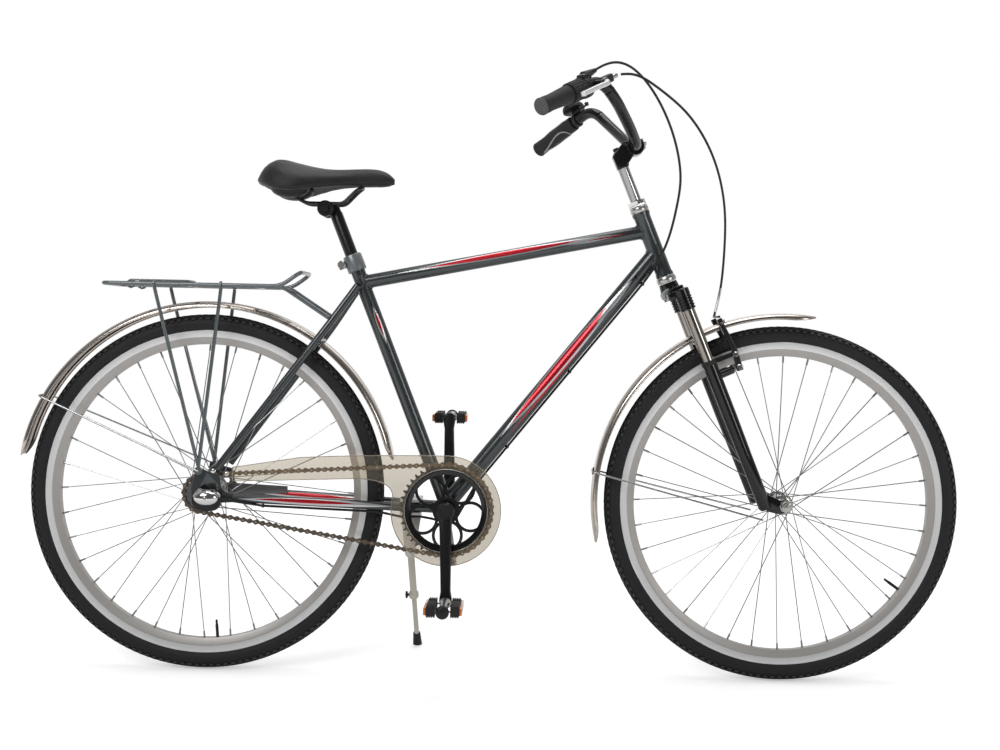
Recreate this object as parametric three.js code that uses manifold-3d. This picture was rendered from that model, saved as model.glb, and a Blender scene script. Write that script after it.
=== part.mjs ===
// A touring bicycle with a suspension fork, hub gear, chain guard, mudguards, carrier and side stand.
// Millimetres and radians. In the bicycle's upright frame X runs forward from the rear axle, Y to the
// rider's
// left and Z up from the ground. The whole bicycle then leans on its side stand.
import * as THREE from "three";
import { mergeVertices } from "three/addons/utils/BufferGeometryUtils.js";
import Module from "manifold-3d";

const { PI, sin, cos, hypot, asin, acos, atan2, round, max, min } = Math;
const radians = THREE.MathUtils.degToRad;

// Clearances and allowances
const SEAT_GAP = 0.3; // between pieces that touch
const RUNNING_GAP = 3; // between pieces that pass each other
const OVERRUN = 6; // how far a cutter passes the surface that it cuts
const EMBED = 1.5; // how far pieces that are joined run into each other
const WELD_DISTANCE = 0.001; // vertices closer than this are one

// Counts of facets
const WHEEL_STEPS = 36;
const TYRE_STEPS = 7;
const TUBE_SIDES = 10;
const ROD_SIDES = 8;
const WIRE_SIDES = 6;
const SPOKE_SIDES = 3;

// Layout of the bicycle
const WHEELBASE = 1133;
const STAND_LEAN = radians(8);
const SEAT_ANGLE = radians(68);
const HEAD_ANGLE = radians(67.6);
const FORK_RAKE = 50;
const BRACKET = { forward: 475, height: 328 };
const DROPOUT_HALF_SPACING = 60;
const CHAIN_LINE = 45;

const TYRE = { radius: 351, section: 20 };
const RIM = { edgeRadius: 317.5, innerRadius: 290, halfWidth: 12.5, trackDepth: 13, innerHalfWidth: 7 };
const VALVE = { radius: 3, length: 34 };
const SPOKE = { radius: 1.1, count: 36, crossings: 3, flangeInset: 3.5, rimOut: 2 };
const REAR_HUB = { flangeRadius: 33, flangeAt: 30, flangeWidth: 3, bodyRadius: 27, endRadius: 17,
  halfWidth: 39 };
const FRONT_HUB = { flangeRadius: 20, flangeAt: 33, flangeWidth: 3, bodyRadius: 14, endRadius: 11,
  halfWidth: 46 };
const AXLE = { radius: 5, coneRadius: 8, nutRadius: 10, nutWidth: 8, washerRadius: 12, washerWidth: 2,
  stub: 4 };

// Frame tubes
const SEAT_TUBE = { radius: 14.3, length: 534 };
const SHELL = { radius: 20.5, halfWidth: 34, wall: 3 };
const TOP_TUBE = { radius: 13.5, seatStation: 476, headStation: 596 };
const DOWN_TUBE = { radius: 15.9, headStation: 550, rise: 8 };
const HEAD_TUBE = { radius: 16.5, wall: 2, bottom: 500, length: 135 };
const CHAIN_STAY = { radius: 9, tipRadius: 8, shellOut: 25 };
const SEAT_STAY = { radius: 7.5, topOut: 17, topBack: 10, topStation: 468, bendOut: 38, bend: 235,
  bendHeight: 681 };
const DROPOUT = {
  thickness: 5, axleBoss: 17, stayReach: 66, stayDrop: 6, stayHalf: 8,
  seatReach: 27, seatRise: 42, seatHalf: 8, eyeRise: 39, eyeBack: 4, eyeRadius: 7, screwRadius: 2.6,
  windowForward: 24, windowRise: 14, windowRadius: 6,
};
const STAY_BRIDGE = { radius: 6, placeShare: 0.935 };
const COLLAR = { radius: 19, width: 34, earReach: 32, earWidth: 16, earHeight: 16, boltRadius: 4 };
const HEADSET = { lip: 13, lowerRadius: 20, upperRadius: 18.5, nutRadius: 18, nutWidth: 12, nutSides: 8 };

// Drive
const PITCH = 12.7;
const LINKS = 106;
const CHAIN = { inner: 2.4, outer: 3.6, pinHalf: 4.2, waistHalf: 2.9, rollerHalf: 3.4 };
const TOOTH = { height: 3, root: 4.8, thickness: 2.5, tipShare: 0.09, rootShare: 0.19 };
const CHAINRING = { teeth: 44, holes: 5, holeRadius: 25, holeCircle: 53, holeTurn: radians(58) };
const SPROCKET = { teeth: 18, carrierRadius: 19 };
const CRANK = {
  length: 170, turn: radians(1.7), hubRadius: 17, hubInner: 41, hubOuter: 71, capRadius: 15, cap: 2.5,
  armInner: 54, tipInner: 80, tipOuter: 93, tipRadius: 13, hubHalf: 13, tipHalf: 9.5,
};
const SPINDLE = { radius: 8.5, halfLength: 66 };
const CUP = { radius: 19, width: 4 };
const PEDAL = {
  length: 90, gap: 4, axleRadius: 5, barrelRadius: 11, capRadius: 10.5, capLength: 8, blockInner: 15,
    blockOuter: 37,
  blockHalf: 10.5, bevel: 3, cageHalf: 5, cageThickness: 6,
};
const GUARD = {
  face: 57, sheet: 2, depth: 7, radius: 108, opening: 80, rearEnd: 58, rearTop: 405, rearBottom: 376,
  rise: 427, riseAt: 190, dip: 386, dipAt: 300, meetTurn: radians(166.5), topTurn: radians(95),
  strapWidth: 12, strapThickness: 2, strapTurn: radians(-81), tabRise: 10, tabLength: 17,
};
const GEAR_COVER = { front: 38, radius: 17, drop: 6, inner: 67, outer: 92, bevel: 3 };
const COASTER_ARM = { length: 150, halfWidth: 9, tipHalf: 7, thickness: 3, face: 42 };

// Fork and front end, along the steering axis from the foot of the front axle's offset
const FORK = {
  legForward: 13, legOut: 57, stanchionRadius: 12, stanchionFoot: 228, lowerRadius: 14,
  lowerTop: 316, wiperRadius: 15, wiperHeight: 6, lowerFoot: 8, boreFoot: 166, dropoutRadius: 12,
    dropoutWidth: 8,
  collarRadius: 15.5, collarFoot: 423, collarRibs: 3, crownFoot: 452, crownHalf: 15, crownRise: 30,
  bossRadius: 12, bossForward: -9, bossUp: 464, bossHalf: 22,
  archFoot: 296, archTop: 357.5, archInner: 26, archTyreTop: 353, archOut: 44.3, archBack: 4, archFront: 24,
};
const STEERER = { radius: 12.7, wall: 1.3, top: 655 };
const BRAKE = {
  pivotForward: 66, pivotOut: 40, pivotUp: 283, postRadius: 4, postBack: 13, armLength: 103,
    armHalf: 6,
  armTipHalf: 4.5, bossRadius: 8, gussetHalf: 7, padGap: 2.5, padLength: 56, padHalf: 4.5, padThick: 9,
    padRadius: 309,
  padPostRadius: 4, topLean: 3,
};
const STEM = {
  quillRadius: 11.1, quillFoot: 560, neckTop: 731, headTop: 772, reach: 37, clampUp: 760, clampRadius: 17.5,
  clampHalf: 20, headHalf: 14, backRise: 18, backOut: 12, expanderRadius: 6, boltReach: 12,
};
const BAR = { radius: 11.1, sides: 8, bendSteps: 3, straightHalf: 34 };
// The bar's left half outside its clamp, as forward, left and up from the ground in the upright frame
const BAR_CORNERS = [
  { x: 816, y: 80, z: 1073 },
  { x: 782, y: 150, z: 1118 },
  { x: 752, y: 172, z: 1150 },
  { x: 642, y: 290, z: 1078 },
];
const BAR_BENDS = [9, 24, 22, 24];
const GRIP = { radius: 16.5, halfLength: 80, fullLength: 118, flangeRadius: 20, flange: 3, domeRadius: 11,
  dome: 5 };
const TWIST = { radius: 17.5, length: 38, ribs: 12, rib: 1.2 };
const SHIFTER = { radius: 19, length: 16, windowHalf: 7, windowRise: 24, windowReach: 14 };
const LEVER = {
  clampWidth: 11, clampRadius: 15, bodyHalf: 6, bodyFoot: 9, bodyTop: 30, pivotForward: 30,
    pivotInward: 12, pinRadius: 3.5,
  bladeReach: 50, bladeLength: 96, bladeKnee: 22, bowShare: 0.75, bladeThick: 6, adjusterRadius: 5,
    adjusterTop: 58, adjusterForward: 22,
};
const BELL = { at: 128, clampWidth: 9, clampRadius: 14.5, stand: 9, domeRadius: 24, domeHeight: 17,
  strikerLength: 24, pinRadius: 3 };

// Saddle and post
const POST = { radius: 12.7, top: 640, foot: 395, neckRadius: 11, neckFrom: 622 };
const CLAMP = { forward: 224, up: 913, radius: 16, inner: 14, outer: 28, headRadius: 13, boltRadius: 4,
  boltHalf: 34 };
const RAIL = { radius: 3.5, bridgeHalf: 3 };
// Half of the rails, as forward, out and up in the upright frame
const RAIL_CORNERS = [
  { x: 312, y: 12, z: 952.4 },
  { x: 286, y: 20, z: 949 },
  { x: 258, y: 22, z: 923 },
  { x: 186, y: 22, z: 923 },
  { x: 160, y: 30, z: 936 },
  { x: 132, y: 42, z: 954.2 },
];
const SADDLE = { rear: 92, length: 265, base: 917, height: 88, halfWidth: 96, skirt: 8, outerPoints: 10,
  innerPoints: 6 };
// Sections from the rear to the nose: place, half width, crown, skirt and underside
const SADDLE_SHARES = [
  [0, 0.42, 0.56, 0.5, 0.46], [0.05, 0.7, 0.8, 0.32, 0.5], [0.15, 0.94, 1, 0.12, 0.52], [0.28, 1, 0.95,
    0.06, 0.53],
  [0.4, 0.82, 0.88, 0.2, 0.53], [0.5, 0.58, 0.84, 0.31, 0.53], [0.6, 0.4, 0.835, 0.38, 0.53], [0.75, 0.27,
    0.86, 0.43, 0.52],
  [0.87, 0.22, 0.865, 0.44, 0.51], [0.95, 0.18, 0.8, 0.46, 0.5], [1, 0.1, 0.66, 0.54, 0.5],
];

// Carrier, mudguards, stand and cables
const CARRIER = {
  rear: -200, front: 146, height: 757, halfWidth: 62, rod: 5, loopRise: 28, loopReach: 38,
    crossRods: [-150, -35, 95],
  innerOut: 24, legRear: -98, legFront: 31, legGap: 1.2, bend: 16, strutAt: 146, strutFoot: 237,
    strutFootHeight: 698,
};
const CLIP = { pivot: -150, front: -40, halfWidth: 33, wire: 2, coilTurns: 2, coilSteps: 8,
  coilPitch: 4.8, coilGap: 0.6 };
const MUDGUARD = {
  radius: 376, sheet: 1.6, halfWidth: 27, drop: 12, ringTurn: radians(10), rearFrom: radians(10.9),
    rearTo: radians(170),
  frontFrom: radians(80.6), frontTo: radians(193), stayRadius: 2, stayAngle: radians(151),
    frontStayAngle: radians(171.5),
};
const STAND = {
  pivot: { x: 402, y: 20, z: 238 }, foot: { x: 410, y: 150, z: 20.3 }, axisTilt: radians(15), radius: 7,
  upperLength: 122, innerRadius: 5, overlap: 62, footLength: 34, footRadius: 9, clampRadius: 10,
    clampLength: 12,
  screwReach: 17, screwRadius: 3, plateBack: 384, plateFront: 424, plateHalf: 37, plateThickness: 5,
    pinRadius: 4,
  headRadius: 10, cheek: 5, boltRadius: 5,
};
const CABLE = { radius: 2.5, sides: 5, loopSteps: 22 };
// The shifter's cable in the upright frame: its loop in front of the bar, and its way round the bracket
// shell
const SHIFT_LOOP = [
  { x: 733, y: -197, z: 1158 }, { x: 762, y: -190, z: 1178 }, { x: 800, y: -168, z: 1186 }, { x: 850,
    y: -130, z: 1150 },
  { x: 897.6, y: -100, z: 1069.9 }, { x: 917.5, y: -72, z: 988.6 }, { x: 914, y: -58, z: 948 },
    { x: 902.7, y: -43, z: 879.3 },
  { x: 887, y: -32, z: 837 }, { x: 866, y: -18, z: 797.5 },
];
const SHIFT_TUBE_SHARES = [0.85, 0.6];
const SHIFT_TUBE_END_SHARE = 0.1;
const SHIFT_LOW = [
  { x: 497, y: -9, z: 314.5 }, { x: 486, y: -12, z: 304.5 }, { x: 475, y: -15, z: 302 }, { x: 462, y: -18,
    z: 303.5 },
  { x: 445, y: -22, z: 308 }, { x: 424, y: -27, z: 312.3 }, { x: 384, y: -31, z: 312.3 },
];
const SHIFT_STAY_PLACES = [340, 120];
// The brake's cable: its free loop, before it crosses the brake
const BRAKE_LOOP = [
  { x: 790, y: -164, z: 1162 }, { x: 822, y: -160, z: 1166 }, { x: 864.7, y: -150, z: 1138 }, { x: 912,
    y: -128, z: 1108 },
  { x: 947.8, y: -105, z: 1069.5 }, { x: 984.7, y: -70, z: 1013.3 }, { x: 1007.6, y: -30, z: 940.6 },
    { x: 1015, y: 8, z: 883 },
  { x: 1016, y: 36, z: 815 }, { x: 1013, y: 50, z: 765 },
];

const wasm = await Module();
wasm.setup();

const at = (x, y, z) => new THREE.Vector3(x, y, z);
const X_AXIS = at(1, 0, 0);
const Y_AXIS = at(0, 1, 0);
const Z_AXIS = at(0, 0, 1);

// Materials
const paint = (color, roughness, metalness) => new THREE.MeshStandardMaterial({ color, roughness,
  metalness });
const GRAPHITE = paint(0x3b4448, 0.35, 0.55);
const BLACK_PAINT = paint(0x0d0d0e, 0.3, 0.1);
const BLACK_PLASTIC = paint(0x1a1a1b, 0.6, 0);
const GREY_PLASTIC = paint(0x8b9094, 0.5, 0.1);
const RUBBER = paint(0x222222, 0.85, 0);
const STEEL = paint(0xb4b2ae, 0.35, 0.85);
const CHROME = paint(0xc9c2b8, 0.15, 1);
const ALLOY = paint(0xc4c5c6, 0.4, 0.8);
const CHAIN_STEEL = paint(0x6a5646, 0.5, 0.7);
const SMOKED = paint(0xd8c6b4, 0.2, 0);
const BEIGE_PAINT = paint(0xcfc9bd, 0.45, 0.1);
const LEATHER = paint(0x18181a, 0.7, 0);

// The corner radius of a faceted bore whose flats clear a rod.
const bored = (radius, sides = TUBE_SIDES) => (radius + SEAT_GAP) / cos(PI / sides);

// A closed geometry as a solid whose shared vertices are one.
function solidOf(geometry) {
  const source = geometry.index ? geometry.toNonIndexed() : geometry;
  const bare = new THREE.BufferGeometry();
  bare.setAttribute("position", source.getAttribute("position"));
  const welded = mergeVertices(bare, WELD_DISTANCE);
  const mesh = new wasm.Mesh({
    numProp: 3,
    vertProperties: welded.getAttribute("position").array,
    triVerts: new Uint32Array(welded.index.array),
  });
  return new wasm.Manifold(mesh);
}

function geometryOf(solid) {
  const mesh = solid.getMesh();
  const geometry = new THREE.BufferGeometry();
  geometry.setAttribute("position", new THREE.BufferAttribute(mesh.vertProperties, 3));
  geometry.setIndex(new THREE.BufferAttribute(mesh.triVerts, 1));
  geometry.computeVertexNormals();
  return geometry;
}

const join = (...pieces) => geometryOf(pieces.map(solidOf).reduce((whole, piece) => whole.add(piece)));
const cut = (body, ...cutters) => geometryOf(cutters.map(solidOf).reduce((left,
  piece) => left.subtract(piece), solidOf(body)));

// A round rod between two points, tapered where its end radius differs.
function rod(from, to, radius, sides = ROD_SIDES, endRadius = radius) {
  const along = to.clone().sub(from);
  const geometry = new THREE.CylinderGeometry(endRadius, radius, along.length(), sides);
  geometry.translate(0, along.length() / 2, 0);
  geometry.applyQuaternion(new THREE.Quaternion().setFromUnitVectors(Y_AXIS, along.normalize()));
  return geometry.translate(from.x, from.y, from.z);
}

function box(low, high) {
  const size = high.clone().sub(low);
  const middle = low.clone().add(high).multiplyScalar(0.5);
  return new THREE.BoxGeometry(size.x, size.y, size.z).translate(middle.x, middle.y, middle.z);
}

// A profile of [radius, place] points turned about Y.
function turned(profile, steps) {
  const points = profile.map(([radius, place]) => new THREE.Vector2(radius, place));
  return new THREE.LatheGeometry(points, steps, PI / steps);
}

function ring(inner, outer, from, to, steps = TUBE_SIDES) {
  return turned([[inner, from], [outer, from], [outer, to], [inner, to], [inner, from]], steps);
}

function disc(radius, from, to, steps = TUBE_SIDES) {
  return turned([[0, from], [radius, from], [radius, to], [0, to]], steps);
}

// Turns a geometry's Y axis to Z or X.
const alongZ = (geometry) => geometry.rotateX(PI / 2);
const alongX = (geometry) => geometry.rotateZ(-PI / 2);

// A flat plate whose outline is drawn in X and Z, between two places on Y.
function plate(shape, low, high, curveSteps = 4) {
  const geometry = new THREE.ExtrudeGeometry(shape, { depth: high - low, bevelEnabled: false,
    curveSegments: curveSteps });
  return geometry.rotateX(PI / 2).translate(0, high, 0);
}

function circle(radius, x = 0, z = 0, sides = TUBE_SIDES) {
  const points = Array.from({ length: sides }, (_, i) => {
    const turn = (2 * PI * i) / sides;
    return new THREE.Vector2(x + radius * cos(turn), z + radius * sin(turn));
  });
  return new THREE.Shape(points);
}

const outline = (points) => new THREE.Shape(points.map(([x, z]) => new THREE.Vector2(x, z)));

// A path through stations that a tube's sections stand at.
class Stations extends THREE.Curve {
  constructor(points) {
    super();
    this.points = points;
  }
  getPoint(share) {
    const place = share * (this.points.length - 1);
    const before = min(Math.floor(place), this.points.length - 2);
    return this.points[before].clone().lerp(this.points[before + 1], place - before);
  }
  getPointAt(share) {
    return this.getPoint(share);
  }
  getSpacedPoints() {
    return this.points.map((point) => point.clone());
  }
  getTangentAt(share) {
    const last = this.points.length - 1;
    const i = round(share * last);
    const way = at(0, 0, 0);
    if (i > 0) way.add(this.points[i].clone().sub(this.points[i - 1]).normalize());
    if (i < last) way.add(this.points[i + 1].clone().sub(this.points[i]).normalize());
    return way.normalize();
  }
}

function tube(points, radius, sides = ROD_SIDES) {
  const path = new Stations(points);
  const options = { extrudePath: path, steps: points.length - 1, bevelEnabled: false };
  return new THREE.ExtrudeGeometry(circle(radius, 0, 0, sides), options);
}

// Corners joined by straight lines, each inner corner rounded over a reach.
function rounded(corners, reach, steps = 3) {
  const points = [corners[0]];
  for (let i = 1; i < corners.length - 1; i += 1) {
    const room = Array.isArray(reach) ? reach[i - 1] : reach;
    const start = corners[i].clone().add(corners[i - 1].clone().sub(corners[i]).setLength(room));
    const end = corners[i].clone().add(corners[i + 1].clone().sub(corners[i]).setLength(room));
    points.push(...new THREE.QuadraticBezierCurve3(start, corners[i], end).getPoints(steps));
  }
  points.push(corners[corners.length - 1]);
  return points;
}

// A smooth route through points chosen by hand.
function smoothed(points, steps) {
  return new THREE.CatmullRomCurve3(points, false, "centripetal").getSpacedPoints(steps);
}

// The triangles of a flat ring's cap, in the ring's own sense, seen along its broadest projection.
function capFaces(ring) {
  const normal = at(0, 0, 0);
  ring.forEach((point, i) => normal.add(point.clone().cross(ring[(i + 1) % ring.length])));
  const across = at(normal.y, -normal.x, 0).length() > Math.abs(normal.z) ? at(-normal.y, normal.x,
    0).normalize() : X_AXIS.clone();
  const up = normal.clone().normalize().cross(across);
  const flat = ring.map((point) => new THREE.Vector2(point.dot(across), point.dot(up)));
  const sense = THREE.ShapeUtils.area(flat);
  return THREE.ShapeUtils.triangulateShape(flat, []).map(([a, b, c]) => {
    const turn = THREE.ShapeUtils.area([flat[a], flat[b], flat[c]]);
    return turn * sense < 0 ? [a, c, b] : [a, b, c];
  });
}

// A closed skin over rings of points that all have the same count.
function loft(rings) {
  const count = rings[0].length;
  const points = rings.flat();
  const faces = [];
  for (let i = 0; i < rings.length - 1; i += 1) {
    for (let j = 0; j < count; j += 1) {
      const a = i * count + j;
      const b = i * count + ((j + 1) % count);
      faces.push(a, b, b + count, a, b + count, a + count);
    }
  }
  const last = (rings.length - 1) * count;
  for (const [a, b, c] of capFaces(rings[0])) {
    faces.push(a, c, b, last + a, last + b, last + c);
  }
  const geometry = new THREE.BufferGeometry().setFromPoints(points);
  geometry.setIndex(faces);
  return geometry;
}

// A bar whose rectangular section changes from one end to the other; each end is a box face.
function taperedBar(from, to) {
  const corners = (end) => [
    at(end.x - end.halfX, end.y - end.halfY, end.z),
    at(end.x + end.halfX, end.y - end.halfY, end.z),
    at(end.x + end.halfX, end.y + end.halfY, end.z),
    at(end.x - end.halfX, end.y + end.halfY, end.z),
  ];
  return loft([corners(from), corners(to)]);
}

const mirrored = (point) => at(point.x, -point.y, point.z);
const SIDES = [{ name: "right", sign: -1 }, { name: "left", sign: 1 }];

function add(parent, name, geometry, material) {
  const mesh = new THREE.Mesh(geometry, material);
  mesh.name = name;
  parent.add(mesh);
  return mesh;
}

function groupAt(parent, place, turn = 0) {
  const group = new THREE.Group();
  group.position.copy(place);
  group.rotation.y = turn;
  parent.add(group);
  return group;
}

// Wheels
const facetShare = cos(PI / WHEEL_STEPS);

function tyreGeometry() {
  const centre = TYRE.radius - TYRE.section;
  const reach = acos((RIM.edgeRadius + SEAT_GAP - centre) / TYRE.section);
  const profile = Array.from({ length: TYRE_STEPS }, (_, i) => {
    const turn = reach * ((2 * i) / (TYRE_STEPS - 1) - 1);
    return [centre + TYRE.section * cos(turn), TYRE.section * sin(turn)];
  });
  return turned([...profile, profile[0]], WHEEL_STEPS);
}

function rimGeometry() {
  const trackFoot = RIM.edgeRadius - RIM.trackDepth;
  const profile = [
    [RIM.innerRadius, -RIM.innerHalfWidth],
    [trackFoot, -RIM.halfWidth],
    [RIM.edgeRadius, -RIM.halfWidth],
    [RIM.edgeRadius, RIM.halfWidth],
    [trackFoot, RIM.halfWidth],
    [RIM.innerRadius, RIM.innerHalfWidth],
    [RIM.innerRadius, -RIM.innerHalfWidth],
  ];
  const valve = rod(at(0, 0, RIM.innerRadius + EMBED), at(0, 0, RIM.innerRadius - VALVE.length),
    VALVE.radius);
  valve.rotateY(PI / SPOKE.count);
  return join(turned(profile, WHEEL_STEPS), valve);
}

// A hub with its spokes laced in crossing pairs. Turn 0 is straight up, and turns go forwards.
function hubGeometry(hub) {
  const bore = bored(AXLE.radius);
  const flange = hub.flangeWidth / 2;
  const profile = [
    [bore, -hub.halfWidth], [hub.endRadius, -hub.halfWidth], [hub.endRadius, -hub.flangeAt - flange],
    [hub.flangeRadius, -hub.flangeAt - flange], [hub.flangeRadius, -hub.flangeAt + flange],
    [hub.bodyRadius, -hub.flangeAt + flange], [hub.bodyRadius, hub.flangeAt - flange],
    [hub.flangeRadius, hub.flangeAt - flange], [hub.flangeRadius, hub.flangeAt + flange],
    [hub.endRadius, hub.flangeAt + flange], [hub.endRadius, hub.halfWidth], [bore, hub.halfWidth],
    [bore, -hub.halfWidth],
  ];
  const rimEnd = RIM.innerRadius * facetShare - SEAT_GAP - SPOKE.radius / 3;
  const holeRadius = hub.flangeRadius - SPOKE.flangeInset;
  const lacing = (2 * PI * 2 * SPOKE.crossings) / SPOKE.count;
  const spokes = Array.from({ length: SPOKE.count }, (_, i) => {
    const turn = (2 * PI * i) / SPOKE.count;
    const side = i % 2 ? 1 : -1;
    const leads = i % 4 < 2 ? 1 : -1;
    const start = turn - leads * lacing;
    const out = hub.flangeAt + (leads * hub.flangeWidth) / 2;
    const from = at(holeRadius * sin(start), side * out, holeRadius * cos(start));
    const to = at(rimEnd * sin(turn), side * SPOKE.rimOut, rimEnd * cos(turn));
    return rod(from, to, SPOKE.radius, SPOKE_SIDES);
  });
  return join(turned(profile, TUBE_SIDES), ...spokes);
}

function addWheel(parent, name, hub) {
  add(parent, `${name}_tyre`, tyreGeometry(), RUBBER);
  add(parent, `${name}_rim`, rimGeometry(), ALLOY);
  add(parent, `${name}_hub`, hubGeometry(hub), STEEL);
}

// An axle with its cones, washers and nuts, gripped by two plates.
function axleGeometry(hub, plateInner, plateOuter) {
  const washer = plateOuter + SEAT_GAP;
  const nut = washer + AXLE.washerWidth;
  const half = [
    [AXLE.radius, hub.halfWidth + SEAT_GAP], [AXLE.coneRadius, hub.halfWidth + SEAT_GAP],
      [AXLE.coneRadius, plateInner - SEAT_GAP],
    [AXLE.radius, plateInner - SEAT_GAP], [AXLE.radius, washer], [AXLE.washerRadius, washer],
      [AXLE.washerRadius, nut],
    [AXLE.nutRadius, nut], [AXLE.nutRadius, nut + AXLE.nutWidth], [AXLE.radius, nut + AXLE.nutWidth],
    [AXLE.radius, nut + AXLE.nutWidth + AXLE.stub], [0, nut + AXLE.nutWidth + AXLE.stub],
  ];
  const other = half.map(([radius, place]) => [radius, -place]).reverse();
  return turned([...other, ...half], ROD_SIDES);
}

// Drive
const pitchRadius = (teeth) => PITCH / (2 * sin(PI / teeth));
const rearAxlePlace = at(0, 0, TYRE.radius);
const bracketPlace = at(BRACKET.forward, 0, BRACKET.height);
const driveSlope = atan2(BRACKET.height - TYRE.radius, BRACKET.forward);

// A toothed outline whose first gap points along a turn from forward.
function toothedOutline(teeth, firstGap) {
  const radius = pitchRadius(teeth);
  const step = (2 * PI) / teeth;
  const points = [];
  for (let i = 0; i < teeth; i += 1) {
    const middle = firstGap + (i + 0.5) * step;
    const root = radius - TOOTH.root;
    const tip = radius + TOOTH.height;
    for (const [reach, share] of [[root, -TOOTH.rootShare], [tip, -TOOTH.tipShare], [tip, TOOTH.tipShare],
      [root, TOOTH.rootShare]]) {
      points.push([reach * cos(middle + share * step), reach * sin(middle + share * step)]);
    }
  }
  return outline(points);
}

function chainringGeometry() {
  const shape = toothedOutline(CHAINRING.teeth, driveSlope);
  shape.holes.push(circle(bored(CRANK.hubRadius)));
  for (let i = 0; i < CHAINRING.holes; i += 1) {
    const turn = CHAINRING.holeTurn + (2 * PI * i) / CHAINRING.holes;
    shape.holes.push(circle(CHAINRING.holeRadius, CHAINRING.holeCircle * cos(turn),
      CHAINRING.holeCircle * sin(turn), 10));
  }
  return plate(shape, -CHAIN_LINE - TOOTH.thickness / 2, -CHAIN_LINE + TOOTH.thickness / 2);
}

function sprocketGeometry() {
  const shape = toothedOutline(SPROCKET.teeth, driveSlope + PI);
  shape.holes.push(circle(bored(AXLE.coneRadius)));
  const face = -CHAIN_LINE + TOOTH.thickness / 2;
  const carrier = ring(bored(AXLE.coneRadius), SPROCKET.carrierRadius, face - EMBED,
    -REAR_HUB.halfWidth - SEAT_GAP);
  return join(plate(shape, -CHAIN_LINE - TOOTH.thickness / 2, face), carrier);
}

// The closed path of the chain's pins: two straight runs and the wraps round both toothed wheels.
function chainPins() {
  const large = pitchRadius(CHAINRING.teeth);
  const small = pitchRadius(SPROCKET.teeth);
  const between = hypot(BRACKET.forward, BRACKET.height - TYRE.radius);
  const lift = asin((large - small) / between);
  const straight = between * cos(lift);
  const frontHalf = large * (PI / 2 + lift);
  const rearHalf = small * (PI / 2 - lift);
  const whole = 2 * (straight + frontHalf + rearHalf);
  const onWheel = (centre, radius, turn) => ({ x: centre.x + radius * cos(turn),
    z: centre.z + radius * sin(turn) });
  return Array.from({ length: LINKS }, (_, i) => {
    const run = (whole * i) / LINKS;
    const mirror = run > whole / 2 ? -1 : 1;
    const along = mirror > 0 ? run : whole - run;
    if (along < frontHalf) return onWheel(bracketPlace, large, driveSlope + (mirror * along) / large);
    const front = onWheel(bracketPlace, large, driveSlope + mirror * (PI / 2 + lift));
    const rear = onWheel(rearAxlePlace, small, driveSlope + mirror * (PI / 2 + lift));
    const share = (along - frontHalf) / straight;
    if (share < 1) return { x: front.x + (rear.x - front.x) * share,
      z: front.z + (rear.z - front.z) * share };
    const turned = PI / 2 + lift + (along - frontHalf - straight) / small;
    return onWheel(rearAxlePlace, small, driveSlope + mirror * turned);
  });
}

// The chain: two strips of waisted side plates joined by a four-sided roller at every pin.
function chainGeometry() {
  const pins = chainPins();
  const points = [];
  const faces = [];
  const quad = (a, b, c, d) => faces.push(a, b, c, a, c, d);
  const layers = [-CHAIN.outer, -CHAIN.inner, CHAIN.inner, CHAIN.outer];
  // Each link holds eight points at its pin, four roller corners, and eight points at its waist.
  const perLink = 20;
  pins.forEach((pin, i) => {
    const next = pins[(i + 1) % LINKS];
    const last = pins[(i + LINKS - 1) % LINKS];
    const along = at(next.x - last.x, 0, next.z - last.z).normalize();
    const across = at(-along.z, 0, along.x);
    const place = (middle, way, up, side, forward = 0) => {
      points.push(at(middle.x + way.x * up + along.x * forward, side - CHAIN_LINE,
        middle.z + way.z * up + along.z * forward));
    };
    for (const side of layers) for (const up of [CHAIN.pinHalf, -CHAIN.pinHalf]) place(pin, across, up,
      side);
    for (const side of [-CHAIN.inner, CHAIN.inner]) {
      for (const forward of [CHAIN.rollerHalf, -CHAIN.rollerHalf]) place(pin, across, 0, side, forward);
    }
    const chord = at(next.x - pin.x, 0, next.z - pin.z).normalize();
    const waist = { x: (pin.x + next.x) / 2, z: (pin.z + next.z) / 2 };
    const waistWay = at(-chord.z, 0, chord.x);
    for (const side of layers) for (const up of [CHAIN.waistHalf, -CHAIN.waistHalf]) place(waist,
      waistWay, up, side);
  });
  for (let i = 0; i < LINKS; i += 1) {
    const pin = i * perLink;
    const waist = pin + 12;
    const next = ((i + 1) % LINKS) * perLink;
    for (const [from, to] of [[pin, waist], [waist, next]]) {
      for (const strip of [0, 4]) {
        quad(from + strip, to + strip, to + strip + 2, from + strip + 2);
        quad(from + strip + 3, to + strip + 3, to + strip + 1, from + strip + 1);
      }
      quad(from + 1, to + 1, to, from);
      quad(from + 6, to + 6, to + 7, from + 7);
    }
    // Inner faces, open where the roller joins them
    const front = pin + 8;
    const back = next + 9;
    faces.push(pin + 2, waist + 2, front, front, waist + 2, waist + 3, front, waist + 3, pin + 3);
    faces.push(waist + 2, next + 2, back, waist + 2, back, waist + 3, back, next + 3, waist + 3);
    faces.push(pin + 4, front + 2, waist + 4, front + 2, waist + 5, waist + 4, front + 2, pin + 5,
      waist + 5);
    faces.push(waist + 4, back + 2, next + 4, waist + 4, waist + 5, back + 2, back + 2, waist + 5,
      next + 5);
    // Roller
    quad(pin + 2, pin + 8, pin + 10, pin + 4);
    quad(pin + 8, pin + 3, pin + 5, pin + 10);
    quad(pin + 3, pin + 9, pin + 11, pin + 5);
    quad(pin + 9, pin + 2, pin + 4, pin + 11);
  }
  const geometry = new THREE.BufferGeometry().setFromPoints(points);
  geometry.setIndex(faces);
  return geometry;
}

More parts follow.
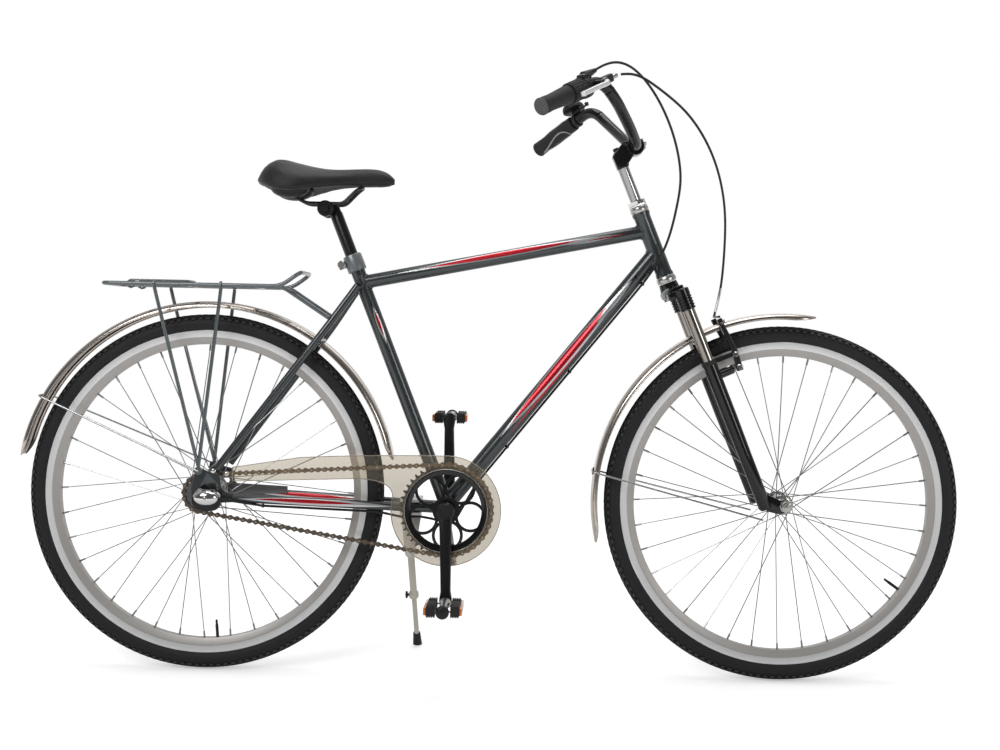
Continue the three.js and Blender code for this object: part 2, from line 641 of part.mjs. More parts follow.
// A crank arm below its axle; sign is the side of the bicycle that it is on.
function crankGeometry(sign) {
  const span = (from, to) => [min(sign * from, sign * to), max(sign * from, sign * to)];
  const [hubLow, hubHigh] = span(CRANK.hubInner, CRANK.hubOuter);
  const [armLow, armHigh] = span(CRANK.armInner, CRANK.hubOuter);
  const [tipLow, tipHigh] = span(CRANK.tipInner, CRANK.tipOuter);
  const hub = disc(CRANK.hubRadius, hubLow, hubHigh);
  const cap = disc(CRANK.capRadius, ...span(CRANK.hubOuter - EMBED, CRANK.hubOuter + CRANK.cap));
  const eye = disc(CRANK.tipRadius, tipLow, tipHigh).translate(0, 0, -CRANK.length);
  const arm = taperedBar(
    { x: 0, y: (tipLow + tipHigh) / 2, z: -CRANK.length, halfX: CRANK.tipHalf,
      halfY: (tipHigh - tipLow) / 2 },
    { x: 0, y: (armLow + armHigh) / 2, z: 0, halfX: CRANK.hubHalf, halfY: (armHigh - armLow) / 2 },
  );
  const axleTip = CRANK.tipOuter + PEDAL.gap + PEDAL.length;
  const pedalAxle = disc(PEDAL.axleRadius, ...span(CRANK.tipOuter - EMBED, axleTip),
    ROD_SIDES).translate(0, 0, -CRANK.length);
  const socket = disc(bored(SPINDLE.radius), ...span(CRANK.hubInner - OVERRUN,
    SPINDLE.halfLength + SEAT_GAP));
  return cut(join(hub, cap, eye, arm, pedalAxle), socket);
}

// A pedal on its axle: two ribbed tread blocks, the cage that joins them and the barrel.
function pedalGeometry(sign) {
  const span = (from, to) => [min(sign * from, sign * to), max(sign * from, sign * to)];
  const start = CRANK.tipOuter + PEDAL.gap;
  const [low, high] = span(start, start + PEDAL.length);
  const pieces = [];
  for (const way of [-1, 1]) {
    const inner = way * PEDAL.blockInner;
    const outer = way * PEDAL.blockOuter;
    const edge = way * (PEDAL.blockOuter - PEDAL.bevel);
    const points = [
      [inner, -PEDAL.blockHalf], [edge, -PEDAL.blockHalf], [outer, -PEDAL.blockHalf + PEDAL.bevel],
      [outer, PEDAL.blockHalf - PEDAL.bevel], [edge, PEDAL.blockHalf], [inner, PEDAL.blockHalf],
    ];
    pieces.push(plate(outline(points), low, high));
  }
  const cageReach = PEDAL.blockInner + EMBED;
  const cage = box(at(-cageReach, 0, -PEDAL.cageHalf), at(cageReach, PEDAL.cageThickness, PEDAL.cageHalf));
  pieces.push(cage.clone().translate(0, low, 0), cage.translate(0, high - PEDAL.cageThickness, 0));
  pieces.push(disc(PEDAL.barrelRadius, low, high));
  const [capLow, capHigh] = span(start + PEDAL.length - EMBED, start + PEDAL.length + PEDAL.capLength);
  pieces.push(disc(PEDAL.capRadius, capLow, capHigh));
  const [boreLow, boreHigh] = span(start - OVERRUN, start + PEDAL.length + SEAT_GAP);
  const bore = disc(bored(PEDAL.axleRadius, ROD_SIDES), boreLow, boreHigh, ROD_SIDES);
  return cut(join(...pieces), bore);
}

function addDrive(frame) {
  const cup = CUP.radius;
  const unitBore = bored(SPINDLE.radius);
  const unitRadius = SHELL.radius - SHELL.wall - SEAT_GAP;
  const face = SHELL.halfWidth + SEAT_GAP;
  const unit = turned([
    [unitBore, -face - CUP.width], [cup, -face - CUP.width], [cup, -face], [unitRadius, -face],
      [unitRadius, face],
    [cup, face], [cup, face + CUP.width], [unitBore, face + CUP.width], [unitBore, -face - CUP.width],
  ], TUBE_SIDES + 2).translate(bracketPlace.x, 0, bracketPlace.z);
  add(frame, "bottom_bracket_unit", unit, STEEL);

  const crank = groupAt(frame, bracketPlace, -CRANK.turn);
  crank.name = "crank";
  add(crank, "bottom_bracket_spindle", disc(SPINDLE.radius, -SPINDLE.halfLength, SPINDLE.halfLength),
    STEEL);
  add(crank, "chainring", chainringGeometry().rotateY(CRANK.turn), BLACK_PAINT);
  for (const { name, sign } of SIDES) {
    const arm = add(crank, `crank_arm_${name}`, crankGeometry(sign), BLACK_PAINT);
    if (sign > 0) arm.rotation.y = PI;
    const end = groupAt(crank, at(0, 0, sign * CRANK.length), CRANK.turn);
    end.name = `pedal_axis_${name}`;
    add(end, `pedal_${name}`, pedalGeometry(sign), BLACK_PLASTIC);
  }
  add(frame, "chain", chainGeometry(), CHAIN_STEEL);
}

// The chain guard's outline, drawn in by an inset.
function guardOutline(inset) {
  const radius = GUARD.radius - inset;
  const centre = bracketPlace;
  const onDisc = (turn) => [centre.x + radius * cos(turn), centre.z + radius * sin(turn)];
  const shape = new THREE.Shape();
  const rear = GUARD.rearEnd + inset;
  const top = onDisc(GUARD.topTurn);
  const meet = onDisc(GUARD.meetTurn);
  const riseSlope = (GUARD.rise - GUARD.rearTop) / (GUARD.riseAt - GUARD.rearEnd);
  shape.moveTo(rear, GUARD.rearBottom + inset);
  shape.lineTo(GUARD.dipAt, GUARD.dip + inset);
  shape.quadraticCurveTo(meet[0], GUARD.dip + inset, meet[0], meet[1]);
  shape.absarc(centre.x, centre.z, radius, GUARD.meetTurn, 2 * PI + GUARD.topTurn, false);
  shape.quadraticCurveTo((top[0] + GUARD.riseAt) / 2, top[1], GUARD.riseAt, GUARD.rise - inset);
  shape.lineTo(rear, GUARD.rearTop - inset + riseSlope * inset);
  return shape;
}

// The chain guard: a shallow shell open towards the wheel, with a strap to the bracket cup and a tab to
// the dropout.
function guardGeometry() {
  const steps = 10;
  const outer = guardOutline(0);
  const inner = guardOutline(GUARD.sheet);
  const hole = circle(GUARD.opening, bracketPlace.x, bracketPlace.z, 2 * TUBE_SIDES);
  const body = plate(outer, -GUARD.face, -GUARD.face + GUARD.depth, steps);
  const room = plate(inner, -GUARD.face + GUARD.sheet, -GUARD.face + GUARD.depth + OVERRUN, steps);
  const opening = plate(hole, -GUARD.face - OVERRUN, -GUARD.face + OVERRUN);
  const shell = cut(body, room, opening);
  const half = GUARD.strapWidth / 2;
  const thick = GUARD.strapThickness;
  const inside = SHELL.halfWidth + SEAT_GAP + CUP.width / 2;
  const foot = GUARD.radius - thick;
  const strap = join(
    box(at(CUP.radius + SEAT_GAP, -inside - thick, -half), at(foot, -inside, half)),
    box(at(foot - EMBED, -GUARD.face + EMBED / 2, -half), at(foot + thick - EMBED / 2, -inside, half)),
  );
  strap.rotateY(-GUARD.strapTurn).translate(bracketPlace.x, 0, bracketPlace.z);
  const tabLow = (GUARD.rearTop + GUARD.rearBottom - GUARD.tabRise) / 2;
  const tab = box(
    at(GUARD.rearEnd - GUARD.tabLength, -GUARD.face, tabLow),
    at(GUARD.rearEnd + EMBED + GUARD.sheet, -GUARD.face + GUARD.sheet, tabLow + GUARD.tabRise),
  );
  return join(shell, strap, tab);
}

// Frame
const seatUp = at(-cos(SEAT_ANGLE), 0, sin(SEAT_ANGLE));
const headUp = at(-cos(HEAD_ANGLE), 0, sin(HEAD_ANGLE));
const headForward = at(sin(HEAD_ANGLE), 0, cos(HEAD_ANGLE));
const seatTurn = SEAT_ANGLE - PI / 2;
const headTurn = HEAD_ANGLE - PI / 2;
const steeringFoot = at(WHEELBASE, 0, TYRE.radius).addScaledVector(headForward, -FORK_RAKE);
const onSeatAxis = (station) => bracketPlace.clone().addScaledVector(seatUp, station);
const onHeadAxis = (station) => steeringFoot.clone().addScaledVector(headUp, station);

const headTop = HEAD_TUBE.bottom + HEAD_TUBE.length;
const postBore = bored(POST.radius);

const seatSleeve = (radius, from, to) => rod(onSeatAxis(from), onSeatAxis(to), radius, TUBE_SIDES);
const headSleeve = (radius, from, to) => rod(onHeadAxis(from), onHeadAxis(to), radius, TUBE_SIDES);

function seatTubeGeometry() {
  const shell = disc(SHELL.radius, -SHELL.halfWidth, SHELL.halfWidth,
    TUBE_SIDES + 2).translate(bracketPlace.x, 0, bracketPlace.z);
  const shellBore = disc(SHELL.radius - SHELL.wall, -SHELL.halfWidth - OVERRUN, SHELL.halfWidth + OVERRUN,
    TUBE_SIDES + 2);
  shellBore.translate(bracketPlace.x, 0, bracketPlace.z);
  const collarFoot = SEAT_TUBE.length - COLLAR.width;
  const earMiddle = SEAT_TUBE.length - COLLAR.width / 3;
  const ear = box(at(-COLLAR.earReach, -COLLAR.earWidth / 2, -COLLAR.earHeight / 2), at(0,
    COLLAR.earWidth / 2, COLLAR.earHeight / 2));
  ear.rotateY(seatTurn).translate(...onSeatAxis(earMiddle).toArray());
  const bolt = disc(COLLAR.boltRadius, -COLLAR.earWidth, COLLAR.earWidth, ROD_SIDES);
  bolt.translate(COLLAR.earHeight / 2 - COLLAR.earReach, 0,
    0).rotateY(seatTurn).translate(...onSeatAxis(earMiddle).toArray());
  const bore = seatSleeve(postBore, SHELL.radius + OVERRUN, SEAT_TUBE.length + OVERRUN);
  const body = join(
    seatSleeve(SEAT_TUBE.radius, 0, SEAT_TUBE.length - EMBED), seatSleeve(COLLAR.radius, collarFoot,
      SEAT_TUBE.length), shell, ear, bolt,
  );
  return cut(body, shellBore, bore);
}

function topTubeGeometry() {
  const tubeBody = rod(onSeatAxis(TOP_TUBE.seatStation), onHeadAxis(TOP_TUBE.headStation),
    TOP_TUBE.radius, TUBE_SIDES);
  return cut(
    tubeBody,
    seatSleeve(SEAT_TUBE.radius + SEAT_GAP, 0, SEAT_TUBE.length), headSleeve(bored(HEAD_TUBE.radius),
      HEAD_TUBE.bottom, headTop),
  );
}

function downTubeGeometry() {
  const foot = bracketPlace.clone().add(at(0, 0, DOWN_TUBE.rise));
  const tubeBody = rod(foot, onHeadAxis(DOWN_TUBE.headStation), DOWN_TUBE.radius, TUBE_SIDES);
  const shell = disc(SHELL.radius + SEAT_GAP, -SHELL.halfWidth, SHELL.halfWidth,
    TUBE_SIDES + 2).translate(bracketPlace.x, 0, bracketPlace.z);
  const cutters = [shell, seatSleeve(SEAT_TUBE.radius + SEAT_GAP, 0, SEAT_TUBE.length),
    headSleeve(bored(HEAD_TUBE.radius), 0, headTop)];
  return cut(tubeBody, ...cutters);
}

const stayTip = { x: DROPOUT.stayReach, z: TYRE.radius - DROPOUT.stayDrop };
const seatStayTip = { x: DROPOUT.seatReach, z: TYRE.radius + DROPOUT.seatRise };

// The right chain stay's middle line at a place along the bicycle.
function chainStayMiddle(forward) {
  const root = at(BRACKET.forward, -CHAIN_STAY.shellOut, BRACKET.height);
  const tip = at(stayTip.x, -DROPOUT_HALF_SPACING, stayTip.z);
  return root.lerp(tip, (BRACKET.forward - forward) / (BRACKET.forward - stayTip.x));
}

// A chain stay with the dropout plate brazed into its end.
function chainStayGeometry(sign) {
  const outer = DROPOUT_HALF_SPACING + DROPOUT.thickness / 2;
  const inner = outer - DROPOUT.thickness;
  const eye = { x: -DROPOUT.eyeBack, z: TYRE.radius + DROPOUT.eyeRise };
  const shape = outline([
    [stayTip.x, stayTip.z - DROPOUT.stayHalf], [stayTip.x, stayTip.z + DROPOUT.stayHalf],
    [seatStayTip.x + DROPOUT.seatHalf, seatStayTip.z - DROPOUT.seatHalf],
    [eye.x + DROPOUT.eyeRadius, eye.z + DROPOUT.eyeRadius], [eye.x - DROPOUT.eyeRadius,
      eye.z + DROPOUT.eyeRadius],
    [eye.x - DROPOUT.eyeRadius, eye.z - DROPOUT.eyeRadius], [-DROPOUT.axleBoss,
      TYRE.radius + DROPOUT.axleBoss / 2],
    [-DROPOUT.axleBoss, TYRE.radius - DROPOUT.axleBoss / 2], [0, TYRE.radius - DROPOUT.axleBoss],
    [DROPOUT.axleBoss, TYRE.radius - DROPOUT.axleBoss],
  ]);
  shape.holes.push(circle(bored(AXLE.radius), 0, TYRE.radius));
  shape.holes.push(circle(DROPOUT.screwRadius, eye.x, eye.z, ROD_SIDES));
  shape.holes.push(circle(DROPOUT.windowRadius, DROPOUT.windowForward, TYRE.radius + DROPOUT.windowRise,
    ROD_SIDES));
  const end = plate(shape, min(sign * inner, sign * outer), max(sign * inner, sign * outer));
  const middle = sign * DROPOUT_HALF_SPACING;
  const root = at(BRACKET.forward, sign * CHAIN_STAY.shellOut, BRACKET.height);
  const stay = rod(root, at(stayTip.x - EMBED, middle, stayTip.z), CHAIN_STAY.radius, TUBE_SIDES - 4,
    CHAIN_STAY.tipRadius);
  const shell = disc(SHELL.radius + SEAT_GAP, -SHELL.halfWidth - OVERRUN, SHELL.halfWidth + OVERRUN,
    TUBE_SIDES + 2);
  shell.translate(bracketPlace.x, 0, bracketPlace.z);
  const clipped = cut(stay, shell, seatSleeve(SEAT_TUBE.radius + SEAT_GAP, 0, SEAT_TUBE.length));
  return join(end, clipped);
}

// A seat stay from the dropout to the seat tube; the left one carries the bridge.
function seatStayGeometry(sign) {
  const top = onSeatAxis(SEAT_STAY.topStation).add(at(-SEAT_STAY.topBack, sign * SEAT_STAY.topOut, 0));
  const bend = at(SEAT_STAY.bend, sign * SEAT_STAY.bendOut, SEAT_STAY.bendHeight);
  const lift = DROPOUT.seatHalf + SEAT_GAP;
  const foot = at(seatStayTip.x + lift * cos(SEAT_ANGLE), sign * DROPOUT_HALF_SPACING,
    seatStayTip.z + lift);
  const stay = tube(rounded([foot, bend, top], SEAT_STAY.radius * 2), SEAT_STAY.radius, TUBE_SIDES - 4);
  const clipped = cut(stay, seatSleeve(SEAT_TUBE.radius + SEAT_GAP, 0, SEAT_TUBE.length));
  if (sign < 0) return clipped;
  const middle = foot.clone().lerp(bend, STAY_BRIDGE.placeShare);
  const reach = middle.y - SEAT_STAY.radius - SEAT_GAP;
  return join(clipped, disc(STAY_BRIDGE.radius, -reach, middle.y, ROD_SIDES).translate(middle.x, 0,
    middle.z));
}

function headTubeGeometry() {
  const body = ring(HEAD_TUBE.radius - HEAD_TUBE.wall, HEAD_TUBE.radius, HEAD_TUBE.bottom, headTop);
  return alongZ(body);
}

function addFrame(bicycle) {
  add(bicycle, "seat_tube", seatTubeGeometry(), GRAPHITE);
  add(bicycle, "top_tube", topTubeGeometry(), GRAPHITE);
  add(bicycle, "down_tube", downTubeGeometry(), GRAPHITE);
  for (const { name, sign } of SIDES) {
    add(bicycle, `chain_stay_${name}`, chainStayGeometry(sign), GRAPHITE);
    add(bicycle, `seat_stay_${name}`, seatStayGeometry(sign), GRAPHITE);
  }
  const head = groupAt(bicycle, steeringFoot, headTurn);
  add(head, "head_tube", headTubeGeometry(), GRAPHITE);
  const bore = bored(STEERER.radius);
  const foot = HEAD_TUBE.bottom - SEAT_GAP;
  const lower = ring(bore, HEADSET.lowerRadius, foot - HEADSET.lip, foot);
  const upper = ring(bore, HEADSET.upperRadius, headTop + SEAT_GAP, headTop + HEADSET.lip);
  add(head, "headset_lower_cup", alongZ(lower), STEEL);
  add(head, "headset_upper_cup", alongZ(upper), STEEL);
}

// Fork. Its group stands on the steering axis, with Z up the axis and X forward.
const leg = (sign, up) => at(FORK.legForward, sign * FORK.legOut, up);

function crownGeometry() {
  const raceFoot = HEAD_TUBE.bottom - SEAT_GAP - HEADSET.lip - SEAT_GAP;
  const pieces = [
    rod(at(0, 0, FORK.crownFoot), at(0, 0, raceFoot), HEADSET.lowerRadius, TUBE_SIDES),
    rod(at(0, 0, FORK.crownFoot), at(0, 0, STEERER.top), STEERER.radius, TUBE_SIDES),
    box(
      at(FORK.legForward - FORK.crownHalf, -FORK.legOut, FORK.crownFoot),
      at(FORK.legForward + FORK.crownHalf - EMBED, FORK.legOut, FORK.crownFoot + FORK.crownRise / 2),
    ),
    disc(FORK.bossRadius, -FORK.bossHalf, FORK.bossHalf).translate(FORK.bossForward, 0, FORK.bossUp),
  ];
  const ribStep = (FORK.crownFoot - FORK.collarFoot) / FORK.collarRibs;
  const top = FORK.crownFoot + FORK.crownRise / 2;
  const ribs = Array.from({ length: FORK.collarRibs }, (_, i) => [
    [FORK.collarRadius, FORK.collarFoot + i * ribStep], [FORK.collarRadius - ribStep / 4,
      FORK.collarFoot + (i + 1) * ribStep],
  ]).flat();
  const legProfile = [
    [0, FORK.stanchionFoot], [FORK.stanchionRadius, FORK.stanchionFoot], [FORK.stanchionRadius,
      FORK.collarFoot], ...ribs,
    [FORK.crownHalf, FORK.crownFoot], [FORK.crownHalf, top], [0, top],
  ];
  for (const { sign } of SIDES) pieces.push(alongZ(turned(legProfile, TUBE_SIDES)).translate(...leg(sign,
    0).toArray()));
  const bore = rod(at(0, 0, FORK.crownFoot + OVERRUN), at(0, 0, STEERER.top + OVERRUN),
    STEERER.radius - STEERER.wall, TUBE_SIDES);
  return cut(join(...pieces), bore);
}

// The lower legs with their wipers, the arch over the tyre, the brake bosses and the axle's dropouts.
function lowersGeometry() {
  const pieces = [];
  const bores = [];
  for (const { sign } of SIDES) {
    const low = sign * FORK.legOut - FORK.dropoutWidth / 2;
    pieces.push(rod(leg(sign, FORK.lowerFoot), leg(sign, FORK.lowerTop), FORK.lowerRadius, TUBE_SIDES));
    pieces.push(rod(leg(sign, FORK.lowerTop - FORK.wiperHeight), leg(sign, FORK.lowerTop + EMBED),
      FORK.wiperRadius, TUBE_SIDES));
    const eye = disc(FORK.dropoutRadius, low, low + FORK.dropoutWidth).translate(FORK_RAKE, 0, 0);
    const web = plate(outline([
      [FORK.legForward, FORK.lowerFoot], [FORK_RAKE, -FORK.dropoutRadius + EMBED], [FORK_RAKE,
        FORK.dropoutRadius - EMBED],
      [FORK.legForward, FORK.lowerFoot + FORK.dropoutRadius * 3],
    ]), low, low + FORK.dropoutWidth);
    pieces.push(eye, web);
    bores.push(rod(leg(sign, FORK.boreFoot), leg(sign, FORK.lowerTop + OVERRUN),
      bored(FORK.stanchionRadius), TUBE_SIDES));
    bores.push(disc(bored(AXLE.radius, ROD_SIDES), low - OVERRUN, low + FORK.dropoutWidth + OVERRUN,
      ROD_SIDES).translate(FORK_RAKE, 0, 0));
    const boss = at(BRAKE.pivotForward - BRAKE.postBack, sign * BRAKE.pivotOut, BRAKE.pivotUp);
    const tip = at(BRAKE.pivotForward + BRAKE.armHalf, boss.y, boss.z);
    pieces.push(rod(leg(sign, boss.z), boss, BRAKE.gussetHalf, ROD_SIDES, BRAKE.bossRadius));
    pieces.push(rod(boss.clone().setX(boss.x - EMBED), tip, BRAKE.postRadius, ROD_SIDES));
    pieces.push(box(
      at(FORK.archBack, min(sign * FORK.archInner, sign * FORK.archOut), FORK.archFoot),
      at(FORK.archFront, max(sign * FORK.archInner, sign * FORK.archOut), FORK.archTop),
    ));
  }
  pieces.push(box(at(FORK.archBack, -FORK.archInner - EMBED, FORK.archTyreTop), at(FORK.archFront,
    FORK.archInner + EMBED, FORK.archTop)));
  return cut(join(...pieces), ...bores);
}

// A brake arm with its pad, in front of its boss; the wire ends at its top.
function brakeArmGeometry(sign) {
  const eye = ring(bored(BRAKE.postRadius, ROD_SIDES), BRAKE.bossRadius, -BRAKE.armHalf, BRAKE.armHalf,
    ROD_SIDES);
  const top = BRAKE.armLength;
  const arm = taperedBar(
    { x: 0, y: 0, z: BRAKE.bossRadius - EMBED, halfX: BRAKE.armHalf, halfY: BRAKE.armHalf },
    { x: 0, y: sign * BRAKE.topLean, z: top, halfX: BRAKE.armTipHalf, halfY: BRAKE.armTipHalf },
  );
  const padUp = BRAKE.padRadius - BRAKE.pivotUp;
  const padFace = RIM.halfWidth + BRAKE.padGap - BRAKE.pivotOut;
  const back = FORK_RAKE - BRAKE.pivotForward;
  const faceY = [sign * -padFace, sign * -(padFace + BRAKE.padThick)].map((y) => -y);
  const pad = box(
    at(back - BRAKE.padLength / 2, min(...faceY), padUp - BRAKE.padHalf),
    at(back + BRAKE.padLength / 2, max(...faceY), padUp + BRAKE.padHalf),
  );
  const post = disc(BRAKE.padPostRadius, min(faceY[1], 0) - EMBED, max(faceY[1], 0) + EMBED,
    ROD_SIDES).translate(0, 0, padUp);
  return join(alongX(eye), arm, pad, post);
}

function addFork(steering) {
  add(steering, "fork_crown", crownGeometry(), BLACK_PAINT);
  const nutFoot = headTop + HEADSET.lip + SEAT_GAP;
  const nut = ring(bored(STEERER.radius, HEADSET.nutSides), HEADSET.nutRadius, nutFoot,
    nutFoot + HEADSET.nutWidth, HEADSET.nutSides);
  add(steering, "headset_locknut", alongZ(nut), STEEL);

  const lowers = groupAt(steering, at(0, 0, 0));
  lowers.name = "lowers";
  add(lowers, "fork_lowers", lowersGeometry(), BLACK_PAINT);
  const axlePlace = groupAt(lowers, at(FORK_RAKE, 0, 0));
  const dropoutInner = FORK.legOut - FORK.dropoutWidth / 2;
  add(axlePlace, "front_axle", axleGeometry(FRONT_HUB, dropoutInner, dropoutInner + FORK.dropoutWidth),
    STEEL);
  const wheel = groupAt(axlePlace, at(0, 0, 0), -headTurn);
  wheel.name = "front_wheel";
  addWheel(wheel, "front", FRONT_HUB);
  for (const { name, sign } of SIDES) {
    const pivot = groupAt(lowers, at(BRAKE.pivotForward, sign * BRAKE.pivotOut, BRAKE.pivotUp));
    pivot.name = `brake_pivot_${name}`;
    add(pivot, `brake_arm_${name}`, brakeArmGeometry(sign), BLACK_PAINT);
  }
  return lowers;
}

// Stem: a quill with its wedge bolt, a head that reaches forward and the clamp round the bar.
function stemGeometry() {
  const clamp = at(STEM.reach, 0, STEM.clampUp);
  const quill = rod(at(0, 0, STEM.quillFoot), at(0, 0, STEM.headTop - EMBED), STEM.quillRadius, TUBE_SIDES);
  const neck = plate(outline([
    [-STEM.backOut, STEM.neckTop + STEM.backRise / 2], [-STEM.backOut, STEM.headTop - STEM.backRise / 3],
    [-STEM.backOut / 2, STEM.headTop], [STEM.reach / 3, STEM.headTop + STEM.expanderRadius],
    [STEM.reach, STEM.clampUp + STEM.clampRadius - EMBED], [STEM.reach,
      STEM.clampUp - STEM.clampRadius / 2],
    [STEM.backOut, STEM.neckTop + STEM.backRise / 2], [STEM.backOut, STEM.neckTop], [-STEM.backOut,
      STEM.neckTop],
  ]), -STEM.headHalf, STEM.headHalf);
  const sleeve = disc(STEM.clampRadius, -STEM.clampHalf, STEM.clampHalf,
    TUBE_SIDES + 2).translate(clamp.x, 0, clamp.z);
  const boss = rod(at(STEM.boltReach, 0, STEM.clampUp - STEM.clampRadius), clamp, STEM.expanderRadius,
    ROD_SIDES);
  const bore = disc(bored(BAR.radius), -STEM.clampHalf - OVERRUN, STEM.clampHalf + OVERRUN,
    TUBE_SIDES).translate(clamp.x, 0, clamp.z);
  return cut(join(quill, neck, sleeve, boss), bore);
}

// The bar's middle line in the steering group, from the right end to the left.
const fromUpright = (point) => {
  const offset = at(point.x, 0, point.z).sub(steeringFoot);
  return at(offset.dot(headForward), point.y, offset.dot(headUp));
};

const barMiddle = at(STEM.reach, 0, STEM.clampUp);
const barStraightEnd = at(STEM.reach, BAR.straightHalf, STEM.clampUp);
const barHalf = rounded([barMiddle, barStraightEnd, ...BAR_CORNERS.map(fromUpright)], BAR_BENDS,
  BAR.bendSteps);
const barRoute = [...barHalf.slice(1).map(mirrored).reverse(), ...barHalf];

// The place and direction at a distance in from one end of the bar, whose end stretch is straight.
function onGrip(sign, distance) {
  const end = barHalf[barHalf.length - 1];
  const inner = barHalf[barHalf.length - 2];
  const way = inner.clone().sub(end).normalize();
  const place = end.clone().addScaledVector(way, distance);
  return sign > 0 ? place : mirrored(place);
}

// A turned sleeve on the straight end of the bar, from one distance to another.
function onBar(sign, geometry, distance) {
  const from = onGrip(sign, distance);
  const way = onGrip(sign, distance + BAR.radius).sub(from).normalize();
  const turn = new THREE.Quaternion().setFromUnitVectors(Y_AXIS, way);
  const place = new THREE.Matrix4().makeRotationFromQuaternion(turn);
  return geometry.applyMatrix4(place.setPosition(from));
}

const barBore = bored(BAR.radius);

function gripGeometry(length) {
  return turned([
    [0, -GRIP.dome], [GRIP.domeRadius, -GRIP.dome + EMBED], [GRIP.flangeRadius, -EMBED],
      [GRIP.flangeRadius, GRIP.flange],
    [GRIP.radius, GRIP.flange + EMBED], [GRIP.radius, length], [barBore, length], [barBore, -SEAT_GAP],
      [0, -SEAT_GAP],
  ], TUBE_SIDES);
}

function twistGeometry() {
  const points = Array.from({ length: 2 * TWIST.ribs }, (_, i) => {
    const radius = TWIST.radius - (i % 2 ? TWIST.rib : 0);
    const turn = (PI * i) / TWIST.ribs;
    return new THREE.Vector2(radius * cos(turn), radius * sin(turn));
  });
  const shape = new THREE.Shape(points);
  shape.holes.push(circle(barBore, 0, 0, TUBE_SIDES));
  return plate(shape, 0, TWIST.length);
}

// Axes on a straight end of the bar: X across and forward, Y inwards along the bar, Z across and up.
function gripAxes(sign, distance) {
  const from = onGrip(sign, distance);
  const inward = onGrip(sign, distance + BAR.radius).sub(from).normalize();
  const worldUp = fromUpright({ x: steeringFoot.x, y: 0, z: steeringFoot.z + BAR.radius }).normalize();
  const up = worldUp.addScaledVector(inward, -worldUp.dot(inward)).normalize();
  const across = inward.clone().cross(up);
  return new THREE.Matrix4().makeBasis(across, inward, up).setPosition(from);
}

function gripGroup(parent, name, sign, distance) {
  const group = new THREE.Group();
  group.name = name;
  group.applyMatrix4(gripAxes(sign, distance));
  parent.add(group);
  return group;
}

const shifterAt = GRIP.halfLength + TWIST.length + 2 * SEAT_GAP;
const leverAt = shifterAt + SHIFTER.length + SEAT_GAP + LEVER.clampWidth / 2;

function leverBracketGeometry() {
  const clamp = ring(barBore, LEVER.clampRadius, -LEVER.clampWidth / 2, LEVER.clampWidth / 2);
  const front = LEVER.pivotForward + LEVER.bladeThick;
  const bodyBack = barBore + EMBED;
  const arm = box(at(bodyBack, -LEVER.clampWidth / 2, -LEVER.bodyHalf), at(front, LEVER.bodyTop,
    LEVER.bodyHalf));
  const slot = box(
    at(LEVER.pivotForward - LEVER.bladeThick, -LEVER.clampWidth, -LEVER.bodyHalf / 2 - SEAT_GAP),
    at(front + OVERRUN, LEVER.bodyTop - LEVER.bodyFoot / 2, LEVER.bodyHalf / 2 + SEAT_GAP),
  );
  const pin = rod(
    at(LEVER.pivotForward, LEVER.pivotInward, -LEVER.bodyHalf - EMBED), at(LEVER.pivotForward,
      LEVER.pivotInward, LEVER.bodyHalf + EMBED),
    LEVER.pinRadius,
  );
  const adjuster = rod(
    at(LEVER.adjusterForward, LEVER.bodyTop - EMBED, 0), at(LEVER.adjusterForward, LEVER.adjusterTop, 0),
      LEVER.adjusterRadius,
  );
  return join(cut(join(clamp, arm), slot), pin, adjuster);
}

// The lever's blade about its pin, reaching outwards in front of the grip.
function leverBladeGeometry() {
  const half = LEVER.bodyHalf / 2;
  const thick = LEVER.bladeThick / 2;
  const knee = LEVER.bladeReach - LEVER.pivotForward;
  const tip = -LEVER.bladeLength;
  const points = [
    at(0, 0, 0), at(knee * LEVER.bowShare, -LEVER.bladeKnee / 2, 0), at(knee, -LEVER.bladeKnee, 0),
      at(knee - thick, tip / 2, 0), at(knee, tip, 0),
  ];
  const bodyShape = new THREE.Shape([
    new THREE.Vector2(-half, -thick), new THREE.Vector2(half, -thick), new THREE.Vector2(half, thick),
      new THREE.Vector2(-half, thick),
  ]);
  const options = { extrudePath: new Stations(points), steps: points.length - 1, bevelEnabled: false };
  const blade = new THREE.ExtrudeGeometry(bodyShape, options);
  const eye = alongZ(disc(LEVER.pinRadius + LEVER.bladeThick / 3, -half, half));
  const bore = alongZ(disc(bored(LEVER.pinRadius, ROD_SIDES), -half - OVERRUN, half + OVERRUN, ROD_SIDES));
  return cut(join(blade, eye), bore);
}

// A bell on its clamp, with the pin that the striker turns on.
function bellGeometry() {
  const clamp = ring(barBore, BELL.clampRadius, -BELL.clampWidth / 2, BELL.clampWidth / 2);
  const foot = BELL.clampRadius - EMBED;
  const base = foot + BELL.stand;
  const post = rod(at(0, 0, foot), at(0, 0, base + EMBED), BELL.clampWidth / 2);
  const dome = alongZ(turned([
    [0, base], [BELL.domeRadius, base], [BELL.domeRadius, base + BELL.domeHeight / 3],
    [BELL.domeRadius * 0.8, base + BELL.domeHeight * 0.8], [0, base + BELL.domeHeight],
  ], TUBE_SIDES + 2));
  const pin = rod(at(0, BELL.clampRadius, base - EMBED * 2), at(0, BELL.clampRadius, base + EMBED),
    BELL.pinRadius, ROD_SIDES);
  const arm = box(at(-BELL.pinRadius, 0, base - EMBED), at(BELL.pinRadius, BELL.clampRadius, base + EMBED));
  return join(clamp, post, dome, pin, arm);
}

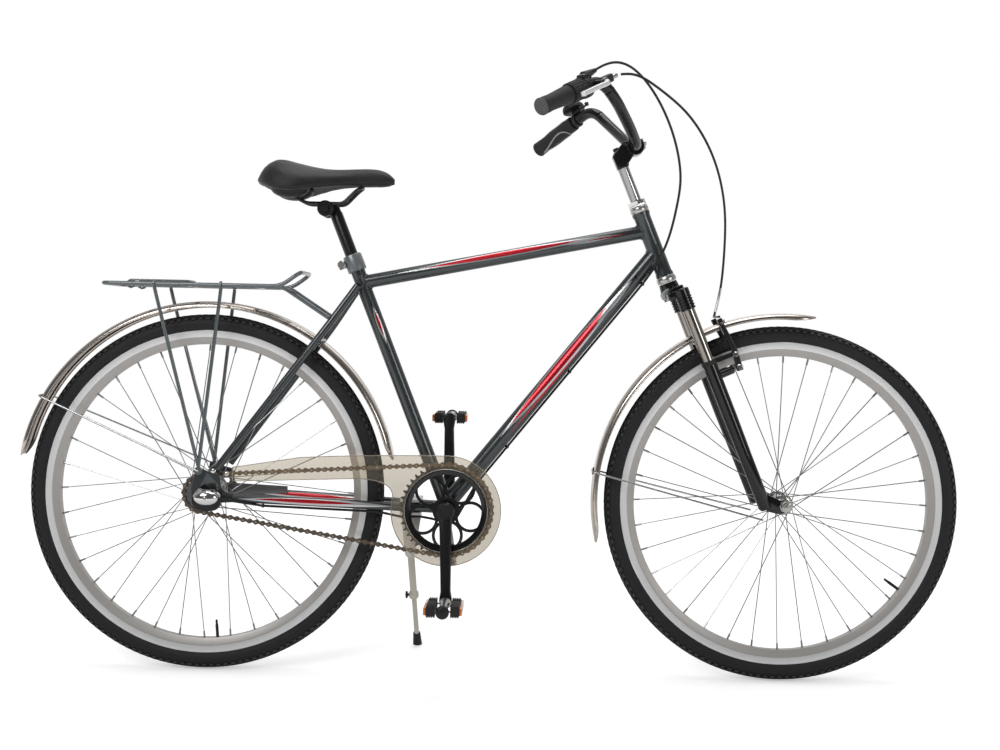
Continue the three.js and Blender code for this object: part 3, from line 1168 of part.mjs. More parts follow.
function strikerGeometry() {
  const half = BELL.pinRadius / 2;
  const eye = alongZ(disc(BELL.pinRadius, -half, half, ROD_SIDES));
  const arm = box(at(-half, 0, -half), at(half, BELL.strikerLength, half));
  const pad = alongZ(disc(BELL.pinRadius * 1.5, -half, half * 3, ROD_SIDES)).translate(0,
    BELL.strikerLength, 0);
  return join(eye, arm, pad);
}

function addHandlebar(steering) {
  add(steering, "stem", stemGeometry(), CHROME);
  add(steering, "handlebar", tube(barRoute, BAR.radius, BAR.sides), CHROME);
  add(steering, "grip_right", onBar(-1, gripGeometry(GRIP.halfLength), 0), RUBBER);
  add(steering, "grip_left", onBar(1, gripGeometry(GRIP.fullLength), 0), GREY_PLASTIC);

  const twist = gripGroup(steering, "twist", -1, GRIP.halfLength + SEAT_GAP);
  add(twist, "twist_grip", twistGeometry(), RUBBER);
  const shifter = gripGroup(steering, "shifter", -1, shifterAt);
  const housing = ring(barBore, SHIFTER.radius, 0, SHIFTER.length);
  const window = box(at(-SHIFTER.windowHalf, EMBED, barBore + EMBED), at(SHIFTER.windowReach,
    SHIFTER.length - EMBED, SHIFTER.windowRise));
  add(shifter, "shifter_housing", join(housing, window), BLACK_PLASTIC);

  const bracket = gripGroup(steering, "lever_bracket", -1, leverAt);
  add(bracket, "brake_lever_bracket", leverBracketGeometry(), BLACK_PAINT);
  const blade = groupAt(bracket, at(LEVER.pivotForward, LEVER.pivotInward, 0));
  blade.name = "lever_pivot";
  add(blade, "brake_lever", leverBladeGeometry(), ALLOY);

  const bell = gripGroup(steering, "bell_clamp", 1, BELL.at);
  add(bell, "bell", bellGeometry(), BLACK_PLASTIC);
  const striker = groupAt(bell, at(0, BELL.clampRadius,
    BELL.clampRadius - EMBED + BELL.stand - EMBED * 2 - BELL.pinRadius / 2 - SEAT_GAP));
  striker.name = "striker_pivot";
  add(striker, "bell_striker", strikerGeometry(), GREY_PLASTIC);
}

// Saddle. Its group stands on the seat tube's axis.
function postGeometry() {
  const body = rod(at(0, 0, POST.foot), at(0, 0, POST.neckFrom), POST.radius, TUBE_SIDES);
  return join(body, rod(at(0, 0, POST.neckFrom - EMBED), at(0, 0, POST.top), POST.neckRadius, TUBE_SIDES));
}

const clampPlace = at(CLAMP.forward, 0, CLAMP.up);

function clampGeometry() {
  const pieces = [disc(CLAMP.boltRadius, -CLAMP.boltHalf, CLAMP.boltHalf, ROD_SIDES)];
  for (const { sign } of SIDES) {
    pieces.push(disc(CLAMP.radius, min(sign * CLAMP.inner, sign * CLAMP.outer), max(sign * CLAMP.inner,
      sign * CLAMP.outer)));
  }
  const body = join(...pieces).translate(clampPlace.x, 0, clampPlace.z);
  const grooves = SIDES.map(({ sign }) => railRoute(sign)).map((route) => tube(route,
    RAIL.radius + SEAT_GAP, WIRE_SIDES));
  return cut(body, ...grooves);
}

function railRoute(sign) {
  return rounded(RAIL_CORNERS.map(({ x, y, z }) => at(x, sign * y, z)), RAIL.radius * 2, 2);
}

function railsGeometry() {
  const pieces = SIDES.map(({ sign }) => tube(railRoute(sign), RAIL.radius, WIRE_SIDES));
  for (const end of [RAIL_CORNERS[0], RAIL_CORNERS[RAIL_CORNERS.length - 1]]) {
    pieces.push(box(
      at(end.x - RAIL.bridgeHalf, -end.y, end.z - RAIL.bridgeHalf), at(end.x + RAIL.bridgeHalf, end.y,
        end.z + RAIL.bridgeHalf),
    ));
  }
  return join(...pieces);
}

// The saddle: a crowned shell whose skirt hangs lowest at the widest place and draws in to the nose.
function saddleGeometry() {
  const rings = SADDLE_SHARES.map(([place, width, crown, skirt, under]) => {
    const x = SADDLE.rear + SADDLE.length * place;
    const half = SADDLE.halfWidth * width;
    const height = (share) => SADDLE.base + SADDLE.height * share;
    const arch = (count, reach, top) => Array.from({ length: count }, (_, i) => {
      const turn = (PI * (i + 0.5)) / count;
      const rise = sin(turn) ** 0.7;
      return at(x, reach * cos(turn), height(skirt) + (height(top) - height(skirt)) * rise);
    });
    const room = max(half - SADDLE.skirt, half / 2);
    return [...arch(SADDLE.outerPoints, half, crown), ...arch(SADDLE.innerPoints, room, under).reverse()];
  });
  return loft(rings);
}

function addSaddle(bicycle) {
  const post = groupAt(bicycle, at(0, 0, 0));
  post.name = "post";
  const head = disc(CLAMP.headRadius, SEAT_GAP - CLAMP.inner,
    CLAMP.inner - SEAT_GAP).translate(clampPlace.x, 0, clampPlace.z);
  const body = postGeometry().rotateY(seatTurn).translate(bracketPlace.x, 0, bracketPlace.z);
  const bore = disc(bored(CLAMP.boltRadius, ROD_SIDES), -CLAMP.outer, CLAMP.outer,
    ROD_SIDES).translate(clampPlace.x, 0, clampPlace.z);
  add(post, "seatpost", cut(join(body, head), bore), BLACK_PAINT);
  add(post, "saddle_clamp", clampGeometry(), STEEL);
  add(post, "saddle_rails", railsGeometry(), STEEL);
  add(post, "saddle", saddleGeometry(), LEATHER);
}

// Carrier
const deckRod = (from, to) => rod(from, to, CARRIER.rod, WIRE_SIDES);

function deckGeometry() {
  const { rear, front, height, halfWidth, innerOut } = CARRIER;
  const loop = (side) => rounded([
    at((rear + front) / 2, side * halfWidth, height), at(rear, side * halfWidth, height), at(rear, 0,
      height),
  ], CARRIER.bend);
  const nose = (side) => rounded([
    at((rear + front) / 2, side * halfWidth, height), at(front, side * halfWidth, height),
    at(front + CARRIER.loopReach, side * halfWidth, height + CARRIER.loopRise),
      at(front + CARRIER.loopReach, 0, height + CARRIER.loopRise),
  ], CARRIER.bend);
  const sides = [];
  for (const { sign } of SIDES) {
    const whole = [...loop(sign).reverse(), ...nose(sign).slice(1)];
    sides.push(tube(whole, CARRIER.rod, WIRE_SIDES));
    sides.push(deckRod(at(CARRIER.crossRods[0], sign * innerOut, height), at(CARRIER.crossRods.at(-1),
      sign * innerOut, height)));
    const foot = at(CARRIER.strutFoot, sign * SEAT_STAY.bendOut, CARRIER.strutFootHeight);
    sides.push(deckRod(at(CARRIER.crossRods.at(-1), sign * SEAT_STAY.bendOut, height), at(CARRIER.strutAt,
      foot.y, height)));
    sides.push(deckRod(at(CARRIER.strutAt - EMBED, foot.y, height), foot));
  }
  const cross = CARRIER.crossRods.map((x) => deckRod(at(x, -halfWidth, height), at(x, halfWidth, height)));
  return join(...sides, ...cross);
}

const eyePlace = at(-DROPOUT.eyeBack, 0, TYRE.radius + DROPOUT.eyeRise);

// The legs on one side: a bent rod from each end of the deck down to the screw in the dropout.
function carrierLegGeometry(sign) {
  const wide = CARRIER.rod - EMBED / 2;
  const drop = CARRIER.height - CARRIER.rod - CARRIER.legGap - wide;
  const outer = DROPOUT_HALF_SPACING + DROPOUT.thickness / 2 + SEAT_GAP;
  const footY = sign * (outer + wide);
  const foot = eyePlace.clone().setY(footY).add(at(0, 0, DROPOUT.eyeRadius));
  const pieces = [CARRIER.legRear, CARRIER.legFront].map((x) => {
    const shoulder = at(x + (eyePlace.x - x) / CARRIER.bend, sign * CARRIER.halfWidth, drop - CARRIER.bend);
    return tube(rounded([at(x, sign * CARRIER.halfWidth, drop + wide), shoulder, foot], CARRIER.rod),
      wide, WIRE_SIDES);
  });
  const eye = disc(DROPOUT.eyeRadius, min(sign * outer, footY + sign * wide), max(sign * outer,
    footY + sign * wide), ROD_SIDES);
  const screw = disc(DROPOUT.screwRadius - SEAT_GAP, min(sign * (outer - DROPOUT.thickness), footY),
    max(sign * (outer - DROPOUT.thickness), footY), WIRE_SIDES);
  return join(...pieces, eye.translate(eyePlace.x, 0, eyePlace.z), screw.translate(eyePlace.x, 0,
    eyePlace.z));
}

// The spring clip: one wire that coils round the deck's cross rod at both ends.
function clipRoute() {
  const coil = CARRIER.rod + CLIP.coilGap + CLIP.wire;
  const steps = CLIP.coilTurns * CLIP.coilSteps;
  const right = Array.from({ length: steps + 1 }, (_, i) => {
    const turn = (2 * PI * (steps - i)) / CLIP.coilSteps;
    const out = CLIP.halfWidth + (CLIP.coilPitch * (steps - i)) / CLIP.coilSteps;
    return at(coil * sin(-turn), -out, coil * cos(turn));
  });
  const front = at(CLIP.front - CLIP.pivot, 0, coil);
  const corner = front.clone().setY(-CLIP.halfWidth);
  const half = [...right, ...rounded([right.at(-1), corner, front], CARRIER.rod * 2).slice(1)];
  return [...half, ...half.slice(0, -1).map(mirrored).reverse()];
}

// The least gap of the clip's wire to itself between turns, printed so that a change of size shows it.
function reportClipGap(route) {
  let least = Infinity;
  route.forEach((point, i) => {
    for (let j = i + CLIP.coilSteps - 2; j < route.length; j += 1) least = min(least,
      point.distanceTo(route[j]));
  });
  console.log(`carrier clip: least gap between turns ${(least - 2 * CLIP.wire).toFixed(2)} mm`);
}

// Mudguards. Turns run from forward to up about the axle, which is the origin.
function mudguardGeometry(from, to) {
  const radius = MUDGUARD.radius;
  const edge = MUDGUARD.halfWidth;
  const section = [[-MUDGUARD.drop, edge], [-MUDGUARD.drop / 4, edge * 0.8], [0, edge * 0.4]];
  const outer = [...section.map(([rise, y]) => [rise, -y]), ...section.map(([rise, y]) => [rise,
    y]).reverse()];
  const inner = outer.map(([rise, y]) => [rise - MUDGUARD.sheet,
    y - Math.sign(y) * MUDGUARD.sheet]).reverse();
  const steps = round((to - from) / MUDGUARD.ringTurn);
  const rings = Array.from({ length: steps + 1 }, (_, i) => {
    const turn = from + ((to - from) * i) / steps;
    return [...outer, ...inner].map(([rise, y]) => at((radius + rise) * cos(turn), y,
      (radius + rise) * sin(turn)));
  });
  return loft(rings);
}

// The wire stay of a mudguard: from an eye at each dropout up both sides and across the guard's crown.
function guardStayGeometry(turn, eye, outerFace) {
  const wire = MUDGUARD.stayRadius;
  const out = outerFace + SEAT_GAP + wire;
  const reach = MUDGUARD.radius + wire + SEAT_GAP;
  const side = MUDGUARD.halfWidth + wire + SEAT_GAP;
  const crown = at(reach * cos(turn), 0, reach * sin(turn));
  const shoulder = crown.clone().setY(side);
  const foot = at(eye.x, out, eye.z);
  const half = rounded([foot, shoulder, crown], wire * 3);
  return tube([...half.slice(0, -1), crown, ...half.slice(0, -1).map(mirrored).reverse()], wire,
    WIRE_SIDES);
}

// A mudguard with its stay and the tab that it hangs from.
function dressedMudguard(from, to, stayTurn, eye, outerFace, tab) {
  const eyes = SIDES.map(({ sign }) => {
    const inner = outerFace + SEAT_GAP;
    const outer = inner + 2 * MUDGUARD.stayRadius;
    return disc(DROPOUT.eyeRadius, min(sign * inner, sign * outer), max(sign * inner, sign * outer),
      ROD_SIDES).translate(eye.x, 0, eye.z);
  });
  const reach = MUDGUARD.radius + EMBED;
  const rivet = box(at(-MUDGUARD.drop / 2, -MUDGUARD.drop / 2, -MUDGUARD.drop / 3), at(MUDGUARD.drop / 2,
    MUDGUARD.drop / 2, EMBED));
  rivet.rotateY(PI / 2 - stayTurn).translate(reach * cos(stayTurn), 0, reach * sin(stayTurn));
  return join(mudguardGeometry(from, to), guardStayGeometry(stayTurn, eye, outerFace), rivet, ...eyes,
    ...tab);
}

// Side stand
const standPivot = at(STAND.pivot.x, STAND.pivot.y, STAND.pivot.z);
const standWay = at(STAND.foot.x, STAND.foot.y, STAND.foot.z).sub(standPivot);
const standAxis = at(0, cos(STAND.axisTilt), sin(STAND.axisTilt));

function standBracketGeometry() {
  const { plateBack: back, plateFront: front, plateHalf: half, plateThickness: thickness } = STAND;
  const top = chainStayMiddle(front).z - CHAIN_STAY.radius - SEAT_GAP;
  const low = top - thickness;
  const above = chainStayMiddle(back).z + CHAIN_STAY.radius + SEAT_GAP;
  const middle = (back + front) / 2;
  const bolt = rod(at(middle, 0, low - STAND.boltRadius), at(middle, 0,
    above + thickness + STAND.boltRadius), STAND.boltRadius);
  const away = standAxis.clone().multiplyScalar(STAND.headRadius + SEAT_GAP);
  const cheekThick = standAxis.clone().multiplyScalar(STAND.cheek);
  const inner = standPivot.clone().sub(away);
  const outer = standPivot.clone().add(away);
  const clear = STAND.cheek / 2 + STAND.headRadius * sin(STAND.axisTilt);
  const post = taperedBar(
    { x: standPivot.x, y: inner.y - clear, z: inner.z, halfX: STAND.headRadius, halfY: STAND.cheek / 2 },
    { x: middle, y: 0, z: low + EMBED, halfX: STAND.headRadius * 2, halfY: STAND.headRadius },
  );
  return join(
    box(at(back, -half, low), at(front, half, top)),
    box(at(back, -half, above), at(front, half, above + thickness)),
    bolt,
    post,
    rod(inner.clone().sub(cheekThick), inner, STAND.headRadius, TUBE_SIDES),
    rod(inner.clone().sub(cheekThick), outer.clone().add(cheekThick), STAND.pinRadius),
  );
}

// The stand's pieces lie along their group's Z, below the pivot.
function standLegGeometry() {
  const axis = standAxis.clone().applyQuaternion(standTurn().invert());
  const half = axis.clone().multiplyScalar(STAND.headRadius);
  const head = rod(half.clone().negate(), half, STAND.headRadius, TUBE_SIDES);
  const hole = rod(half.clone().multiplyScalar(-2), half.clone().multiplyScalar(2), bored(STAND.pinRadius,
    ROD_SIDES));
  const outer = rod(at(0, 0, 0), at(0, 0, -STAND.upperLength), STAND.radius, TUBE_SIDES);
  const clamp = rod(at(0, 0, STAND.clampLength - STAND.upperLength), at(0, 0, -STAND.upperLength),
    STAND.clampRadius, TUBE_SIDES);
  const screwUp = STAND.clampLength / 2 - STAND.upperLength;
  const screw = rod(at(-STAND.clampRadius + EMBED, 0, screwUp), at(-STAND.screwReach, 0, screwUp),
    STAND.screwRadius);
  const boreTop = STAND.overlap + RUNNING_GAP + STAND.innerRadius;
  const bore = rod(at(0, 0, boreTop - STAND.upperLength), at(0, 0, -STAND.upperLength - OVERRUN),
    bored(STAND.innerRadius), TUBE_SIDES);
  return cut(join(head, outer, clamp, screw), hole, bore);
}

function standExtensionGeometry() {
  const length = standWay.length();
  const top = STAND.overlap - STAND.upperLength;
  const stem = rod(at(0, 0, top), at(0, 0, -length + STAND.footLength / 2), STAND.innerRadius, TUBE_SIDES);
  const shoe = rod(at(0, 0, -length - STAND.footLength), at(0, 0, -length + STAND.footLength),
    STAND.footRadius, TUBE_SIDES);
  const groundTop = TYRE.radius * (1 - facetShare) * cos(STAND_LEAN);
  const ground = box(at(STAND.foot.x - length, -length, -2 * length), at(STAND.foot.x + length, length,
    groundTop));
  const toWorld = new THREE.Matrix4().makeRotationFromQuaternion(standTurn()).setPosition(standPivot);
  ground.applyMatrix4(new THREE.Matrix4().makeRotationX(STAND_LEAN)).applyMatrix4(toWorld.invert());
  return join(stem, cut(shoe, ground));
}

const standTurn = () => new THREE.Quaternion().setFromUnitVectors(Z_AXIS,
  standWay.clone().negate().normalize());

function addStand(bicycle) {
  add(bicycle, "stand_bracket", standBracketGeometry(), STEEL);
  const stand = groupAt(bicycle, standPivot);
  stand.name = "stand";
  stand.quaternion.copy(standTurn());
  add(stand, "stand_leg", standLegGeometry(), BEIGE_PAINT);
  add(stand, "stand_extension", standExtensionGeometry(), BEIGE_PAINT);
}

// Cables
const underDownTube = (share) => {
  const foot = bracketPlace.clone().add(at(0, 0, DOWN_TUBE.rise));
  const head = onHeadAxis(DOWN_TUBE.headStation);
  const way = head.clone().sub(foot).normalize();
  const drop = at(way.z, 0, -way.x).multiplyScalar(DOWN_TUBE.radius + CABLE.radius + SEAT_GAP * 2);
  return foot.lerp(head, share).add(drop);
};

const underChainStay = (forward) => chainStayMiddle(forward).sub(at(0, 0,
  CHAIN_STAY.radius + CABLE.radius + 2 * SEAT_GAP));

function shiftCableGeometry() {
  const loop = SHIFT_LOOP.map(({ x, y, z }) => at(x, y, z));
  const low = SHIFT_LOW.map(({ x, y, z }) => at(x, y, z));
  const stayRun = SHIFT_STAY_PLACES.map(underChainStay);
  const tubeTop = SHIFT_TUBE_SHARES.map(underDownTube);
  const end = at(GEAR_COVER.front + CABLE.radius, -(GEAR_COVER.inner + GEAR_COVER.outer) / 2,
    TYRE.radius - GEAR_COVER.drop);
  const curved = smoothed([...loop, ...tubeTop], CABLE.loopSteps);
  return tube([...curved, underDownTube(SHIFT_TUBE_END_SHARE), ...low, ...stayRun, end], CABLE.radius,
    CABLE.sides);
}

function brakeCableGeometry() {
  const free = BRAKE_LOOP.map(fromUpright);
  const top = BRAKE.pivotUp + BRAKE.armLength + CABLE.radius;
  const over = [at(BRAKE.pivotForward, BRAKE.pivotOut, top), at(BRAKE.pivotForward, 0, top),
    at(BRAKE.pivotForward, -BRAKE.pivotOut, top)];
  return tube(smoothed([...free, ...over], CABLE.loopSteps), CABLE.radius, CABLE.sides);
}

// Rear end
function gearCoverGeometry() {
  const height = TYRE.radius - GEAR_COVER.drop;
  const shape = new THREE.Shape();
  shape.absarc(0, height, GEAR_COVER.radius, PI / 2, (3 * PI) / 2, false);
  shape.lineTo(GEAR_COVER.front - GEAR_COVER.bevel, height - GEAR_COVER.radius);
  shape.lineTo(GEAR_COVER.front, height - GEAR_COVER.radius / 2);
  shape.lineTo(GEAR_COVER.front, height + GEAR_COVER.radius / 2);
  shape.lineTo(GEAR_COVER.front - GEAR_COVER.bevel, height + GEAR_COVER.radius);
  const body = plate(shape, -GEAR_COVER.outer, -GEAR_COVER.inner, ROD_SIDES);
  const end = bored(AXLE.nutRadius);
  return cut(body, disc(end, -GEAR_COVER.outer + GEAR_COVER.bevel,
    -GEAR_COVER.inner + OVERRUN).translate(0, 0, TYRE.radius));
}

function coasterArmGeometry() {
  const low = COASTER_ARM.face;
  const shape = new THREE.Shape();
  shape.absarc(0, 0, COASTER_ARM.halfWidth * 1.5, PI / 2, (3 * PI) / 2, false);
  shape.lineTo(COASTER_ARM.length, -COASTER_ARM.tipHalf);
  shape.lineTo(COASTER_ARM.length, COASTER_ARM.tipHalf);
  shape.holes.push(circle(bored(AXLE.coneRadius)));
  return plate(shape, low, low + COASTER_ARM.thickness, ROD_SIDES).translate(0, 0, TYRE.radius);
}

function addRearEnd(bicycle) {
  const plateInner = DROPOUT_HALF_SPACING - DROPOUT.thickness / 2;
  const plateOuter = plateInner + DROPOUT.thickness;
  const axle = groupAt(bicycle, rearAxlePlace);
  add(axle, "rear_axle", axleGeometry(REAR_HUB, plateInner, plateOuter), STEEL);
  const wheel = groupAt(bicycle, rearAxlePlace);
  wheel.name = "rear_wheel";
  addWheel(wheel, "rear", REAR_HUB);
  const sprocket = groupAt(bicycle, rearAxlePlace);
  add(sprocket, "rear_sprocket", sprocketGeometry(), STEEL);
  add(bicycle, "gear_cover", gearCoverGeometry(), BLACK_PLASTIC);
  add(bicycle, "coaster_brake_arm", coasterArmGeometry(), STEEL);

  const rearEye = eyePlace.clone().sub(rearAxlePlace);
  const legsOuter = plateOuter + SEAT_GAP + 2 * CARRIER.rod;
  const rearGuard = dressedMudguard(MUDGUARD.rearFrom, MUDGUARD.rearTo, MUDGUARD.stayAngle, rearEye,
    legsOuter, []);
  add(axle, "rear_mudguard", rearGuard, CHROME);
  add(bicycle, "carrier_deck", deckGeometry(), BLACK_PAINT);
  for (const { name, sign } of SIDES) add(bicycle, `carrier_leg_${name}`, carrierLegGeometry(sign),
    BLACK_PAINT);
  const clip = groupAt(bicycle, at(CLIP.pivot, 0, CARRIER.height));
  clip.name = "clip_pivot";
  const route = clipRoute();
  reportClipGap(route);
  add(clip, "carrier_clip", tube(route, CLIP.wire, 5), BLACK_PAINT);
  add(bicycle, "chain_guard", guardGeometry(), SMOKED);
}

function addFrontMudguard(lowers) {
  const centre = groupAt(lowers, at(FORK_RAKE, 0, 0), -headTurn);
  const outerFace = FORK.legOut + FORK.dropoutWidth / 2 + FORK.lowerRadius;
  const eye = at(-FORK_RAKE + EMBED, 0, -FORK.dropoutRadius / 2);
  const tab = box(at(FORK.archBack, -MUDGUARD.drop, FORK.archTop + SEAT_GAP), at(FORK.archFront,
    MUDGUARD.drop, MUDGUARD.radius - EMBED));
  tab.translate(-FORK_RAKE, 0, 0).rotateY(headTurn);
  const geometry = dressedMudguard(MUDGUARD.frontFrom, MUDGUARD.frontTo, MUDGUARD.frontStayAngle, eye,
    outerFace, [tab]);
  add(centre, "front_mudguard", geometry, CHROME);
}

function buildBicycle() {
  const bicycle = new THREE.Group();
  addFrame(bicycle);
  addDrive(bicycle);
  addRearEnd(bicycle);
  const steering = groupAt(bicycle, steeringFoot, headTurn);
  steering.name = "steering";
  const lowers = addFork(steering);
  addFrontMudguard(lowers);
  addHandlebar(steering);
  add(steering, "brake_cable", brakeCableGeometry(), BLACK_PLASTIC);
  addSaddle(bicycle);
  addStand(bicycle);
  add(bicycle, "shift_cable", shiftCableGeometry(), BLACK_PLASTIC);
  return bicycle;
}

// The whole bicycle leans on its stand, and its origin is the middle of its footprint on the ground.
const touringBicycle = new THREE.Group();
touringBicycle.name = "touring_bicycle";
const bicycle = buildBicycle();
bicycle.rotation.x = -STAND_LEAN;
touringBicycle.add(bicycle);
const bounds = new THREE.Box3().setFromObject(touringBicycle, true);
const footprint = bounds.getCenter(at(0, 0, 0)).setZ(bounds.min.z);
bicycle.position.sub(footprint);

export default touringBicycle;
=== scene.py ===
from math import acos, asin, atan2, cos, hypot, pi, radians, sin

import bmesh
import bpy
from mathutils import Matrix, Vector


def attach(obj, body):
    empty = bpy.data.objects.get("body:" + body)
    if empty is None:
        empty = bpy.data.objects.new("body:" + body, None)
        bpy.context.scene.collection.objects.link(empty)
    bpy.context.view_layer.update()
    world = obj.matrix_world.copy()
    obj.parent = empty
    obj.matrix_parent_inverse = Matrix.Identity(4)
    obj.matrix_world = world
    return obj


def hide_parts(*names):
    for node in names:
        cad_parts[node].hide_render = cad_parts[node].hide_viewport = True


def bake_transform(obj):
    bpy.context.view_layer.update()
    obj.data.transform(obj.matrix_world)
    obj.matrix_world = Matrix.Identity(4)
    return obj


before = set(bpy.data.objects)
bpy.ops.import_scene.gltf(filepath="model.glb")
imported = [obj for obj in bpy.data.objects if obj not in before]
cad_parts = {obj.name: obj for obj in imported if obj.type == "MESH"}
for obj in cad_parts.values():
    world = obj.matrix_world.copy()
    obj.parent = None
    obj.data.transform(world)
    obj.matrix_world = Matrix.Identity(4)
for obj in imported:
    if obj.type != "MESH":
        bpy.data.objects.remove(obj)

bl_info = {
    "name": "Touring bicycle",
    "version": (1, 0, 0),
    "blender": (4, 5, 0),
    "location": "View3D > Sidebar > Bicycle",
    "description": "Models and finishes a touring bicycle on its side stand",
    "category": "Object",
}

# Sizes are in millimetres in the upright bicycle's frame: X forwards from the rear axle, Y left, Z up.
MM = 0.001

# Layout
LEAN = radians(8)
ORIGIN = (-556.19, -140.77, -1.32)
SEAT_ANGLE = radians(68)
HEAD_ANGLE = radians(67.6)
REAR_AXLE = (0, 0, 351)
FRONT_AXLE = (1133, 0, 351)
BRACKET = (475, 0, 328)
CRANK_TURN = radians(1.7)
STEERING_FOOT = (1086.77, 0, 331.95)

# Wheels
TYRE = {
    "centre": 329.8, "section": 17.0, "half": 18.8, "knob": 2.5, "steps": 300, "rings": 13, "band": 15.5,
    "bands": 4,
}
RIM = {"edge": 317.5, "track": 304.5, "inner": 290, "half": 12.5, "inner_half": 7}
VALVE = {"radius": 3, "length": 34, "rear": radians(175), "front": radians(125)}
SPOKE = {
    "radius": 1.0, "count": 36, "crossings": 3, "nipple": 2.0, "nipple_length": 13, "inset": 3.5,
    "rim_out": 2,
}
HUBS = {
    "rear": {"flange": 33, "at": 30, "width": 3, "body": 27, "end": 17, "half": 39},
    "front": {"flange": 20, "at": 33, "width": 3, "body": 14, "end": 11, "half": 46},
}

# Frame tubes
SEAT_TUBE = {"radius": 14.3, "length": 534, "collar": 19, "collar_width": 34}
TOP_TUBE = {"radius": 13.5, "seat": 476, "head": 596}
DOWN_TUBE = {"radius": 15.9, "head": 550, "rise": 8, "plug_share": 0.9}
HEAD_TUBE = {"radius": 16.5, "flare": 1.4, "bottom": 500, "length": 135}
SHELL = {"radius": 20.5, "half": 34}
CHAIN_STAY = {"radius": 9, "tip_radius": 8, "out": 25, "tip": (66, 60, 345)}
SEAT_STAY = {
    "radius": 7.5, "station": 468, "back": 10, "out": 17, "bend": (235, 38, 681), "foot": (30.1, 60, 401.3),
}
STAY_BRIDGE = ((217, -34, 655), (217, 34, 655), 6)
BEAD = 2.1
SIDES = (("right", -1), ("left", 1))

# Welded joints of the straight tubes: tube, whether at its upper or front end, and what it meets
TUBE_JOINTS = [
    ("top_tube", False, "seat_tube"), ("top_tube", True, "head_tube"), ("down_tube", True, "head_tube"),
    ("down_tube", False, "shell"), ("seat_tube", False, "shell"),
]

# Fork and front end, in the steering axis's frame: X forwards across the axis, Z up along it
LEG = {"forward": 13, "out": 57}
STANCHION = {"radius": 12, "foot": 228, "collar": 423}
COLLAR = {"radius": 15.5, "ribs": 5, "top": 452}
CROWN = {"foot": 452, "top": 467, "race": 486.4, "race_radius": 20, "boss": (-9, 464)}
LOWER = {"radius": 14, "top": 316, "foot": 8, "wiper": 15.6, "width": 8}
ARCH = {"back": 4, "front": 24, "foot": 296, "top": 357.3, "tyre_top": 353, "inner": 26, "out": 44.3}
HEADSET_LIP = 13
BRAKE = {
    "pivot": (66, 40, 283), "lean": 3 / 103, "pad": (15.2, 24),
    "route": [(0, -7), (1.5, 8), (3, 26), (3.5, 42), (1.5, 62), (-1, 82), (-2.5, 102)],
}
STEM_CLAMP = (37, 0, 760)
BAR_RADIUS = 11.1
BAR_CORNERS = [(816, 80, 1073), (782, 150, 1118), (752, 172, 1150), (642, 290, 1078)]
BAR_REACHES = [16, 30, 26, 30]
GRIP = {"near": 80, "far": 118}
TWIST = {"radius": 19.6, "length": 38, "ribs": 22, "depth": 1.1}

# Where the shifter, the lever and the bell sit, from the bar's own end
ON_BAR = {"shifter": 118.6, "lever": 140.4, "bell": 128}

# Mudguards, by angle from forwards to up about the axle
MUDGUARD = {"radius": 375, "half": 26.6, "drop": 11.6, "tongue": radians(7)}
GUARD_ARCS = {"rear": (10.9, 170, 151), "front": (80.6, 193, 171.5)}
STAY_FEET = {"rear": (-4, 73.4, 46), "front": (-45.5, 77.6, -25.2)}

# Chain guard
CHAIN_GUARD = {
    "face": 57, "sheet": 1.6, "depth": 6.6, "radius": 107.8, "opening": 80,
    "rear": 58.2, "rear_top": 404.8, "rear_bottom": 376.2, "rise": 426.8, "rise_at": 190,
    "dip": 386.2, "dip_at": 300, "meet": 166.5, "top": 95, "strap_turn": radians(81),
}

# Cranks and pedals: how long an arm is, and where a pedal begins and ends out from the middle
CRANK_LENGTH = 170
PEDAL_ENDS = (97, 187)

# Chain
CHAIN = {"pitch": 12.7, "links": 106, "large": 44, "small": 18, "line": 45, "holes_turn": radians(58)}

# Carrier
CARRIER = {
    "rear": -200, "front": 146, "height": 757, "half": 62, "rod": 4.1, "leg": 3.6, "loop_rise": 28,
    "loop_reach": 38, "inner": 24, "strut": 38, "joint": -27, "cross": (-150, -35, 95), "legs": (-98, 31),
    "strut_foot": (237, 698),
}

# Side stand
STAND = {"pivot": (402, 20, 238), "foot": (410, 150, 20.3)}

# Cables: half thickness, middle of a housing above the tube that it lies on, and rounds of easing
CABLE = 2.4
CABLE_OFFSET = 3.1
CABLE_EASE = 60
SHIFT_LOOP = [
    (733, -197, 1158), (762, -190, 1178), (800, -168, 1186), (850, -130, 1150), (897.6, -100, 1069.9),
    (917.5, -72, 988.6), (914, -58, 948), (902.7, -43, 879.3), (887, -32, 837), (866, -18, 797.5),
]
SHIFT_LOW = [
    (497, -9, 314.5), (486, -12, 304.5), (475, -15, 302), (462, -18, 303.5), (445, -22, 308),
    (424, -27, 312.3), (384, -31, 312.3),
]
BRAKE_LOOP = [
    (790, -164, 1162), (822, -160, 1166), (864.7, -150, 1138), (912, -128, 1108), (947.8, -105, 1069.5),
    (984.7, -70, 1013.3), (1007.6, -30, 940.6), (1015, 8, 883), (1016, 36, 815), (1013, 50, 765),
]

# Saddle: where its upper side starts, and how much that is raised along it
SADDLE_BRIM = 958
SADDLE_RISES = [(80, 0), (99, 8), (109, 12), (127, 9), (145, 4), (174, 2), (234, 1), (313, 2), (361, 0)]
SADDLE_NOSE = (336, 362, 6)
BOLSTER = {"at": (155, 30, 951), "scale": (1.9, 1.15, 1)}

# Saddle rails, as forwards, out and up
RAIL = 3.5
SADDLE_CLAMP = (224, 0, 913)
RAIL_CORNERS = [
    (294, 12, 956), (284, 20, 950), (258, 22, 923), (186, 22, 923), (160, 30, 936), (132, 42, 954.2),
]

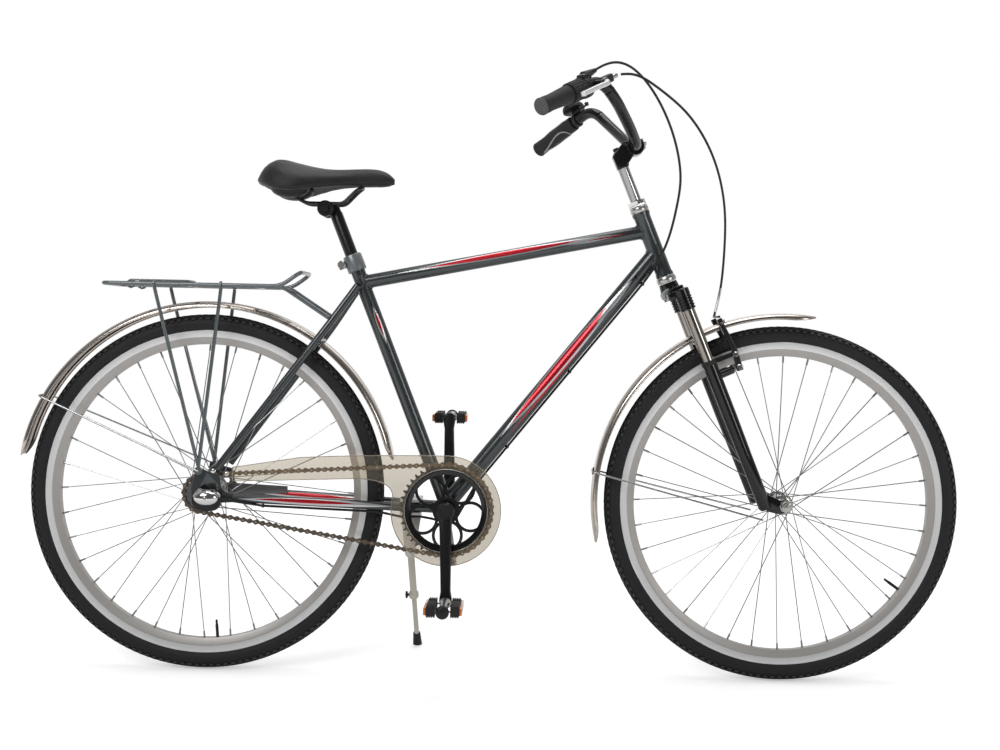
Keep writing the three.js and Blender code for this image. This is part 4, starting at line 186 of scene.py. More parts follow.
# Profiles of the turned pieces, as radius and place along the axis, and outlines of the plates, by piece
SHAPES = {
    "seat_collar_bolt": [
        (0, -16.5), (6, -16.5), (8.2, -14.5), (8.2, -9.5), (3, -8), (3, 8), (6.4, 9), (6.4, 13), (0, 15),
    ],
    "fork_crown_step": [(-9, 44), (-9, -44), (22, -44), (22, 44)],
    "brake_pivot_bolt": [(0, 9), (2.4, 9), (2.6, 7.5), (5.2, 7.5), (5.6, 6.6), (5.6, 5.4), (0, 5.4)],
    "brake_wire_bolt": [(0, 8), (3.4, 8), (3.8, 7), (3.8, 5), (0, 5)],
    "brake_pad_nut": [(0, -8.5), (4, -8.5), (4.5, -7.5), (4.5, -5), (3, -4.6), (3, 12), (0, 12)],
    "stem_quill": [(0, -560), (11.1, -560), (11.1, -728), (12.5, -731), (0, -731)],
    "stem_cap": [(0, -772), (5, -772), (6.4, -771), (6.6, -766), (0, -766)],
    "stem_bolt": [(0, 3), (2.2, 3), (2.2, 5), (4, 5), (4.4, 4), (4.4, 0), (0, 0)],
    "shifter_body": [(11.3, 0.2), (19, 0.2), (21, 1.8), (21, 13), (19, 15.8), (11.3, 15.8)],
    "lever_body": [(11.4, -6), (11.4, 6), (36, 6), (36, -6)],
    "lever_adjuster": [
        (0, 29), (3.2, 29), (5, 31), (5, 38), (4.2, 40), (4.2, 50), (4.8, 51), (4.8, 56), (3.6, 57.8),
        (0, 57.8),
    ],
    "bell_cup": [
        (0, -23.2), (22, -23.2), (24, -24.5), (24, -29), (22.8, -33), (19.5, -37), (13, -39.6), (6, -40.4),
        (0, -40.5),
    ],
    "seatpost_tube": [
        (0, -395), (11.5, -395), (12.7, -396.5), (12.7, -620), (11.2, -624), (10.9, -639), (0, -640),
    ],
    "chain_guard_lip": [(80, -56.9), (83.5, -56.9), (84, -56), (83.5, -54.6), (80, -54.6), (79.6, -55.8)],
    "chain_guard_screw": [(0, -2), (2.4, -2), (4, -1.2), (4.2, 0.4), (4.2, 6), (0, 6)],
    "gear_cover_dome": [
        (0, -92), (5, -91.5), (9.5, -89.6), (13.4, -86), (16, -81), (17.2, -75), (17.6, -69), (17, -67.2),
        (0, -67.2),
    ],
    "gear_cover_base": [
        (-13, 349), (-12, 334), (-2, 324), (16, 320.5), (34, 323), (42, 332), (43, 347), (34, 352),
    ],
    "gear_cover_screw": [(0, -92.5), (2.6, -92.5), (3.4, -92), (3.6, -90), (0, -90)],
    "dropout_bolt": [(0, -66), (3, -66), (4.4, -65), (4.6, -62), (0, -62)],
    "stand_upper_tube": [
        (0, 2), (5.6, 2), (6.6, 0), (6.9, 12), (6.9, 108), (9.6, 110.4), (9.9, 112), (9.9, 120), (9, 122),
        (5.3, 122), (5.3, 100),
    ],
    "stand_screw": [(0, 0), (3, 0), (3, 3.4), (6.8, 3.6), (7.4, 4.4), (7.4, 7), (6.8, 7.8), (0, 7.8)],
}

# The same for pieces that are alike at both ends, as half of the profile
EVEN_SHAPES = {
    "fork_crown_cap": [(0, 24), (9, 24), (11.5, 22), (12, 19)],
    "stem_clamp": [(11.3, 20), (15.5, 20), (17.3, 18)],
    "lever_clamp_band": [(11.3, 5.4), (14, 5.4), (15, 4.4)],
    "lever_pin": [(0, 6.6), (3, 6.6), (3.4, 6)],
    "bell_clamp_band": [(11.3, 4.4), (13.8, 4.4), (14.5, 3.6)],
    "seatpost_head": [(4.6, 13.6), (11, 13.6), (13, 12)],
    "saddle_clamp_bolt": [(0, 33.8), (6, 33.8), (7.6, 32.4), (7.6, 28.4), (3.9, 28)],
    "pedal_cage_rod": [(-18, 1.6), (18, 1.6)],
    "carrier_leg_loop": [(4.4, 2.2), (7, 2.2), (7.6, 1.6)],
    "stand_head": [(4.3, 9.8), (9, 9.8), (9.8, 9)],
    "cable_clip": [(2.5, 2.6), (3.3, 2.6), (3.6, 2)],
}

# Camera, in the upright bicycle's frame
CAMERA = {"at": (630.95, -2720, 682.54), "roll": radians(1.2118), "lens": 49.434, "shift": (-0.03, -0.045)}


def at(x, y, z):
    return Vector((x, y, z)) * MM


def turn_y(angle):
    return Matrix.Rotation(angle, 4, "Y")


def placed(point):
    return Matrix.Translation(at(*point))


Y_TO_Z = Matrix.Rotation(-pi / 2, 4, "X")
Y_TO_X = Matrix.Rotation(-pi / 2, 4, "Z")
ABOUT = Matrix.Rotation(pi, 4, "Z")
BIKE = placed(ORIGIN) @ Matrix.Rotation(-LEAN, 4, "X")
STEER = BIKE @ placed(STEERING_FOOT) @ turn_y(HEAD_ANGLE - pi / 2)
SEAT = BIKE @ placed(BRACKET) @ turn_y(SEAT_ANGLE - pi / 2)
CRANK = BIKE @ placed(BRACKET) @ turn_y(-CRANK_TURN)
WHEELS = {"rear": BIKE @ placed(REAR_AXLE), "front": BIKE @ placed(FRONT_AXLE)}


def in_bike(matrix, point):
    """A point of another frame in the upright bicycle's frame, in millimetres."""
    return (BIKE.inverted() @ matrix @ at(*point)) / MM


def in_steering(point):
    return (STEER.inverted() @ BIKE @ at(*point)) / MM


def deselect():
    for obj in bpy.context.selected_objects:
        obj.select_set(False)


def activate(obj):
    deselect()
    obj.select_set(True)
    bpy.context.view_layer.objects.active = obj


def trace(name, points, closed=False):
    """Draws an edge line through points given in millimetres and stays in edit mode."""
    deselect()
    bpy.ops.mesh.primitive_plane_add(size=MM)
    obj = bpy.context.object
    obj.name = obj.data.name = name
    bpy.ops.object.mode_set(mode="EDIT")
    bpy.ops.mesh.select_all(action="SELECT")
    bpy.ops.mesh.merge(type="CENTER")
    path = [at(*point) for point in points]
    if closed:
        path.append(path[0])
    bpy.ops.transform.translate(value=path[0])
    for before, after in zip(path, path[1:]):
        bpy.ops.mesh.extrude_region_move(TRANSFORM_OT_translate={"value": after - before})
    bpy.ops.mesh.select_all(action="SELECT")
    if closed:
        bpy.ops.mesh.remove_doubles(threshold=MM / 100)
    return obj


def close_mesh():
    bpy.ops.mesh.select_all(action="SELECT")
    bpy.ops.mesh.remove_doubles(threshold=MM / 100)
    bpy.ops.mesh.normals_make_consistent(inside=False)
    bpy.ops.object.mode_set(mode="OBJECT")


def use_modifier(obj, kind, **settings):
    activate(obj)
    modifier = obj.modifiers.new(kind.title(), kind)
    for key, value in settings.items():
        setattr(modifier, key, value)
    bpy.ops.object.modifier_apply(modifier=modifier.name)


def soften_edges(obj, width, segments):
    limit = radians(40)
    use_modifier(obj, "BEVEL", width=width * MM, segments=segments, limit_method="ANGLE", angle_limit=limit)


def smooth(obj, angle=radians(38)):
    activate(obj)
    bpy.ops.object.shade_smooth_by_angle(angle=angle)
    return obj


def turned(name, profile, steps=48, closed=True):
    """A profile of (radius, place along Y) points, spun about Y. One that starts on the axis stays open."""
    obj = trace(name, [(0, place, radius) for radius, place in profile], closed and profile[0][0] > 0)
    bpy.ops.mesh.spin(steps=steps, angle=2 * pi, center=(0, 0, 0), axis=(0, 1, 0))
    close_mesh()
    return smooth(obj)


def mirrored(half):
    """A profile from half of it, which starts at the end of the piece."""
    return [*[(radius, -place) for radius, place in half], *reversed(half)]


def turned_piece(name, steps=48):
    """A turned piece whose profile is in a table."""
    profile = mirrored(EVEN_SHAPES[name]) if name in EVEN_SHAPES else SHAPES[name]
    return turned(name, profile, steps)


def along_z(obj):
    """Turns a spun piece's axis to Z, so that what lay at -Y points up."""
    obj.data.transform(Y_TO_Z)
    return obj


def shifted(obj, point):
    obj.data.transform(placed(point))
    return obj


def wire(name, points, radius, sides=3, cyclic=False):
    """A round rod along points, drawn as an edge line, made a curve with a bevel, and made a mesh."""
    obj = trace(name, points, cyclic)
    bpy.ops.object.mode_set(mode="OBJECT")
    activate(obj)
    bpy.ops.object.convert(target="CURVE")
    curve = bpy.context.object.data
    curve.bevel_depth = radius * MM
    curve.bevel_resolution = sides
    curve.use_fill_caps = not cyclic
    bpy.ops.object.convert(target="MESH")
    obj = bpy.context.object
    bpy.ops.object.mode_set(mode="EDIT")
    close_mesh()
    return smooth(obj, radians(60))


def slab(name, outline, low, high, bevel=1.0):
    """A plate whose outline of (x, z) points is extruded along Y, with rounded edges."""
    obj = trace(name, [(x, low, z) for x, z in outline], closed=True)
    bpy.ops.mesh.edge_face_add()
    bpy.ops.mesh.extrude_region_move(TRANSFORM_OT_translate={"value": at(0, high - low, 0)})
    close_mesh()
    if bevel:
        soften_edges(obj, bevel, 3)
    return smooth(obj)


def block(name, low, high, bevel=1.0):
    outline = [(low[0], low[2]), (high[0], low[2]), (high[0], high[2]), (low[0], high[2])]
    return slab(name, outline, low[1], high[1], bevel)


def joined(name, *pieces):
    activate(pieces[0])
    for piece in pieces:
        piece.select_set(True)
    if len(pieces) > 1:
        bpy.ops.object.join()
    obj = bpy.context.object
    obj.name = obj.data.name = name
    return obj


def rounded(corners, reaches, steps=8):
    """Corners joined by straight lines, each inner corner rounded over its reach."""
    points = [Vector(corners[0])]
    for i in range(1, len(corners) - 1):
        corner = Vector(corners[i])
        reach = reaches[i - 1] if isinstance(reaches, list) else reaches
        start = corner + (Vector(corners[i - 1]) - corner).normalized() * reach
        end = corner + (Vector(corners[i + 1]) - corner).normalized() * reach
        for k in range(steps + 1):
            share = k / steps
            points.append(start.lerp(corner, share).lerp(corner.lerp(end, share), share))
    points.append(Vector(corners[-1]))
    return points


def flowing(points, steps=6, eased=0):
    """A smooth route through points, its corners eased a number of times."""
    path = [Vector(point) for point in points]
    path = [path[0] * 2 - path[1], *path, path[-1] * 2 - path[-2]]
    route = []
    for a, b, c, d in zip(path, path[1:], path[2:], path[3:]):
        for k in range(steps):
            t = k / steps
            square = 2 * a - 5 * b + 4 * c - d
            cube = 3 * b - a - 3 * c + d
            route.append(0.5 * ((2 * b) + (c - a) * t + square * t**2 + cube * t**3))
    route.append(path[-2])
    for _ in range(eased):
        route = [route[0], *[(a + b * 2 + c) / 4 for a, b, c in zip(route, route[1:], route[2:])], route[-1]]
    return route


def mirror_y(points):
    return [(x, -y, z) for x, y, z in points]


# Materials
def node_group(name, inputs, outputs):
    """A shader node group with named float, colour or vector inputs and outputs."""
    kinds = {"value": "NodeSocketFloat", "color": "NodeSocketColor", "vector": "NodeSocketVector"}
    group = bpy.data.node_groups.new(name, "ShaderNodeTree")
    for label, kind, default in inputs:
        socket = group.interface.new_socket(label, in_out="INPUT", socket_type=kinds[kind])
        if default is not None:
            socket.default_value = default
    for label, kind in outputs:
        group.interface.new_socket(label, in_out="OUTPUT", socket_type=kinds[kind])
    return group, group.nodes.new("NodeGroupInput").outputs, group.nodes.new("NodeGroupOutput").inputs


def add_node(tree, kind, links=None, **settings):
    """Adds a node, sets its values and inputs, and links the sockets given."""
    node = tree.nodes.new(kind)
    for key, value in settings.items():
        setattr(node, key, value)
    for key, source in (links or {}).items():
        if isinstance(source, bpy.types.NodeSocket):
            tree.links.new(source, node.inputs[key])
        else:
            node.inputs[key].default_value = source
    return node


def math_node(tree, operation, a, b=0.0, clamp=False):
    return add_node(tree, "ShaderNodeMath", {0: a, 1: b}, operation=operation, use_clamp=clamp).outputs[0]


def mixed_color(tree, share, a, b):
    return add_node(tree, "ShaderNodeMix", {0: share, 6: a, 7: b}, data_type="RGBA").outputs[2]


def mixed_value(tree, share, a, b):
    return add_node(tree, "ShaderNodeMix", {0: share, 2: a, 3: b}, data_type="FLOAT").outputs[0]


def dot_product(tree, a, b):
    return add_node(tree, "ShaderNodeVectorMath", {0: a, 1: b}, operation="DOT_PRODUCT").outputs["Value"]


def share_between(tree, value, ends):
    """How far a value has come from one end to the other, from 0 to 1."""
    links = {"Value": value, "From Min": ends[0], "From Max": ends[1]}
    return add_node(tree, "ShaderNodeMapRange", links).outputs[0]


def surface_group():
    """Soft colour variation, dust and small scratches, with their height and roughness."""
    inputs = [
        ("Color", "color", None), ("Dust Color", "color", (0.4, 0.37, 0.33, 1)), ("Scale", "value", 60.0),
        ("Variation", "value", 0.15),
        ("Dust", "value", 0.1), ("Roughness", "value", 0.4), ("Spread", "value", 0.1),
    ]
    group, given, out = node_group(
        "surface_wear", inputs, [("Color", "color"), ("Roughness", "value"), ("Height", "value")])
    place = add_node(group, "ShaderNodeTexCoord").outputs["Object"]
    coarse = add_node(group, "ShaderNodeTexNoise", {"Vector": place, "Scale": given["Scale"], "Detail": 5.0})
    fine_scale = math_node(group, "MULTIPLY", given["Scale"], 9.0)
    fine = add_node(group, "ShaderNodeTexNoise", {
        "Vector": place, "Scale": fine_scale, "Detail": 3.0, "Roughness": 0.7,
    })
    shade = math_node(group, "MULTIPLY", coarse.outputs["Fac"], given["Variation"])
    darker = add_node(group, "ShaderNodeHueSaturation", {"Color": given["Color"], "Value": 0.75}).outputs[0]
    mixed = mixed_color(group, shade, given["Color"], darker)
    spots = math_node(group, "SUBTRACT", fine.outputs["Fac"], 0.45, clamp=True)
    dusty = math_node(group, "MULTIPLY", spots, given["Dust"])
    final = mixed_color(group, dusty, mixed, given["Dust Color"])
    uneven = math_node(group, "SUBTRACT", fine.outputs["Fac"], 0.5)
    rough = math_node(group, "MULTIPLY", uneven, given["Spread"])
    summed = math_node(group, "ADD", rough, given["Roughness"], clamp=True)
    group.links.new(final, out["Color"])
    group.links.new(summed, out["Roughness"])
    group.links.new(fine.outputs["Fac"], out["Height"])
    return group


def stripe_group():
    """The mask of a long stripe that tapers to both ends, by place along a tube and across it."""
    inputs = [
        ("Along", "vector", None), ("Centre", "value", 0.0), ("Half Length", "value", 0.1),
        ("Up", "vector", None),
        ("Height", "value", 0.0), ("Half Width", "value", 0.005),
    ]
    group, given, out = node_group("tapered_stripe", inputs, [("Mask", "value")])
    place = add_node(group, "ShaderNodeTexCoord").outputs["Object"]
    along = dot_product(group, place, given["Along"])
    up = dot_product(group, place, given["Up"])
    from_centre = math_node(group, "SUBTRACT", along, given["Centre"])
    share = math_node(group, "DIVIDE", from_centre, given["Half Length"])
    taper = math_node(group, "SUBTRACT", 1.0, math_node(group, "MULTIPLY", share, share))
    width = math_node(group, "MULTIPLY", taper, given["Half Width"])
    away = math_node(group, "ABSOLUTE", math_node(group, "SUBTRACT", up, given["Height"]))
    group.links.new(math_node(group, "LESS_THAN", away, width), out["Mask"])
    return group


SURFACE = surface_group()
STRIPE = stripe_group()


def finish_material(
    name, color, rough, metal=0.0, coat=0.0, scale=60.0, vary=0.2, dust=0.1, spread=0.12, bump=0.02,
    stripes=(), **shader
):
    material = bpy.data.materials.new(name)
    material.use_nodes = True
    tree = material.node_tree
    principled = tree.nodes["Principled BSDF"]
    wear = add_node(tree, "ShaderNodeGroup", node_tree=SURFACE)
    wear.inputs["Color"].default_value = (*color, 1)
    for label, value in {
        "Scale": scale, "Variation": vary, "Dust": dust, "Roughness": rough, "Spread": spread,
    }.items():
        wear.inputs[label].default_value = value
    shown = wear.outputs["Color"]
    for color, values in stripes:
        mask = add_node(tree, "ShaderNodeGroup", node_tree=STRIPE)
        for label, value in values.items():
            mask.inputs[label].default_value = value
        shown = mixed_color(tree, mask.outputs["Mask"], shown, (*color, 1))
    tree.links.new(shown, principled.inputs["Base Color"])
    tree.links.new(wear.outputs["Roughness"], principled.inputs["Roughness"])
    if bump:
        lifted = add_node(
            tree, "ShaderNodeBump", {"Height": wear.outputs["Height"], "Strength": bump, "Distance": MM})
        tree.links.new(lifted.outputs[0], principled.inputs["Normal"])
    principled.inputs["Metallic"].default_value = metal
    principled.inputs["Coat Weight"].default_value = coat
    for label, value in shader.items():
        principled.inputs[label.replace("_", " ")].default_value = value
    return material


FRAME_GRAPHITE = (0.072, 0.08, 0.084)
STRIPE_RED = (0.6, 0.02, 0.035)
STRIPE_SILVER = (0.62, 0.63, 0.64)
STAND_BEIGE = (0.6, 0.57, 0.5)
GUARD_SMOKE = (0.84, 0.78, 0.68)

# Stage, in metres: where the room's dark side ends, and where the floor fades into the room
ROOM_LIGHT = 0.5
DARK_SIDE = 0.1
DARK_EDGE = (-0.3, 0.35)
FLOOR_FADE = (1.3, 2.2)
FLOOR_LIFT = 0.45
FLOOR_WHITE = (0.92, 0.92, 0.92, 1)
FLOOR_SIZE = 40
FLOOR_DROP = 0.001
WHITE = (1, 1, 1, 1)
SENSOR_WIDTH = 36
VIEW_END = 50
LIT_POINT = (0, 0, 0.5)
LIGHTS = [
    ("key_light", (-1.8, -2.4, 3.0), 1.6, 48), ("fill_light", (2.8, -2.6, 1.8), 1.2, 20),
    ("top_light", (0.2, 0.4, 3.6), 2.2, 40), ("back_light", (0.5, 3.0, 2.0), 2.0, 10),
]

# Stripes on the tubes: share of the tube's length, half length, height, half width and tone
STRIPES = {
    "top_tube": [
        (0.5, 215, 5, 6, "pale"), (0.5, 160, 5.5, 4.4, "red"), (0.8, 64, 2, 4, "pale"),
        (0.86, 40, 1.5, 1.4, "red"),
    ],
    "down_tube": [
        (0.57, 200, 4, 10, "pale"), (0.57, 168, 5, 7.2, "red"), (0.46, 110, -6.5, 1.6, "red"),
        (0.8, 56, 2, 5, "pale"),
    ],
    "seat_tube": [(0.72, 40, 4, 5, "pale"), (0.73, 26, 4, 2.4, "red")],
    "chain_stay": [(0.62, 150, 0.5, 6.4, "pale"), (0.67, 100, 1.5, 3.6, "red")],
}

# Finishes whose colours are settings
LACQUER = {"rough": 0.3, "metal": 0.8, "coat": 0.5, "scale": 40, "vary": 0.2, "dust": 0.03}
STAND_PAINT = {"rough": 0.42, "coat": 0.2, "scale": 70, "dust": 0.15, "bump": 0.05}
CLEAR_GUARD = {
    "rough": 0.04, "scale": 25, "vary": 0.12, "dust": 0.0, "spread": 0.03, "bump": 0.0,
    "Transmission_Weight": 0.96, "IOR": 1.12,
}

# Finishes that no setting changes
PLAIN_FINISHES = {
    "weld": dict(
        name="frame_weld", color=(0.075, 0.09, 0.09), rough=0.35, metal=0.5, coat=0.4, scale=700, vary=0.3,
        bump=0.6),
    "gloss_black": dict(
        name="gloss_black_paint", color=(0.006, 0.006, 0.007), rough=0.14, scale=30, dust=0.02, spread=0.03,
        bump=0.0),
    "satin_black": dict(
        name="satin_black_paint", color=(0.008, 0.008, 0.009), rough=0.28, dust=0.03, spread=0.06),
    "plastic": dict(
        name="black_plastic", color=(0.009, 0.009, 0.01), rough=0.42, scale=120, dust=0.04, bump=0.1,
        Specular_IOR_Level=0.4),
    "rubber": dict(
        name="grip_rubber", color=(0.021, 0.02, 0.021), rough=0.62, scale=200, dust=0.05, bump=0.3,
        Specular_IOR_Level=0.35),
    "tyre": dict(
        name="tyre_rubber", color=(0.012, 0.012, 0.014), rough=0.6, scale=90, dust=0.08, bump=0.3,
        Specular_IOR_Level=0.35),
    # Lighter rubber for the tyres' raised blocks: partly worn rubber, partly a painted highlight on the
    # blocks' tops.
    "tread": dict(
        name="tread_rubber", color=(0.034, 0.034, 0.035), rough=0.66, scale=90, dust=0.2, bump=0.4),
    "cap_grey": dict(name="cap_grey", color=(0.085, 0.08, 0.08), rough=0.6, scale=150, bump=0.2),
    "grey": dict(name="grey_plastic", color=(0.32, 0.34, 0.36), rough=0.5, scale=90, bump=0.2),
    "chrome": dict(
        name="warm_chrome", color=(0.62, 0.56, 0.51), rough=0.2, metal=1.0, scale=14, vary=0.25, dust=0.05,
        spread=0.04, bump=0.0),
    "bright": dict(
        name="bright_chrome", color=(0.78, 0.77, 0.76), rough=0.09, metal=1.0, scale=22, dust=0.05,
        spread=0.1, bump=0.0),
    "steel": dict(
        name="satin_steel", color=(0.56, 0.55, 0.53), rough=0.3, metal=1.0, scale=80, vary=0.25, bump=0.05),
    "alloy": dict(
        name="rim_alloy", color=(0.88, 0.88, 0.88), rough=0.34, metal=0.5, vary=0.12, dust=0.06, bump=0.03),
    "rim_grey": dict(name="rim_grey", color=(0.48, 0.46, 0.44), rough=0.42, metal=0.4, bump=0.05),
    "carrier": dict(
        name="carrier_paint", color=(0.14, 0.16, 0.17), rough=0.3, metal=0.4, coat=0.5, scale=50, dust=0.06,
        bump=0.03),
    "dark_steel": dict(
        name="dark_steel", color=(0.16, 0.16, 0.165), rough=0.4, metal=0.8, scale=80, bump=0.05),
    "collar": dict(
        name="collar_paint", color=(0.22, 0.24, 0.25), rough=0.34, metal=0.5, coat=0.4, dust=0.06, bump=0.03,
    ),
    "guard_edge": dict(
        name="guard_edge", color=(0.34, 0.31, 0.27), rough=0.25, scale=40, dust=0.05, bump=0.0),
    "stanchion": dict(
        name="stanchion_chrome", color=(0.36, 0.33, 0.3), rough=0.14, metal=1.0, scale=22, dust=0.04,
        spread=0.03, bump=0.0),
    "quill": dict(
        name="quill_chrome", color=(0.46, 0.46, 0.47), rough=0.16, metal=1.0, scale=22, dust=0.04,
        spread=0.03, bump=0.0),
    "spoke": dict(name="spoke_steel", color=(0.36, 0.36, 0.37), rough=0.3, metal=1.0, scale=200, bump=0.0),
    "chain": dict(
        name="chain_steel", color=(0.16, 0.125, 0.095), rough=0.36, metal=0.8, scale=260, vary=0.6,
        dust=0.25, bump=0.2),
    "chain_pin": dict(
        name="chain_pin_steel", color=(0.4, 0.36, 0.3), rough=0.3, metal=0.9, scale=260, vary=0.3, bump=0.1),
    "amber": dict(
        name="amber_reflector", color=(0.75, 0.2, 0.02), rough=0.12, coat=1.0, scale=400, vary=0.4, bump=0.5,
    ),
    "saddle": dict(
        name="saddle_cover", color=(0.009, 0.0085, 0.01), rough=0.36, scale=420, dust=0.03, bump=0.4,
        Specular_IOR_Level=0.4),
}


def tube_stripes(start, end, stripes):
    """A tube's stripes as colours and values for the mask, from rows of STRIPES with colours for tones."""
    a, b = BIKE @ at(*start), BIKE @ at(*end)
    way = (b - a).normalized()
    up = BIKE.to_3x3() @ Vector((0, 0, 1))
    up = (up - way * up.dot(way)).normalized()
    made = []
    for share, half_length, height, half_width, color in stripes:
        middle = a.lerp(b, share)
        made.append((color, {
            "Along": way, "Centre": middle.dot(way), "Half Length": half_length * MM, "Up": up,
            "Height": middle.dot(up) + height * MM, "Half Width": half_width * MM,
        }))
    return made


def seat_point(station):
    return in_bike(SEAT, (0, 0, station))


def head_point(station):
    return in_bike(STEER, (0, 0, station))


def bicycle_finishes():
    """Every finish of the bicycle, by name."""
    paint = setting("frame_color")
    colors = {"red": setting("stripe_color"), "pale": setting("pale_stripe_color")}
    stay_tip = mirror_y([CHAIN_STAY["tip"]])[0]
    lines = {
        "top_tube": TUBES["top_tube"][:2],
        "down_tube": TUBES["down_tube"][:2],
        "seat_tube": (seat_point(0), seat_point(SEAT_TUBE["length"])),
        "chain_stay": ((BRACKET[0], -CHAIN_STAY["out"], BRACKET[2]), stay_tip),
    }
    made = {"frame": finish_material("frame_green", paint, **LACQUER)}
    for tube, (start, end) in lines.items():
        stripes = tube_stripes(start, end, [(*sizes, colors[tone]) for *sizes, tone in STRIPES[tube]])
        made[tube] = finish_material(f"frame_green_{tube}", paint, stripes=stripes, **LACQUER)
    made["beige"] = finish_material("stand_paint", setting("stand_color"), **STAND_PAINT)
    made["smoked"] = finish_material("smoked_guard", setting("guard_color"), **CLEAR_GUARD)
    for name, values in PLAIN_FINISHES.items():
        made[name] = finish_material(**values)
    return made


FINISHES = {}


def finished(obj, matrix, finish, body, nodes=()):
    """Puts a piece in its place, with its finish, its body and the nodes that it stands for."""
    obj.data.transform(matrix)
    obj.data.update()
    if finish:
        obj.data.materials.clear()
        obj.data.materials.append(FINISHES[finish])
    if body:
        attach(obj, body)
    if nodes:
        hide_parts(*nodes)
    return obj


# Wheels
def tyre(name, body):
    """A carcass whose tread faces are raised in staggered blocks, their tops lighter: partly worn rubber,
    partly a painted highlight.
    """
    centre, section, half = TYRE["centre"], TYRE["section"], TYRE["half"]
    reach = acos((RIM["edge"] + 0.4 - centre) / section)
    angles = [reach * i / TYRE["rings"] for i in range(-TYRE["rings"], TYRE["rings"] + 1)]
    profile = [(centre + section * cos(t), half * sin(t)) for t in angles]
    obj = turned(f"{name}_tyre_tread", profile, TYRE["steps"])
    activate(obj)
    bpy.ops.object.mode_set(mode="EDIT")
    bpy.ops.mesh.select_all(action="DESELECT")
    mesh = bmesh.from_edit_mesh(obj.data)
    step = 2 * pi / TYRE["steps"]
    for face in mesh.faces:
        middle = face.calc_center_median() / MM
        turn = int(atan2(middle.z, middle.x) // step)
        out = Vector((middle.x, middle.z)).length - centre
        band = int(abs(atan2(middle.y / half, out / section)) / radians(TYRE["band"]))
        raised = out > 0 and band < TYRE["bands"] and (turn + band) % 2 == 0
        face.select_set(raised)
    bmesh.update_edit_mesh(obj.data)
    bpy.ops.mesh.extrude_region_shrink_fatten(TRANSFORM_OT_shrink_fatten={"value": setting("tread_depth")})
    bpy.ops.object.mode_set(mode="OBJECT")
    # The raised blocks' tops take the lighter tread rubber: partly worn rubber, partly a painted highlight.
    obj.data.materials.append(FINISHES["tyre"])
    obj.data.materials.append(FINISHES["tread"])
    for face in obj.data.polygons:
        face.material_index = 1 if face.select else 0
    finished(smooth(obj, radians(30)), WHEELS[name], None, body, [f"{name}_tyre"])


def rim(name, body):
    edge, track, inner = RIM["edge"], RIM["track"], RIM["inner"]
    half, foot = RIM["half"], RIM["inner_half"]
    side = [
        (inner, foot), (inner + 4, foot + 2.2), (track - 3, half - 1), (track, half), (edge, half),
        (edge, half - 2), (edge - 3, half - 2.6),
    ]
    profile = [*side, *[(radius, -place) for radius, place in reversed(side)]]
    hoop = turned(f"{name}_rim_hoop", profile, 144)
    hoop.data.materials.append(FINISHES["alloy"])
    hoop.data.materials.append(FINISHES["rim_grey"])
    for face in hoop.data.polygons:
        if Vector((face.center.x, face.center.z)).length < track * MM:
            face.material_index = 1
    stem = along_z(turned(f"{name}_valve", [
        (0, VALVE["length"]), (2.2, VALVE["length"]), (2.4, VALVE["length"] - 9),
        (VALVE["radius"], VALVE["length"] - 10),
        (VALVE["radius"], -2), (0, -2),
    ], 16))
    stem.data.transform(placed((0, 0, inner)))
    stem.data.transform(turn_y(VALVE[name]))
    finished(hoop, WHEELS[name], None, body, [f"{name}_rim"])
    finished(stem, WHEELS[name], "plastic", body)


def spoke_copies(name, hub):
    """One spoke with its nipple, modelled once and copied into crossing pairs."""
    hole = hub["flange"] - SPOKE["inset"]
    lacing = 2 * pi * 2 * SPOKE["crossings"] / SPOKE["count"]
    end = RIM["inner"] - 0.4
    model = None
    copies = []
    for i in range(SPOKE["count"]):
        turn = 2 * pi * i / SPOKE["count"]
        side = 1 if i % 2 else -1
        leads = 1 if i % 4 < 2 else -1
        start = turn - leads * lacing
        foot = Vector((hole * sin(start), side * (hub["at"] + leads * hub["width"] / 2), hole * cos(start)))
        tip = Vector((end * sin(turn), side * SPOKE["rim_out"], end * cos(turn)))
        way = tip - foot
        if model is None:
            rod, nipple, length = SPOKE["radius"], SPOKE["nipple"], way.length
            model = along_z(turned(f"{name}_spokes", [
                (0, -2), (rod, -2), (rod, length - SPOKE["nipple_length"]),
                (nipple, length - SPOKE["nipple_length"] + 1), (nipple, length), (0, length),
            ], 6))
        turn_to = Vector((0, 0, -1)).rotation_difference(way).to_matrix().to_4x4()
        copy = model.copy()
        copy.data = model.data.copy()
        bpy.context.collection.objects.link(copy)
        copy.data.transform(placed(foot) @ turn_to)
        copies.append(copy)
    bpy.data.objects.remove(model)
    return joined(f"{name}_spokes", *copies)


def hub_shell(name):
    flange, spot, width, body, end, last = HUBS[name].values()
    near, far = spot - width / 2, spot + width / 2
    half = [
        (body, 0), (body, near - 5), (body + 3, near), (flange - 1, near), (flange, spot), (flange - 1, far),
        (end + 4, far), (end, far + 3), (end, last - 1), (end - 1.5, last), (5.6, last),
    ]
    profile = [(radius, -place) for radius, place in reversed(half[1:])] + half
    return turned(f"{name}_hub_shell", profile, 64, closed=False)


def wheel(name, body):
    tyre(name, body)
    rim(name, body)
    finished(hub_shell(name), WHEELS[name], "steel", body, [f"{name}_hub"])
    finished(spoke_copies(name, HUBS[name]), WHEELS[name], "spoke", body)


# Frame
def straight(name, start, end, radius, end_radius=None, steps=48):
    """A round tube between two points of the upright bicycle, with softened ends."""
    a, b = Vector(start), Vector(end)
    length = (b - a).length
    last = end_radius or radius
    obj = along_z(turned(name, [
        (0, 0), (radius - 0.6, 0), (radius, 0.6), (last, length - 0.6), (last - 0.6, length), (0, length),
    ], steps))
    turn_to = Vector((0, 0, -1)).rotation_difference(b - a).to_matrix().to_4x4()
    obj.data.transform(placed(a) @ turn_to)
    return obj


